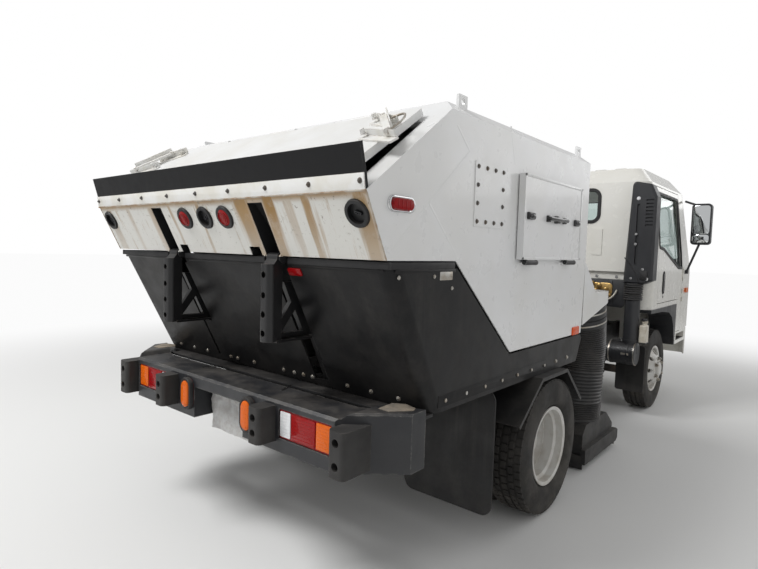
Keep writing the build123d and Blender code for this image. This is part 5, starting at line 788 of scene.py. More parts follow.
class Form:
    """A mesh in the making, and the shapes that the pieces are put together from."""

    def __init__(self) -> None:
        """Starts an empty mesh."""
        self.bm = bmesh.new()

    def skin(self, rings: Sequence[Sequence[Vector]], caps: bool = True, closed: bool = False) -> None:
        """Adds a skin over closed rings of points, with a face over each end.

        Args:
            rings: Rings that all have as many points.
            caps: Whether the first and last ring are closed.
            closed: Whether the last ring joins the first.
        """
        made = [[self.bm.verts.new(point) for point in ring] for ring in rings]
        for low, high in zip(made, [*made[1:], made[0]] if closed else made[1:]):
            for index, vert in enumerate(low):
                after = (index + 1) % len(low)
                self.bm.faces.new((vert, low[after], high[after], high[index]))
        if caps:
            self.bm.faces.new(list(reversed(made[0])))
            self.bm.faces.new(made[-1])

    def layers(
        self, place: Matrix, layers: Sequence[tuple[float, float, float, float]], steps: int = 4
    ) -> None:
        """Adds a form from rounded rectangles stacked along a frame's Z.

        Args:
            place: The frame.
            layers: Width, height, corner radius and level of each outline.
            steps: Facets in each corner.
        """
        self.skin([[place @ Vector((x, y, level)) for x, y in rounded_outline(width, height, radius, steps)]
                   for width, height, radius, level in layers])

    def pad(
        self, place: Matrix, width: float, height: float, thick: float, radius: float = 0.004,
        soft: float = 0.0015, low: float = 0.0,
    ) -> None:
        """Adds a flat raised form with a softened upper edge.

        Args:
            place: The frame that it lies on.
            width: Its width.
            height: Its height.
            thick: How far it stands out.
            radius: Its corners' radius.
            soft: The width of the softened edge.
            low: The level of its underside.
        """
        inner = max(radius - soft, 1e-4)
        self.layers(place, [
            (width, height, radius, low), (width, height, radius, low + thick - soft),
            (width - 0.6 * soft, height - 0.6 * soft, radius - 0.3 * soft, low + thick - 0.3 * soft),
            (width - 2 * soft, height - 2 * soft, inner, low + thick),
        ])

    def strap(self, place: Matrix, start: Flat, end: Flat, width: float, low: float, thick: float) -> None:
        """Adds a flat bar between two points of a frame's XY plane.

        Args:
            place: The frame.
            start: Where the bar's middle line starts.
            end: Where it ends.
            width: The bar's width.
            low: The level of its underside.
            thick: Its thickness.
        """
        run = Vector(end) - Vector(start)
        middle = (Vector(end) + Vector(start)) / 2
        lie = moved(place, middle.x, middle.y) @ Matrix.Rotation(math.atan2(run.y, run.x), 4, "Z")
        self.pad(lie, run.length, width, thick, 0.004, min(0.0015, thick / 3), low)

    def box(self, low: Point, high: Point, round_by: float = 0.0) -> None:
        """Adds a block with softened edges.

        Args:
            low: One corner.
            high: The opposite corner.
            round_by: Width of the softened edge.
        """
        centre = [(a + b) / 2 for a, b in zip(low, high)]
        size = [abs(b - a) for a, b in zip(low, high)]
        matrix = Matrix.Translation(centre) @ Matrix.Diagonal((*size, 1.0))
        made = bmesh.ops.create_cube(self.bm, size=1.0, matrix=matrix)
        if round_by:
            edges = list({e for v in made["verts"] for e in v.link_edges})
            bmesh.ops.bevel(self.bm, geom=edges, offset=round_by, offset_type="OFFSET", segments=2,
                            profile=0.5, affect="EDGES", material=-1, clamp_overlap=True)

    def turned(self, place: Matrix, profile: Sequence[Flat], steps: int = 24) -> None:
        """Adds a form turned round a frame's Z, closed at both ends.

        Args:
            place: The frame.
            profile: Points as (radius, along Z), from one end to the other.
            steps: Facets round it.
        """
        ring = [2 * math.pi * step / steps for step in range(steps)]
        self.skin([[place @ Vector((radius * math.cos(a), radius * math.sin(a), along))
                    for a in ring] for radius, along in profile])

    def bolt(self, place: Matrix, radius: float = 0.008, height: float = 0.006) -> None:
        """Adds a hexagon head on a washer, standing along a frame's Z from its seat."""
        self.turned(place, [(radius * 1.4, 0.0), (radius * 1.35, 0.0016)], 14)
        self.turned(place, [(radius, 0.0016), (radius, height - 0.001), (radius * 0.86, height)], 6)

    def tube(self, points: Sequence[Point], radius: float) -> None:
        """Adds a round bar or pipe along a smooth line.

        Args:
            points: The line's control points.
            radius: The bar's radius.
        """
        curve = bpy.data.curves.new("bar_line", "CURVE")
        curve.dimensions = "3D"
        spline = curve.splines.new("NURBS")
        spline.points.add(len(points) - 1)
        for point, place in zip(spline.points, points):
            point.co = (*place, 1.0)
        spline.order_u = 3
        spline.use_endpoint_u = True
        curve.bevel_depth = radius
        curve.bevel_resolution = 1
        curve.use_fill_caps = True
        curve.resolution_u = 6
        holder = bpy.data.objects.new("bar_line", curve)
        mesh = bpy.data.meshes.new_from_object(holder)
        self.bm.from_mesh(mesh)
        bpy.data.objects.remove(holder)
        bpy.data.meshes.remove(mesh)
        bpy.data.curves.remove(curve)

    def band(
        self, place: Matrix, outline: Sequence[Flat], out_by: float, in_by: float, low: float, high: float,
    ) -> None:
        """Adds a raised band that follows a closed outline, such as a window's rubber.

        Args:
            place: The frame that the outline lies in.
            outline: The outline's points.
            out_by: How far the band reaches outside the outline.
            in_by: How far it reaches inside.
            low: The level of its underside.
            high: The level of its top.
        """
        soft = min(0.002, (high - low) / 3)
        loops = [(out_by, low), (out_by, high - soft), (out_by - soft, high),
                 (soft - in_by, high), (-in_by, high - soft), (-in_by, low)]
        self.skin([[place @ Vector((x, y, level)) for x, y in swell(outline, by)]
                   for by, level in loops], caps=False, closed=True)


class Workshop:
    """Turns a form into a finished piece that rides on a body."""

    def __init__(self, paint: PaintShop) -> None:
        """Keeps the paint shop and finds each finish's slot."""
        self.paint = paint
        self.slot_of = {name: slot for slot, those in SLOTS.items() for name in those.split()}

    def piece(
        self, name: str, form: Form, finish: str, body: str = "chassis", stands_for: Sequence[str] = (),
    ) -> bpy.types.Object:
        """Makes the object, shades it and ties it to its body.

        Args:
            name: The piece's name.
            form: Its form, whose mesh is freed.
            finish: The finish's name.
            body: The body it rides on.
            stands_for: Solids of the frame that it replaces.

        Returns:
            The new object.
        """
        bmesh.ops.recalc_face_normals(form.bm, faces=form.bm.faces)
        mesh = bpy.data.meshes.new(name)
        form.bm.to_mesh(mesh)
        form.bm.free()
        obj = bpy.data.objects.new(name, mesh)
        bpy.context.scene.collection.objects.link(obj)
        mesh.materials.append(self.paint.get(finish))
        mesh.shade_smooth()
        mesh.set_sharp_from_angle(angle=math.radians(32))
        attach(obj, body)
        if stands_for:
            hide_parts(*stands_for)
        LOG.info("%s: %d faces on %s", name, len(mesh.polygons), body)
        return obj


@dataclass
class RoadWheels:
    """The six tyres with their tread, and the wheels' nuts."""

    shop: Workshop
    radius: float = 0.38
    front_y: float = -1.629
    rear_y: float = 1.14
    front_x: float = 0.8325
    twin_xs: Flat = (0.698, 0.952)
    nut_xs: Flat = (0.9595, 0.841)
    nut_circle: float = 0.102
    blocks: int = 54
    groove: float = 0.011
    rows: tuple[Flat, ...] = (
        (-0.076, 0.03), (-0.04, 0.022), (-0.0005, 0.03), (0.04, 0.022), (0.076, 0.03))
    sidewall: tuple[Flat, ...] = (
        (0.0795, 0.2055), (0.08, 0.222), (0.088, 0.229), (0.0985, 0.24), (0.1045, 0.262),
        (0.107, 0.285), (0.107, 0.3), (0.105, 0.322), (0.103, 0.34), (0.096, 0.358))

    def build(self) -> None:
        """Makes every tyre and the wheels' nuts."""
        for side in Side:
            self._tyre(f"front_tyre_{side.word}", [side.value * self.front_x], self.front_y,
                       f"front_wheel_{side.word}", rib=True)
            self._tyre(f"rear_tyres_{side.word}", [side.value * x for x in self.twin_xs],
                       self.rear_y, f"rear_wheels_{side.word}", rib=False)
            self._nuts(side)

    def _tyre(self, node: str, centres: Sequence[float], y: float, body: str, rib: bool) -> None:
        """Spins the tyre's section and cuts its tread.

        Args:
            node: The solid that it replaces.
            centres: The x of each tyre on the body.
            y: The axle's y.
            body: The wheel's body.
            rib: Whether the tread runs in plain ribs, as on the steered axle.
        """
        form = Form()
        for centre in centres:
            self._casing(form.bm, centre, y)
            self._tread(form.bm, centre, y, rib)
        self.shop.piece(f"{node}_tread", form, "tyre_tread", body, [node])

    def _casing(self, bm: bmesh.types.BMesh, centre: float, y: float) -> None:
        """Adds one casing with its beads, sidewalls and the floor of the grooves.

        Args:
            bm: The mesh to add to.
            centre: The tyre's x.
            y: The axle's y.
        """
        base = self.radius - self.groove
        half = [*self.sidewall, (0.09, base - 0.004), (0.06, base)]
        section = [*((-a, r) for a, r in half), (0.0, base + 0.001), *reversed(half),
                   (-half[0][0], half[0][1])]
        verts = [bm.verts.new((centre + a, y, self.radius + r)) for a, r in section]
        edges = [bm.edges.new(pair) for pair in zip(verts, verts[1:])]
        bmesh.ops.spin(bm, geom=[*verts, *edges], cent=(centre, y, self.radius), axis=(1, 0, 0),
                       dvec=(0, 0, 0), angle=2 * math.pi, steps=72, use_merge=True)
        bmesh.ops.remove_doubles(bm, verts=bm.verts, dist=1e-6)

    def _tread(self, bm: bmesh.types.BMesh, centre: float, y: float, rib: bool) -> None:
        """Adds the tread: rows of blocks that stand on the casing.

        Args:
            bm: The mesh to add to.
            centre: The tyre's x.
            y: The axle's y.
            rib: Whether the middle rows run on without cross cuts.
        """
        low = self.radius - self.groove - 0.004
        high = self.radius - 0.0005
        step = 2 * math.pi / self.blocks
        for index in range(self.blocks):
            for row, (across, width) in enumerate(self.rows):
                share = 0.985 if rib and 0 < row < 4 else 0.8
                drop = 0.006 if row in (0, 4) else 0.0
                depth = high - drop - low
                matrix = (Matrix.Translation((centre + across, y, self.radius))
                          @ Matrix.Rotation((index + 0.5 * (row % 2)) * step, 4, "X")
                          @ Matrix.Translation((0, 0, low + depth / 2))
                          @ Matrix.Diagonal((width, high * step * share, depth, 1.0)))
                bmesh.ops.create_cube(bm, size=1.0, matrix=matrix)

    def _nuts(self, side: Side) -> None:
        """Adds the nuts and studs of the front and rear wheels.

        Args:
            side: The side of the vehicle.
        """
        for body, y, x in ((f"front_wheel_{side.word}", self.front_y, self.nut_xs[0]),
                           (f"rear_wheels_{side.word}", self.rear_y, self.nut_xs[1])):
            form = Form()
            for index in range(6):
                angle = (index + 0.5) * math.pi / 3
                seat = on_side(side, x, y + self.nut_circle * math.cos(angle),
                               self.radius + self.nut_circle * math.sin(angle))
                form.bolt(seat, 0.017, 0.02)
                form.turned(seat, [(0.01, 0.0), (0.01, 0.027), (0.008, 0.029)], 12)
            self.shop.piece(f"{body}_nuts", form, "zinc_steel", body)


@dataclass
class HopperTrim:
    """The bolted strip, weld beads and lamp lenses of the hopper's rear wall."""

    shop: Workshop
    half_width: float = 1.009
    strip_low: Flat = (2.705, 1.6455)
    strip_high: Flat = (2.713, 1.7)
    bolt_pitch: float = 0.2475
    lamp_height: float = 1.5711
    lamp_y: float = 2.6655
    lens_xs: Flat = (-0.161, 0.16)

    def build(self) -> None:
        """Makes the strip, its bolts, the beads and the lenses."""
        self._strip()
        self._beads()
        self._lenses()

    def _strip(self) -> None:
        """The white steel strip that clamps the rubber lip, with its nine bolts."""
        rise = Vector((0, self.strip_high[0] - self.strip_low[0], self.strip_high[1] - self.strip_low[1]))
        facing = (0.0, rise.z, -rise.y)
        middle = (0.0, (self.strip_low[0] + self.strip_high[0]) / 2,
                  (self.strip_low[1] + self.strip_high[1]) / 2)
        face = frame_at(middle, facing, tuple(rise))
        form = Form()
        form.pad(face, 2 * self.half_width, rise.length, 0.004, 0.002, 0.001)
        self.shop.piece("guard_strip", form, "strip_paint", "hopper")
        form = Form()
        for index in range(-4, 5):
            seat = moved(face, index * self.bolt_pitch, 0.002, 0.004)
            form.bolt(seat @ Matrix.Rotation(index * 0.7, 4, "Z"), 0.0074, 0.0055)
            form.turned(seat, [(0.0042, 0.005), (0.0042, 0.009), (0.0032, 0.0098)], 10)
        self.shop.piece("guard_strip_bolts", form, "rusty_steel", "hopper")

    def _beads(self) -> None:
        """The uneven weld beads under the strip and along the wall's ends."""
        form = Form()
        steps = 150
        rings = []
        for step in range(steps + 1):
            x = -self.half_width + 2 * self.half_width * step / steps
            lump = 0.0036 + 0.0016 * noise.noise(Vector((x * 55, 0.3, 0.0)))
            drift = 0.0022 * noise.noise(Vector((x * 9, 4.1, 0.0)))
            middle = Vector((x, self.strip_low[0] + 0.001, self.strip_low[1] - 0.003 + drift))
            rings.append([middle + Vector((0, lump * math.cos(a), lump * math.sin(a)))
                          for a in (k * math.pi / 3 for k in range(6))])
        form.skin(rings)
        for side in Side:
            rings = []
            for step in range(61):
                share = step / 60
                lump = 0.003 + 0.0013 * noise.noise(Vector((share * 22, 1.7, side.value)))
                middle = Vector((side.value * (self.half_width - 0.0005),
                                 WALL_FOOT[0] + share * 0.1145, WALL_FOOT[1] + share * 0.229))
                rings.append([middle + Vector((lump * math.cos(a), lump * math.sin(a), 0))
                              for a in (k * math.pi / 3 for k in range(6))])
            form.skin(rings)
        self.shop.piece("wall_weld_beads", form, "weld_bead", "hopper")

    def _lenses(self) -> None:
        """The red round lenses, and the sockets that stayed in the empty holes."""
        form = Form()
        for x in self.lens_xs:
            place = frame_at((x, self.lamp_y, self.lamp_height), WALL_FACING)
            form.turned(place, [(0.0375, 0.006), (0.0375, 0.0085), (0.035, 0.011),
                                (0.027, 0.014), (0.014, 0.0156), (0.001, 0.016)], 36)
            for ring in (0.03, 0.0205, 0.011):
                form.turned(place, [(ring, 0.0122), (ring - 0.0008, 0.017),
                                    (ring - 0.0024, 0.017), (ring - 0.0032, 0.0122)], 36)
        self.shop.piece("rear_wall_lenses", form, "red_lens", "hopper")
        form = Form()
        for x in (-0.006, -0.94, 0.94):
            place = frame_at((x, self.lamp_y, self.lamp_height), WALL_FACING)
            form.turned(place, [(0.036, -0.0108), (0.0355, -0.009), (0.033, -0.0088),
                                (0.0325, -0.0105)], 32)
            lie = place @ Matrix.Rotation(0.6 + x, 4, "Z")
            form.pad(lie, 0.03, 0.012, 0.01, 0.003, 0.001, -0.0108)
            for across in (-0.008, 0.0, 0.008):
                form.turned(moved(lie, across), [(0.0022, -0.002), (0.0022, 0.0035), (0.0012, 0.0045)], 8)
        self.shop.piece("empty_lamp_sockets", form, "black_plastic", "hopper")


@dataclass
class SideTrim:
    """What is fixed on one of the hopper's sides and on its side door."""

    shop: Workshop
    side: Side
    face_x: float = 1.009
    door_x: float = 1.045
    access_y: Flat = (1.74, 2.01)
    access_z: Flat = (1.56, 1.838)
    bolt_inset: float = 0.022
    door_y: Flat = (0.84, 1.6)
    door_z: Flat = (1.42, 1.835)
    hinge_ys: Flat = (0.96, 1.48)
    hinge: Flat = (1.033, 1.4055)
    marker: Flat = (2.515, 1.612)

    def build(self) -> None:
        """Makes the plate's bolts, markers, creases, reflectors and door furniture."""
        self._creases()
        self._access_plate()
        self._marker()
        self._door()
        self._reflector()

    def _at(self, x: float, y: float, z: float) -> Matrix:
        """A frame that faces out of this side."""
        return on_side(self.side, x, y, z)

    def _creases(self) -> None:
        """The faint stiffening folds that run over the panel."""
        form = Form()
        for start, end in (((2.16, 1.955), (2.058, 1.868)), ((2.058, 1.868), (2.342, 1.631)),
                           ((2.342, 1.631), (2.125, 1.425)), ((2.56, 1.45), (2.342, 1.631)),
                           ((1.7, 2.04), (1.64, 1.87))):
            run = Vector((end[0] - start[0], end[1] - start[1]))
            across = Vector((-run.y, run.x)).normalized() * 0.0065
            rings = []
            for at in (start, end):
                rings.append([Vector((self.side.value * (self.face_x + lift), at[0] + across.x * way,
                                      at[1] + across.y * way))
                              for way, lift in ((-1, -0.0002), (-0.35, 0.0006), (0.35, 0.0006),
                                                (1, -0.0002), (0, -0.0006))])
            form.skin(rings)
        self.shop.piece(f"panel_folds_{self.side.word}", form, "hopper_paint", "hopper")

    def _access_plate(self) -> None:
        """Twelve bolts round the access plate."""
        form = Form()
        low_y, high_y = (self.access_y[0] + self.bolt_inset, self.access_y[1] - self.bolt_inset)
        low_z, high_z = (self.access_z[0] + self.bolt_inset, self.access_z[1] - self.bolt_inset)
        places = [(low_y + (high_y - low_y) * k / 3, z) for k in range(4) for z in (low_z, high_z)]
        places += [(y, low_z + (high_z - low_z) * k / 3) for k in (1, 2) for y in (low_y, high_y)]
        for y, z in places:
            form.bolt(self._at(self.face_x + 0.004, y, z), 0.0075, 0.0065)
        self.shop.piece(f"access_plate_bolts_{self.side.word}", form, "rusty_steel", "hopper")

    def _marker(self) -> None:
        """The red side marker in its bright surround."""
        place = self._at(self.face_x, *self.marker)
        form = Form()
        form.layers(place, [(0.154, 0.06, 0.03, 0.0003), (0.153, 0.059, 0.0295, 0.006),
                            (0.148, 0.054, 0.027, 0.0098), (0.142, 0.048, 0.024, 0.0108),
                            (0.13, 0.043, 0.021, 0.0096)], 8)
        self.shop.piece(f"marker_surround_{self.side.word}", form, "polished_rod", "hopper")
        form = Form()
        form.layers(place, [(0.122, 0.04, 0.02, 0.0096), (0.122, 0.04, 0.02, 0.015),
                            (0.116, 0.035, 0.0172, 0.0178), (0.104, 0.024, 0.0118, 0.0188)], 8)
        for along in (-0.036, -0.012, 0.012, 0.036):
            form.pad(moved(place, along), 0.003, 0.03, 0.0015, 0.001, 0.0004, 0.0184)
        self.shop.piece(f"marker_lens_{self.side.word}", form, "red_lens", "hopper")

    def _door(self) -> None:
        """The door's flange, latches, pull handle and black hinges."""
        body = f"side_door_{self.side.word}"
        middle_y, middle_z = sum(self.door_y) / 2, sum(self.door_z) / 2
        long, tall = self.door_y[1] - self.door_y[0], self.door_z[1] - self.door_z[0]
        face = self._at(self.door_x, middle_y, middle_z)
        form = Form()
        flange, stand = 0.013, 0.0035
        for across, up, width, height in (
            (0.0, tall / 2 - flange / 2, long, flange), (0.0, -tall / 2 + flange / 2, long, flange),
            (long / 2 - flange / 2, 0.0, flange, tall), (-long / 2 + flange / 2, 0.0, flange, tall),
        ):
            form.pad(moved(face, across, up), width, height, stand, 0.002, 0.0012)
        self.shop.piece(f"{body}_flange", form, "hopper_paint", body)
        form = Form()
        for y, z, wide in ((1.53, 1.634, 0.072), (0.925, 1.631, 0.06)):
            place = self._at(self.door_x, y, z)
            form.layers(place, [(wide, 0.036, 0.006, 0.0), (wide, 0.036, 0.006, 0.01),
                                (wide - 0.008, 0.028, 0.004, 0.016)])
            form.pad(moved(place, 0.006), wide * 0.5, 0.016, 0.006, 0.003, 0.001, 0.0158)
            form.turned(moved(place, -wide * 0.32), [(0.0065, 0.0158), (0.0062, 0.02), (0.005, 0.0208)], 14)
        handle = self._at(self.door_x, 1.212, 1.633)
        for along in (-0.108, 0.108):
            form.pad(moved(handle, along), 0.03, 0.034, 0.014, 0.005, 0.002)
        form.layers(handle, [
            (0.244, 0.016, 0.007, 0.0138), (0.25, 0.022, 0.01, 0.019),
            (0.248, 0.02, 0.009, 0.025), (0.236, 0.01, 0.004, 0.0285)], 6)
        form.pad(handle, 0.044, 0.04, 0.02, 0.008, 0.003)
        self.shop.piece(f"{body}_latches", form, "gloss_black", body)
        pins, covers = Form(), Form()
        for y in self.hinge_ys:
            pin = frame_at((self.side.value * self.hinge[0], y, self.hinge[1]), BACK)
            pins.turned(pin, [(0.006, -0.05), (0.007, -0.047), (0.007, -0.0452), (0.0128, -0.0452),
                              (0.0128, 0.0452), (0.007, 0.0452), (0.007, 0.047), (0.006, 0.05)], 18)
            for way in (-1, 1):
                lug = frame_at((self.side.value * self.hinge[0], y + way * 0.0573, self.hinge[1]),
                               (0, way, 0))
                covers.turned(lug, [(0.0075, -0.0108), (0.0131, -0.0104), (0.0131, 0.0112),
                                    (0.011, 0.0124)], 18)
        self.shop.piece(f"{body}_hinges", pins, "frame_paint", body)
        self.shop.piece(f"{body}_lug_covers", covers, "frame_paint", "hopper")

    def _reflector(self) -> None:
        """The oblong orange reflector low on the panel's front."""
        place = self._at(self.face_x, 0.745, 0.9875)
        form = Form()
        form.layers(place, [(0.112, 0.05, 0.01, 0.0), (0.112, 0.05, 0.01, 0.004),
                            (0.104, 0.042, 0.008, 0.0065)], 5)
        self.shop.piece(f"side_reflector_{self.side.word}", form, "orange_reflector", "hopper")


@dataclass
class DischargeLatches:
    """The weathered over-centre latches at the two edges of the discharge door."""

    shop: Workshop
    shoulder: Point = (0.0, 2.7025, 1.645)
    slope_facing: Point = (0.0, 0.5925, 0.8057)
    slope_up: Point = (0.0, -0.8057, 0.5925)
    hinge_along: float = 0.604
    face_rise: float = 0.038
    ajar: float = 2.2

    def build(self) -> None:
        """Makes each side's brackets, lever and rod on the door's own slant."""
        slope = frame_at(self.shoulder, self.slope_facing, self.slope_up)
        door = (moved(slope, 0, self.hinge_along, self.face_rise - 0.014)
                @ Matrix.Rotation(-math.radians(self.ajar), 4, "X")
                @ Matrix.Translation((0, -self.hinge_along - 0.075, 0.014)))
        form = Form()
        for way in (-1, 1):
            for start_x, start_y, end_x, end_y, *section in (
                (0.78, 0.395, 0.99, 0.318, 0.042, 0.0, 0.008),
                (0.78, 0.412, 0.99, 0.335, 0.006, 0.008, 0.026),
                (0.715, 0.56, 0.9, 0.47, 0.044, 0.0, 0.007), (0.715, 0.578, 0.9, 0.488, 0.006, 0.007, 0.03),
                (0.8, 0.53, 0.945, 0.352, 0.03, 0.026, 0.012),
                (0.815, 0.545, 0.958, 0.367, 0.006, 0.034, 0.024),
            ):
                form.strap(door, (way * start_x, start_y), (way * end_x, end_y), *section)
            for along, up in ((0.8, 0.53), (0.945, 0.352), (0.74, 0.548), (0.8, 0.386)):
                form.bolt(moved(door, way * along, up, 0.02), 0.01, 0.022)
        self.shop.piece("discharge_latches", form, "strip_paint", "discharge_door")
        form = Form()
        for way in (-1, 1):
            line = [(way * 0.945, 0.352, 0.03), (way * 0.975, 0.4, 0.034),
                    (way * 0.955, 0.48, 0.04), (way * 0.9, 0.505, 0.034), (way * 0.85, 0.47, 0.03)]
            form.tube([tuple(door @ Vector(point)) for point in line], 0.0045)
        self.shop.piece("discharge_latch_rods", form, "zinc_steel", "discharge_door")


@dataclass
class RearEnd:
    """The rear bumper's lamps, worn pads, drain slots and the crumpled plate."""

    shop: Workshop
    lamp_y: float = 2.5838
    lamp_mid_z: float = 0.7075
    lamp_tall: float = 0.108
    oval_x: float = 0.25
    oval_y: float = 2.6103
    oval_z: float = 0.7
    top_z: float = 0.8
    hump_z: float = 0.822
    plate_low: Point = (-0.185, 2.4803, 0.52)
    plate_high: Point = (0.185, 2.4843, 0.735)

    def build(self) -> None:
        """Makes the lamps, the pads and the plate."""
        self._clusters()
        self._ovals()
        self._pads()
        self._plate()

    def _clusters(self) -> None:
        """A clear, a red and an amber lens in each cluster, inside to out."""
        for finish, low, high in (("clear_lens", 0.4575, 0.522), ("red_lens", 0.5285, 0.67),
                                  ("amber_lens", 0.6765, 0.76)):
            form = Form()
            for way in (-1, 1):
                place = frame_at((way * (low + high) / 2, self.lamp_y, self.lamp_mid_z), BACK)
                form.pad(place, high - low, self.lamp_tall, 0.0055, 0.006, 0.0022, -0.001)
                for row in range(7):
                    up = (row - 3) * self.lamp_tall * 0.128
                    form.pad(moved(place, 0, up), high - low - 0.008, 0.0035, 0.001, 0.0012, 0.0004, 0.0042)
            self.shop.piece(f"rear_cluster_{finish}", form, finish)

    def _ovals(self) -> None:
        """The tall oval amber lamps in their rubber rings."""
        lenses, rings = Form(), Form()
        for way in (-1, 1):
            place = frame_at((way * self.oval_x, self.oval_y, self.oval_z), BACK)
            lenses.layers(place, [(0.062, 0.132, 0.031, -0.004), (0.062, 0.132, 0.031, 0.004),
                                  (0.054, 0.122, 0.027, 0.0085), (0.036, 0.1, 0.018, 0.0105)], 8)
            for row in range(6):
                up = (row - 2.5) * 0.019
                lenses.pad(moved(place, 0, up), 0.034, 0.003, 0.0016, 0.001, 0.0005, 0.0098)
            rings.layers(place, [(0.094, 0.164, 0.047, -0.018), (0.095, 0.165, 0.0475, -0.004),
                                 (0.088, 0.158, 0.044, 0.0035), (0.074, 0.144, 0.037, 0.004),
                                 (0.068, 0.138, 0.034, 0.0005)], 8)
        self.shop.piece("oval_lamp_lenses", lenses, "amber_lens")
        self.shop.piece("oval_lamp_rings", rings, "black_rubber")

    def _pads(self) -> None:
        """Worn tread plates on the raised ends and the slanting drain slots."""
        pads, slots = Form(), Form()
        for way in (-1, 1):
            rim = [(0.858, 2.425), (0.85, 2.33), (0.9, 2.3), (0.962, 2.318), (0.975, 2.35), (0.915, 2.432)]
            rings = [[Vector((way * (0.912 + (x - 0.912) * share), 2.362 + (y - 2.362) * share,
                              self.hump_z + level)) for x, y in rim]
                     for share, level in ((1.0, 0.0), (1.0, 0.0018), (0.97, 0.0028))]
            pads.skin(rings)
            slots.strap(frame_at((0, 0, self.top_z), UP, BACK),
                        (-way * 0.326, 2.47), (-way * 0.276, 2.372), 0.014, 0.0, 0.001)
        self.shop.piece("bumper_end_pads", pads, "worn_tread_plate")
        self.shop.piece("bumper_drain_slots", slots, "gloss_black")

    def _plate(self) -> None:
        """The blank white sheet that hangs crumpled in the plate opening."""
        form = Form()
        across, up = 64, 40
        rows = []
        for row in range(up + 1):
            line = []
            for column in range(across + 1):
                u, v = column / across, row / up
                x = self.plate_low[0] + u * (self.plate_high[0] - self.plate_low[0])
                z = self.plate_low[2] + v * (self.plate_high[2] - self.plate_low[2])
                dent = noise.noise(Vector((x * 11, z * 13, 2.0)))
                fold = abs(noise.noise(Vector((x * 19 + 0.7 * z, z * 24, 5.0))))
                lift = 0.01 * dent + 0.012 * (0.35 - fold) + 0.012 * (u - 0.5) * v
                line.append(form.bm.verts.new((x, self.plate_high[1] + 0.008 + lift, z)))
            rows.append(line)
        for low, high in zip(rows, rows[1:]):
            for index in range(across):
                form.bm.faces.new((low[index], low[index + 1], high[index + 1], high[index]))
        bmesh.ops.solidify(form.bm, geom=form.bm.faces[:], thickness=0.0012)
        self.shop.piece("number_plate_sheet", form, "plate_sheet", "chassis", ["number_plate"])


@dataclass
class ShroudTrim:
    """Bolt heads, the fold line, a reflector and a blank plate on the lower shroud, and black seam strips
    that are painted shade for the gap under the hopper.
    """

    shop: Workshop
    half_width: float = 1.009
    top: Flat = (2.5695, 1.38)
    foot: Flat = (2.266, 0.794)
    facing: Point = (0.0, 0.888, -0.46)

    def build(self) -> None:
        """Makes each small part on the shroud."""
        rise = Vector((0.0, self.top[0] - self.foot[0], self.top[1] - self.foot[1])).normalized()
        form = Form()
        for x in (-0.85, -0.7, -0.56, -0.33, -0.267, -0.2, -0.12, 0.12, 0.267, 0.33, 0.56, 0.7, 0.85):
            y, z = self.foot[0] + rise.y * 0.045, self.foot[1] + rise.z * 0.045
            form.bolt(frame_at((x, y, z), self.facing), 0.0085, 0.007)
        for side in Side:
            for index in range(9):
                y = 0.86 + 0.165 * index
                form.bolt(on_side(side, self.half_width, y, 0.838), 0.0085, 0.007)
            for y, z in ((2.525, 1.35), (2.3, 1.35), (2.17, 1.3)):
                form.bolt(on_side(side, self.half_width, y - 0.012, z), 0.006, 0.0045)
        self.shop.piece("shroud_bolts", form, "zinc_steel")
        form = Form()
        for side in Side:
            form.pad(on_side(side, self.half_width, 1.7, 0.838), 1.06, 0.052, 0.0025, 0.003, 0.001, -0.0008)
            form.pad(on_side(side, self.half_width, 2.335, 1.372), 0.4, 0.012, 0.0022, 0.002, 0.001, -0.0008)
        face = frame_at((0, *self.top), self.facing, tuple(rise))
        for low, high in ((-1.0, -0.47), (-0.322, 0.322), (0.47, 1.0)):
            form.pad(moved(face, -(low + high) / 2, -0.009), 0.93 * (high - low), 0.012,
                     0.0025, 0.002, 0.001, -0.0008)
        self.shop.piece("shroud_folds", form, "shroud_paint")
        form = Form()
        # Painted shade: black strips in the seam between the shroud and the hopper stand in for the shadow
        # gap under the hopper's edge.
        for low, high in ((-1.009, -0.47), (-0.325, 0.325), (0.47, 1.009)):
            form.box((low, 2.556, 1.379), (high, 2.574, 1.405), 0.0015)
        for side in Side:
            form.box((side.value * 0.997, 2.14, 1.379), (side.value * 1.009, 2.56, 1.405), 0.0012)
        self.shop.piece("seam_strips", form, "black_rubber")
        form = Form()
        form.box((-0.995, 2.245, 0.779), (0.995, 2.356, 0.793), 0.001)
        self.shop.piece("shroud_foot_flange", form, "black_rubber")
        form = Form()
        for way in (-1, 1):
            form.pad(moved(face, way * 0.497, -0.036), 0.08, 0.034, 0.006, 0.006, 0.002)
        self.shop.piece("shroud_reflectors", form, "red_lens")
        form = Form()
        for side in Side:
            place = on_side(side, self.half_width, 2.204, 1.351)
            form.pad(place, 0.092, 0.034, 0.0015, 0.004, 0.0006)
            for along in (-0.038, 0.038):
                form.turned(moved(place, along, 0, 0.0014),
                            [(0.0035, 0.0), (0.0032, 0.0012), (0.0018, 0.0018)], 10)
        self.shop.piece("blank_data_plates", form, "zinc_steel")


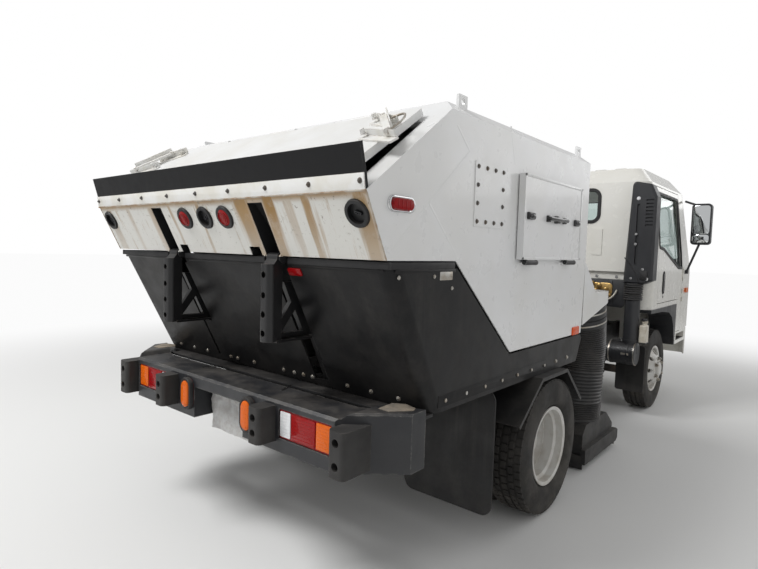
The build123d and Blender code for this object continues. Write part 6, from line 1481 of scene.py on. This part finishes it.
@dataclass
class SuctionHose:
    """The ribbed skin of the two big hoses, with their sleeves and clamps."""

    shop: Workshop
    radius: float = 0.185
    small_radius: float = 0.13
    rib_pitch: float = 0.0165
    rib_height: float = 0.0062
    inlet_x: float = -0.807

    def build(self) -> None:
        """Makes both skins, the sleeves and the clamps."""
        suction = (((-0.815, 0.19, 0.3003), 0), ((-0.815, 0.185, 0.42), 3),
                   ((self.inlet_x, 0.14, 0.64), 6), ((self.inlet_x, 0.115, 0.8), -2),
                   ((self.inlet_x, 0.135, 0.96), -13), ((self.inlet_x, 0.17, 1.107), -13))
        pressure = (((0.64, 0.17, 0.3003), 0), ((0.64, 0.17, 0.4), 0),
                    ((0.64, 0.11, 0.62), 0), ((0.64, 0.11, 0.805), 0))
        form = Form()
        self._ribs(form, suction, self.radius, (0.03, 0.8))
        self._ribs(form, pressure, self.small_radius, (0.05, 0.94))
        self.shop.piece("hose_ribs", form, "hose_rubber")
        form = Form()
        for low, high in ((0.8, 0.88), (0.89, 0.985)):
            self._band(form, suction, self.radius, low, high, 0.008)
        self._band(form, suction, self.radius, 0.0, 0.03, 0.006)
        self.shop.piece("hose_sleeves", form, "hose_rubber")
        form = Form()
        for at in (0.84, 0.94):
            self._band(form, suction, self.radius, at - 0.007, at + 0.007, 0.0098)
        for at in (0.03, 0.955):
            self._band(form, pressure, self.small_radius, at - 0.01, at + 0.01, 0.005)
        self.shop.piece("hose_clamps", form, "zinc_steel")

    @staticmethod
    def _ring(sections: Sequence[tuple[Point, float]], share: float, radius: float) -> list[Vector]:
        """One ring of the hose's skin.

        Args:
            sections: Origin and tilt in degrees of each of the hose's sections.
            share: How far along the sections it lies, from 0 to 1.
            radius: The ring's radius.

        Returns:
            The ring's points.
        """
        spot = min(max(share, 0.0), 1.0) * (len(sections) - 1)
        first = min(int(spot), len(sections) - 2)
        loops = []
        for origin, tilt in sections[first:first + 2]:
            place = Matrix.Translation(origin) @ Matrix.Rotation(math.radians(tilt), 4, "X")
            loops.append([place @ Vector((radius * math.cos(a), radius * math.sin(a), 0))
                          for a in (2 * math.pi * k / 60 for k in range(60))])
        return [low.lerp(high, spot - first) for low, high in zip(*loops)]

    def _ribs(
        self, form: Form, sections: Sequence[tuple[Point, float]], radius: float, reach: Flat,
    ) -> None:
        """Adds the ribbed part of a hose.

        Args:
            form: The mesh to add to.
            sections: The hose's sections.
            radius: The hose's radius.
            reach: The shares between which it is ribbed.
        """
        length = sum((Vector(b[0]) - Vector(a[0])).length for a, b in zip(sections, sections[1:]))
        count = round(length * (reach[1] - reach[0]) / self.rib_pitch)
        rings = []
        for index in range(count):
            for part, lift in ((0.0, 0.0008), (0.25, 0.45), (0.42, 1.0), (0.68, 1.0), (0.85, 0.45)):
                share = reach[0] + (reach[1] - reach[0]) * (index + part) / count
                rings.append(self._ring(sections, share, radius + self.rib_height * lift + 0.0004))
        rings.append(self._ring(sections, reach[1], radius + 0.0004))
        form.skin(rings, caps=False)

    def _band(
        self, form: Form, sections: Sequence[tuple[Point, float]], radius: float,
        low: float, high: float, lift: float,
    ) -> None:
        """Adds a smooth band round a hose.

        Args:
            form: The mesh to add to.
            sections: The hose's sections.
            radius: The hose's radius.
            low: The share where it starts.
            high: The share where it ends.
            lift: How far it stands proud.
        """
        edge = (high - low) * 0.06
        form.skin([self._ring(sections, low, radius + 0.0003),
                   self._ring(sections, low + edge * 0.2, radius + lift * 0.8),
                   self._ring(sections, low + edge, radius + lift),
                   self._ring(sections, high - edge, radius + lift),
                   self._ring(sections, high - edge * 0.2, radius + lift * 0.8),
                   self._ring(sections, high, radius + 0.0003)], caps=False)


@dataclass
class CabTrim:
    """Rubbers, handles, mirrors, lamps, grille, wipers, step mats and the cab's back."""

    shop: Workshop
    belt_z: float = 1.33
    belt_x: float = 0.998
    screen_rise: float = 0.9431
    screen_lean: float = 0.3325
    front_y: float = -2.715
    back_y: float = -1.07
    windscreen: tuple[Flat, ...] = (
        (-0.89, 1.42), (0.89, 1.42), (0.82, 2.07), (-0.82, 2.07))
    door_window: tuple[Flat, ...] = (
        (-2.225, 1.345), (-2.07, 1.35), (-1.5, 1.525), (-1.345, 1.54), (-1.345, 2.03),
        (-2.125, 2.03), (-2.225, 1.5))
    pane_rise: float = 0.9962
    handle: Flat = (-1.485, 1.215)
    lamp: Flat = (0.745, 0.895)

    def build(self) -> None:
        """Makes each group of the cab's small parts."""
        self._windows()
        for side in Side:
            self._door(side)
        self._mirrors()
        self._front()
        self._wipers()
        self._steps()
        self._back()

    def _screen(self) -> Matrix:
        """The frame that the windscreen lies in, at its foot."""
        lean, rise = self.screen_lean, self.screen_rise
        return frame_at((0, self.front_y, self.belt_z), (0, -rise, lean), (0, lean, rise))

    def _windows(self) -> None:
        """The rubbers of the windscreen and of the small rear window."""
        form = Form()
        glass = round_corners([(x, (z - self.belt_z) / self.screen_rise) for x, z in self.windscreen], 0.06)
        form.band(self._screen(), glass, 0.022, 0.012, -0.003, 0.005)
        back = frame_at((0, self.back_y, self.belt_z), (0, 1, 0.0128), (0, -0.0128, 1))
        rear = round_corners([(x * 0.51, z - self.belt_z) for x, z in
                              ((-1, 1.765), (1, 1.765), (1, 2.048), (-1, 2.048))], 0.062, 7)
        form.band(back, rear, 0.02, 0.01, -0.003, 0.009)
        self.shop.piece("cab_window_rubbers", form, "black_rubber", "cab")

    def _door(self, side: Side) -> None:
        """The window rubber, the division bar and the black handle of one door.

        Args:
            side: The side of the vehicle.
        """
        body = f"door_{side.word}"
        sign = side.value
        pane = frame_at((sign * self.belt_x, 0, self.belt_z), (sign * self.pane_rise, 0, 0.0868))
        outline = [(sign * y, (z - self.belt_z) / self.pane_rise) for y, z in self.door_window]
        form = Form()
        form.band(pane, round_corners(outline, 0.024), 0.014, 0.012, -0.004, 0.0065)
        form.strap(pane, (sign * -2.118, 0.02), (sign * -2.118, 0.69), 0.024, -0.004, 0.009)
        self.shop.piece(f"{body}_window_rubber", form, "black_rubber", body)
        form = Form()
        pocket = frame_at((sign * self.belt_x, *self.handle), (sign, 0, 0))
        cup = rounded_outline(0.086, 0.21, 0.0425, 8)
        form.band(pocket, cup, 0.005, 0.0015, -0.0135, 0.0025)
        form.layers(pocket, [(0.084, 0.208, 0.0415, -0.0139), (0.084, 0.208, 0.0415, -0.0125),
                             (0.076, 0.2, 0.038, -0.012)], 8)
        form.layers(pocket, [(0.03, 0.168, 0.012, -0.0125), (0.032, 0.17, 0.013, 0.001),
                             (0.028, 0.162, 0.011, 0.0055), (0.016, 0.146, 0.006, 0.0068)], 6)
        key = moved(pocket, 0, -0.128)
        form.turned(key, [(0.0125, 0.0), (0.012, 0.0022), (0.0075, 0.0026), (0.007, 0.0012)], 20)
        self.shop.piece(f"{body}_handle", form, "gloss_black", body)

    def _mirrors(self) -> None:
        """The silvered faces of the two tall mirrors."""
        form = Form()
        for side in Side:
            face = frame_at((side.value * 1.125, -2.345, 1.845), BACK)
            form.layers(face, [(0.152, 0.29, 0.026, -0.001), (0.152, 0.29, 0.026, 0.0012),
                               (0.146, 0.284, 0.023, 0.002)], 6)
            form.layers(moved(face, 0, -0.193), [
                (0.15, 0.082, 0.024, -0.001), (0.15, 0.082, 0.024, 0.0012),
                (0.12, 0.056, 0.018, 0.0052), (0.06, 0.02, 0.009, 0.0072)], 6)
        self.shop.piece("mirror_faces", form, "mirror_face", "cab")

    def _front(self) -> None:
        """The grille's fins, the lamps' bezels and lenses, fog lamps and a blank plate."""
        form = Form()
        for row in range(4):
            middle = 0.83125 + 0.0825 * row
            for index in range(27):
                x = -0.52 + 0.04 * index
                form.box((x - 0.003, -2.7245, middle - 0.0285), (x + 0.003, -2.7315, middle + 0.0285))
        self.shop.piece("grille_fins", form, "gloss_black", "cab")
        rims, glass, amber = Form(), Form(), Form()
        for side in Side:
            face = frame_at((side.value * self.lamp[0], -2.7353, self.lamp[1]), AHEAD)
            out = side.value
            rims.band(face, rounded_outline(0.29, 0.19, 0.048, 8), 0.004, 0.013, -0.016, 0.003)
            for along in (-0.056, 0.036):
                bowl = moved(face, out * along)
                rims.turned(bowl, [(0.0445, -0.004), (0.0445, 0.0022), (0.0415, 0.0026), (0.04, 0.0)], 32)
                glass.turned(bowl, [(0.04, 0.0), (0.0385, 0.0024), (0.028, 0.0048),
                                    (0.012, 0.006), (0.001, 0.0062)], 32)
            amber.pad(moved(face, out * 0.106), 0.04, 0.128, 0.004, 0.012, 0.0015)
            fog = frame_at((side.value * 0.67, -2.7385, 0.4825), AHEAD)
            glass.layers(fog, [(0.118, 0.058, 0.02, -0.03), (0.118, 0.058, 0.02, -0.008),
                               (0.096, 0.04, 0.012, -0.003)], 6)
        self.shop.piece("headlamp_bezels", rims, "gloss_black", "cab")
        self.shop.piece("indicator_lenses", amber, "amber_lens", "cab")
        self.shop.piece("lamp_glasses", glass, "clear_lens", "cab")
        form = Form()
        plate = frame_at((0, -2.74, 0.585), AHEAD)
        form.pad(plate, 0.32, 0.15, 0.002, 0.008, 0.0007)
        form.band(plate, rounded_outline(0.314, 0.144, 0.007), 0.0, 0.004, 0.0018, 0.0034)
        for way in (-1, 1):
            form.bolt(moved(plate, way * 0.11, 0.058, 0.002), 0.006, 0.004)
        self.shop.piece("front_plate_blank", form, "plate_sheet")

    def _wipers(self) -> None:
        """The two wipers parked along the windscreen's foot."""
        form = Form()
        glass = self._screen()
        for foot in (-0.15, 0.56):
            form.turned(moved(glass, foot, 0.05), [(0.018, -0.001), (0.017, 0.012), (0.01, 0.016)], 16)
            form.strap(glass, (foot, 0.05), (foot - 0.33, 0.122), 0.013, 0.01, 0.006)
            form.strap(glass, (foot - 0.62, 0.13), (foot - 0.06, 0.116), 0.007, 0.003, 0.01)
        self.shop.piece("wipers", form, "gloss_black", "cab")

    def _steps(self) -> None:
        """The ribbed mats in the two step recesses."""
        form = Form()
        for side in Side:
            mat = frame_at((side.value * 0.934, -2.325, 0.604), UP, BACK)
            form.pad(mat, 0.118, 0.35, 0.004, 0.006, 0.001)
            for index in range(15):
                form.pad(moved(mat, 0, -0.154 + 0.022 * index), 0.106, 0.01, 0.003, 0.002, 0.001, 0.0035)
        self.shop.piece("step_mats", form, "black_rubber", "cab")

    def _back(self) -> None:
        """The cab back's bolt heads, the engine shield and the intake's ribs."""
        form = Form()
        for x, z, size in ((-0.887, 1.946, 0.011), (-0.882, 1.642, 0.008), (-0.881, 1.558, 0.008),
                           (-0.95, 1.343, 0.008), (-0.985, 1.262, 0.011), (-0.86, 1.262, 0.008)):
            form.bolt(frame_at((x, -0.93, z), BACK), size, 0.008)
        for x, z in ((-0.528, 1.261), (-0.701, 1.262), (-0.3, 1.262), (0.3, 1.262),
                     (0.528, 1.261), (0.701, 1.262)):
            form.bolt(frame_at((x, -1.0702, z), BACK), 0.011, 0.009)
        self.shop.piece("cab_back_bolts", form, "polished_rod", "cab")
        form = Form()
        shield = frame_at((0, -1.07, 1.115), BACK)
        form.pad(shield, 1.56, 0.252, 0.005, 0.03, 0.002, -0.001)
        for along in (-0.66, -0.4, 0.4, 0.66):
            form.pad(moved(shield, along), 0.03, 0.225, 0.012, 0.008, 0.003)
        self.shop.piece("engine_shield", form, "black_plastic", "cab")
        self._fittings(shield)
        form = Form()
        face = frame_at((-0.96, -0.93, 1.29), BACK)
        form.pad(face, 0.06, 0.074, 0.009, 0.006, 0.002)
        groove = frame_at((0, -0.93, 0), BACK)
        for start, end in (((0.8, 1.44), (0.858, 1.37)), ((0.858, 1.37), (0.9, 1.3)),
                           ((0.9, 1.3), (0.925, 1.232))):
            form.strap(groove, start, end, 0.009, -0.001, 0.004)
        for index in range(8):
            ring = frame_at((-0.872, -0.985, 1.079 + 0.0185 * index), UP, BACK)
            form.turned(ring, [(0.0715, -0.006), (0.0765, -0.003), (0.0785, 0.0),
                               (0.0765, 0.003), (0.0715, 0.006)], 40)
        self.shop.piece("intake_bellows_ribs", form, "black_rubber", "cab")

    def _fittings(self, shield: Matrix) -> None:
        """The cast fittings, pipes and pale hose in front of the dark shield.

        Args:
            shield: The frame at the shield's middle.
        """
        form = Form()
        for across, up, size in ((0.56, 0.06, 0.03), (0.62, 0.03, 0.024), (0.585, -0.01, 0.026),
                                 (0.655, -0.02, 0.019), (0.53, 0.02, 0.02), (0.5, 0.085, 0.018)):
            place = moved(shield, across, up, 0.003)
            form.turned(place, [(size, -0.002), (size, 0.012), (size * 0.78, 0.017),
                                (size * 0.74, 0.03), (size * 0.4, 0.034)], 18)
            form.bolt(moved(place, size * 0.2, 0, 0.034), size * 0.36, 0.009)
        form.pad(moved(shield, 0.585, 0.035), 0.18, 0.11, 0.014, 0.03, 0.006)
        self.shop.piece("back_fittings", form, "brass_fitting", "cab")
        form = Form()
        line = [(0.48, 0.0, 0.02), (0.54, -0.05, 0.04), (0.64, -0.066, 0.042),
                (0.7, -0.02, 0.03), (0.715, 0.03, 0.018)]
        form.tube([tuple(shield @ Vector(point)) for point in line], 0.0075)
        self.shop.piece("back_pipe", form, "bottle_plastic", "cab")


@dataclass
class IntakeAndEngine:
    """The air cleaner's bands, the bottle's cap and the metal parts behind the cab."""

    shop: Workshop
    drum: Point = (0.0, -0.985, 0.605)
    drum_radius: float = 0.098

    def build(self) -> None:
        """Makes the drum's ribs and label plate, the cap and the engine's fittings."""
        form = Form()
        for index in range(17):
            place = frame_at((-0.728 - 0.0115 * index, *self.drum[1:]), (-1, 0, 0))
            form.turned(place, [(self.drum_radius - 0.001, -0.003), (self.drum_radius + 0.0035, -0.002),
                                (self.drum_radius + 0.0035, 0.002), (self.drum_radius - 0.001, 0.003)], 48)
        self.shop.piece("air_cleaner_ribs", form, "black_plastic")
        form = Form()
        for x in (-0.7215, -0.92):
            form.turned(frame_at((x, *self.drum[1:]), (-1, 0, 0)), [
                (self.drum_radius, -0.007), (self.drum_radius + 0.006, -0.006),
                (self.drum_radius + 0.006, 0.006), (self.drum_radius, 0.007)], 48)
        tag = frame_at((-0.856, self.drum[1] + self.drum_radius + 0.003, 0.606), BACK)
        form.pad(tag, 0.064, 0.018, 0.0016, 0.003, 0.0005)
        self.shop.piece("air_cleaner_bands", form, "zinc_steel")
        form = Form()
        cap = frame_at((-0.971, -1.01, 0.8975), UP, BACK)
        form.turned(cap, [(0.022, -0.001), (0.022, 0.013), (0.02, 0.016), (0.008, 0.017)], 24)
        form.turned(cap, [(0.0255, 0.002), (0.0255, 0.006)], 24)
        self.shop.piece("washer_bottle_cap", form, "black_plastic")
        self._engine()

    def _engine(self) -> None:
        """The cast cover, pipes and hoses that show between the cab and the body."""
        form = Form()
        for x in (-0.2, -0.07, 0.06, 0.19):
            top = frame_at((x, -0.86, 1.14), UP, BACK)
            form.turned(top, [(0.046, -0.002), (0.046, 0.012), (0.03, 0.022), (0.012, 0.024)], 20)
            form.bolt(moved(top, 0, 0.075, -0.001), 0.011, 0.012)
        for z in (0.8, 0.9, 1.0, 1.09):
            for way in (-1, 1):
                form.bolt(frame_at((way * 0.25, -0.72, z), BACK), 0.013, 0.012)
        for index in range(7):
            fin = frame_at((-0.29, -0.8 - 0.085 * index, 0.96), (-1, 0, 0))
            form.pad(fin, 0.02, 0.2, 0.02, 0.004, 0.003, -0.002)
        self.shop.piece("engine_castings", form, "brass_fitting")
        form = Form()
        for offset in (0.0, 0.03):
            form.tube([(-0.24, -0.715, 1.0 - offset), (-0.24, -0.66, 1.0 - offset),
                       (-0.33, -0.64, 0.96 - offset), (-0.4, -0.66, 0.86 - offset),
                       (-0.425, -0.76, 0.745)], 0.009)
        self.shop.piece("engine_pipes", form, "zinc_steel")


@dataclass
class CabSeats:
    """Two seats: a plinth with a padded cushion and back on each side."""

    shop: Workshop
    middle_x: float = 0.635
    voxel: float = 0.008
    pressure: float = 4.0
    cap: float = 0.016
    frames: int = 20

    def build(self) -> None:
        """Makes the pads once, on the left, and mirrors them to the right."""
        form = Form()
        for side in Side:
            out = side.value * self.middle_x
            form.box((out - 0.225, -1.965, 1.026), (out + 0.225, -1.4, 1.3), 0.015)
            form.box((out - 0.232, -1.44, 1.28), (out + 0.232, -1.365, 1.4), 0.012)
        self.shop.piece("seat_plinths", form, "cabin_plastic", "cab", ["seats"])
        form = Form()
        form.box((self.middle_x - 0.222, -1.965, 1.305), (self.middle_x + 0.222, -1.505, 1.392), 0.03)
        self._pad("seat_cushion", form, Vector(UP), 1.348, 0.06)
        form = Form()
        form.box((self.middle_x - 0.215, -0.048, -0.212), (self.middle_x + 0.215, 0.04, 0.212), 0.03)
        lean = Matrix.Translation((0, -1.408, 1.633)) @ Matrix.Rotation(math.radians(-6.4), 4, "X")
        bmesh.ops.transform(form.bm, matrix=lean, verts=form.bm.verts)
        self._pad("seat_back", form, Vector((0, -1, 0.11)), None, 0.06)

    def _pad(self, name: str, form: Form, facing: Vector, seam_z: float | None, pitch: float) -> None:
        """Blows a pad up as cloth, presses its sewn channels and makes both sides' pads.

        Args:
            name: The pad's name, to which the side is added.
            form: Its starting form on the left side.
            facing: The direction that the pad's face looks in.
            seam_z: The height of the piping round it, or None for a pad without.
            pitch: The distance between the sewn channels.
        """
        mesh = bpy.data.meshes.new(name)
        form.bm.to_mesh(mesh)
        form.bm.free()
        holder = bpy.data.objects.new(name, mesh)
        bpy.context.scene.collection.objects.link(holder)
        remesh = holder.modifiers.new("even", "REMESH")
        remesh.mode = "VOXEL"
        remesh.voxel_size = self.voxel
        start = self._baked(holder)
        holder.modifiers.remove(remesh)
        holder.data = start
        grown = self._inflate(holder)
        facing = facing.normalized()
        for side in Side:
            made = Form()
            made.bm.from_mesh(grown)
            made.bm.normal_update()
            for vert in made.bm.verts:
                turned = max(0.0, vert.normal.dot(facing))
                off = (vert.co.x - self.middle_x) / pitch
                groove = math.exp(-((off - round(off)) * pitch / 0.0075) ** 2) if abs(off) < 2.6 else 0.0
                vert.co -= facing * (0.0065 * groove * turned)
                vert.co.x *= side.value
            if side is Side.RIGHT:
                bmesh.ops.reverse_faces(made.bm, faces=made.bm.faces)
            bmesh.ops.smooth_vert(made.bm, verts=made.bm.verts, factor=0.3, use_axis_x=True,
                                  use_axis_y=True, use_axis_z=True)
            pad = self.shop.piece(f"{name}_{side.word}", made, "seat_cloth", "cab")
            if seam_z is not None:
                piping = Form()
                middle = frame_at((side.value * self.middle_x, -1.735, seam_z), UP, BACK)
                piping.band(middle, rounded_outline(0.444, 0.46, 0.034, 8), 0.012, 0.0, -0.004, 0.004)
                self.shop.piece(f"{name}_piping_{side.word}", piping, "seat_cloth", "cab")
        bpy.data.objects.remove(holder)

    @staticmethod
    def _baked(obj: bpy.types.Object) -> bpy.types.Mesh:
        """The object's mesh with its modifiers applied."""
        graph = bpy.context.evaluated_depsgraph_get()
        return bpy.data.meshes.new_from_object(obj.evaluated_get(graph))

    def _inflate(self, obj: bpy.types.Object) -> bpy.types.Mesh:
        """Runs the cloth and keeps every point within the cap of where it was.

        Args:
            obj: The remeshed pad.

        Returns:
            The swollen mesh.
        """
        cloth = obj.modifiers.new("swell", "CLOTH")
        cloth.settings.use_pressure = True
        cloth.settings.uniform_pressure_force = self.pressure
        cloth.settings.effector_weights.gravity = 0.0
        cloth.settings.quality = 4
        cloth.point_cache.frame_end = self.frames
        scene = bpy.context.scene
        for frame in range(1, self.frames + 1):
            scene.frame_set(frame)
        grown = self._baked(obj)
        obj.modifiers.remove(cloth)
        scene.frame_set(1)
        for vert, before in zip(grown.vertices, obj.data.vertices):
            move = vert.co - before.co
            if move.length > self.cap:
                vert.co = before.co + move.normalized() * self.cap
        return grown


@dataclass
class LowerParts:
    """Rubber skirts of the pickup head, tank cap, spring bolts and brake parts."""

    shop: Workshop

    def build(self) -> None:
        """Makes the parts under the vehicle."""
        form = Form()
        low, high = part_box("pickup_head")
        for y in (low[1] + 0.004, high[1] - 0.012):
            for index in range(12):
                x = low[0] + 0.02 + index * 0.1645
                form.box((x, y, 0.012), (x + 0.16, y + 0.008, 0.105), 0.002)
        self.shop.piece("pickup_skirts", form, "flap_rubber")
        form = Form()
        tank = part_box("fuel_tank")
        cap = frame_at((tank[1][0] - 0.002, -0.64, 0.69), (1, 0, 0.25))
        form.turned(cap, [(0.046, -0.03), (0.046, 0.01), (0.052, 0.012), (0.052, 0.034),
                          (0.04, 0.04), (0.01, 0.041)], 28)
        self.shop.piece("fuel_cap", form, "gloss_black")
        form = Form()
        for side in Side:
            x = side.value * 0.408
            for y, z in ((-1.629, 0.3), (1.14, 0.29)):
                for along in (-0.06, 0.06):
                    for across in (-0.04, 0.04):
                        form.tube([(x + across, y + along, z), (x + across, y + along, z + 0.1),
                                   (x + across, y + along, z + 0.21)], 0.008)
                    form.box((x - 0.048, y + along - 0.009, z + 0.2),
                             (x + 0.048, y + along + 0.009, z + 0.218), 0.003)
        self.shop.piece("spring_bolts", form, "rusty_steel")
        form = Form()
        for x, y, z in ((-0.3, 1.33, 0.48), (0.3, 1.33, 0.48)):
            drum = frame_at((x, y, z), (0, -1, 0.1))
            form.turned(drum, [(0.03, -0.07), (0.07, -0.06), (0.078, -0.04), (0.078, -0.006),
                               (0.083, -0.004), (0.083, 0.004), (0.078, 0.006), (0.078, 0.04),
                               (0.066, 0.062), (0.024, 0.07)], 32)
        self.shop.piece("brake_chambers", form, "cast_iron")


@dataclass
class Studio:
    """The floor, the light and the camera."""

    pixel_focal: float = 540.79
    width: int = 758
    eye: Point = (-2.1999, 4.0403, 1.4506)
    yaw: float = 0.698706
    pitch: float = 0.0651635
    roll: float = 0.0285831
    fade: Flat = (3.4, 8.0)

    def build(self) -> None:
        """Makes the floor, the lamps, the world and the camera."""
        self._floor()
        self._world()
        self._lamps()
        self._camera()
        bpy.context.scene.view_settings.view_transform = "Standard"

    def _floor(self) -> None:
        """A wide pale floor that holds the shadow and fades to white far out."""
        bm = bmesh.new()
        bmesh.ops.create_grid(bm, x_segments=1, y_segments=1, size=60.0)
        mesh = bpy.data.meshes.new("floor")
        bm.to_mesh(mesh)
        bm.free()
        floor = bpy.data.objects.new("floor", mesh)
        bpy.context.scene.collection.objects.link(floor)
        material, g, shader = new_material("studio_floor")
        shader.inputs["Base Color"].default_value = (0.8, 0.8, 0.79, 1.0)
        shader.inputs["Roughness"].default_value = 0.9
        glow = g.feed(g.add("Emission"), Color=(1.0, 1.0, 1.0), Strength=0.97)
        reach = g.add("VectorMath", operation="LENGTH")
        g.into(reach.inputs[0], g.place())
        far = g.spread(reach.outputs["Value"], *self.fade)
        blend = g.add("MixShader")
        g.into(blend.inputs[0], g.times(far, g.add("LightPath").outputs["Is Camera Ray"]))
        g.into(blend.inputs[1], shader.outputs[0])
        g.into(blend.inputs[2], glow.outputs[0])
        g.feed(g.tree.nodes["Material Output"], Surface=blend.outputs[0])
        mesh.materials.append(material)

    def _world(self) -> None:
        """Soft light from all round, white where the camera or a reflection sees it."""
        world = bpy.data.worlds.new("studio")
        bpy.context.scene.world = world
        world.use_nodes = True
        g = Graph(world.node_tree)
        path = g.add("LightPath").outputs
        others = g.times(g.plus(path["Is Glossy Ray"], path["Is Transmission Ray"]), 0.3)
        seen = g.math("ADD", path["Is Camera Ray"], others, clamp=True)
        light = g.feed(g.add("Background"), Color=(1.0, 1.0, 1.0), Strength=g.plus(g.times(seen, 0.6), 0.4))
        g.feed(g.add("OutputWorld"), Surface=light.outputs[0])

    def _lamps(self) -> None:
        """A large key light high over the left rear and three weaker fills."""
        for name, place, size, power in (
            ("key", (2.5, 6.5, 8.0), 3.2, 600.0), ("fill", (-6.5, 2.5, 3.5), 6.0, 45.0),
            ("rear", (2.0, 8.5, 1.3), 5.0, 45.0), ("front", (-4.0, -7.5, 5.5), 6.0, 130.0),
        ):
            data = bpy.data.lights.new(name, "AREA")
            data.size = size
            data.energy = power
            lamp = bpy.data.objects.new(name, data)
            lamp.location = place
            aim = Vector((0.0, 0.6, 1.0)) - Vector(place)
            lamp.rotation_euler = aim.to_track_quat("-Z", "Y").to_euler()
            bpy.context.scene.collection.objects.link(lamp)

    def _camera(self) -> None:
        """The camera of the photograph's view."""
        data = bpy.data.cameras.new("camera")
        data.sensor_fit = "HORIZONTAL"
        data.sensor_width = 36.0
        data.lens = self.pixel_focal / self.width * data.sensor_width
        data.clip_end = 200.0
        camera = bpy.data.objects.new("camera", data)
        bpy.context.scene.collection.objects.link(camera)
        forward = Vector((math.sin(self.yaw) * math.cos(self.pitch),
                          -math.cos(self.yaw) * math.cos(self.pitch), -math.sin(self.pitch)))
        level = forward.cross(Vector(UP)).normalized()
        upright = level.cross(forward)
        right = math.cos(self.roll) * level + math.sin(self.roll) * upright
        up = math.cos(self.roll) * upright - math.sin(self.roll) * level
        turn = Matrix((right, up, -forward)).transposed().to_4x4()
        camera.matrix_world = Matrix.Translation(self.eye) @ turn
        bpy.context.scene.camera = camera


def main() -> None:
    """Builds the whole scene around the frame."""
    logging.basicConfig(level=logging.INFO, format="%(message)s")
    for obj in list(bpy.data.objects):
        bpy.data.objects.remove(obj)
    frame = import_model()
    paint = PaintShop()
    paint.dress_nodes(frame["nodes"])
    shop = Workshop(paint)
    RoadWheels(shop).build()
    HopperTrim(shop).build()
    for side in Side:
        SideTrim(shop, side).build()
    for kind in (DischargeLatches, RearEnd, ShroudTrim, SuctionHose, CabTrim, IntakeAndEngine,
                 CabSeats, LowerParts):
        kind(shop).build()
    Studio().build()


if __name__ == "__main__":
    main()
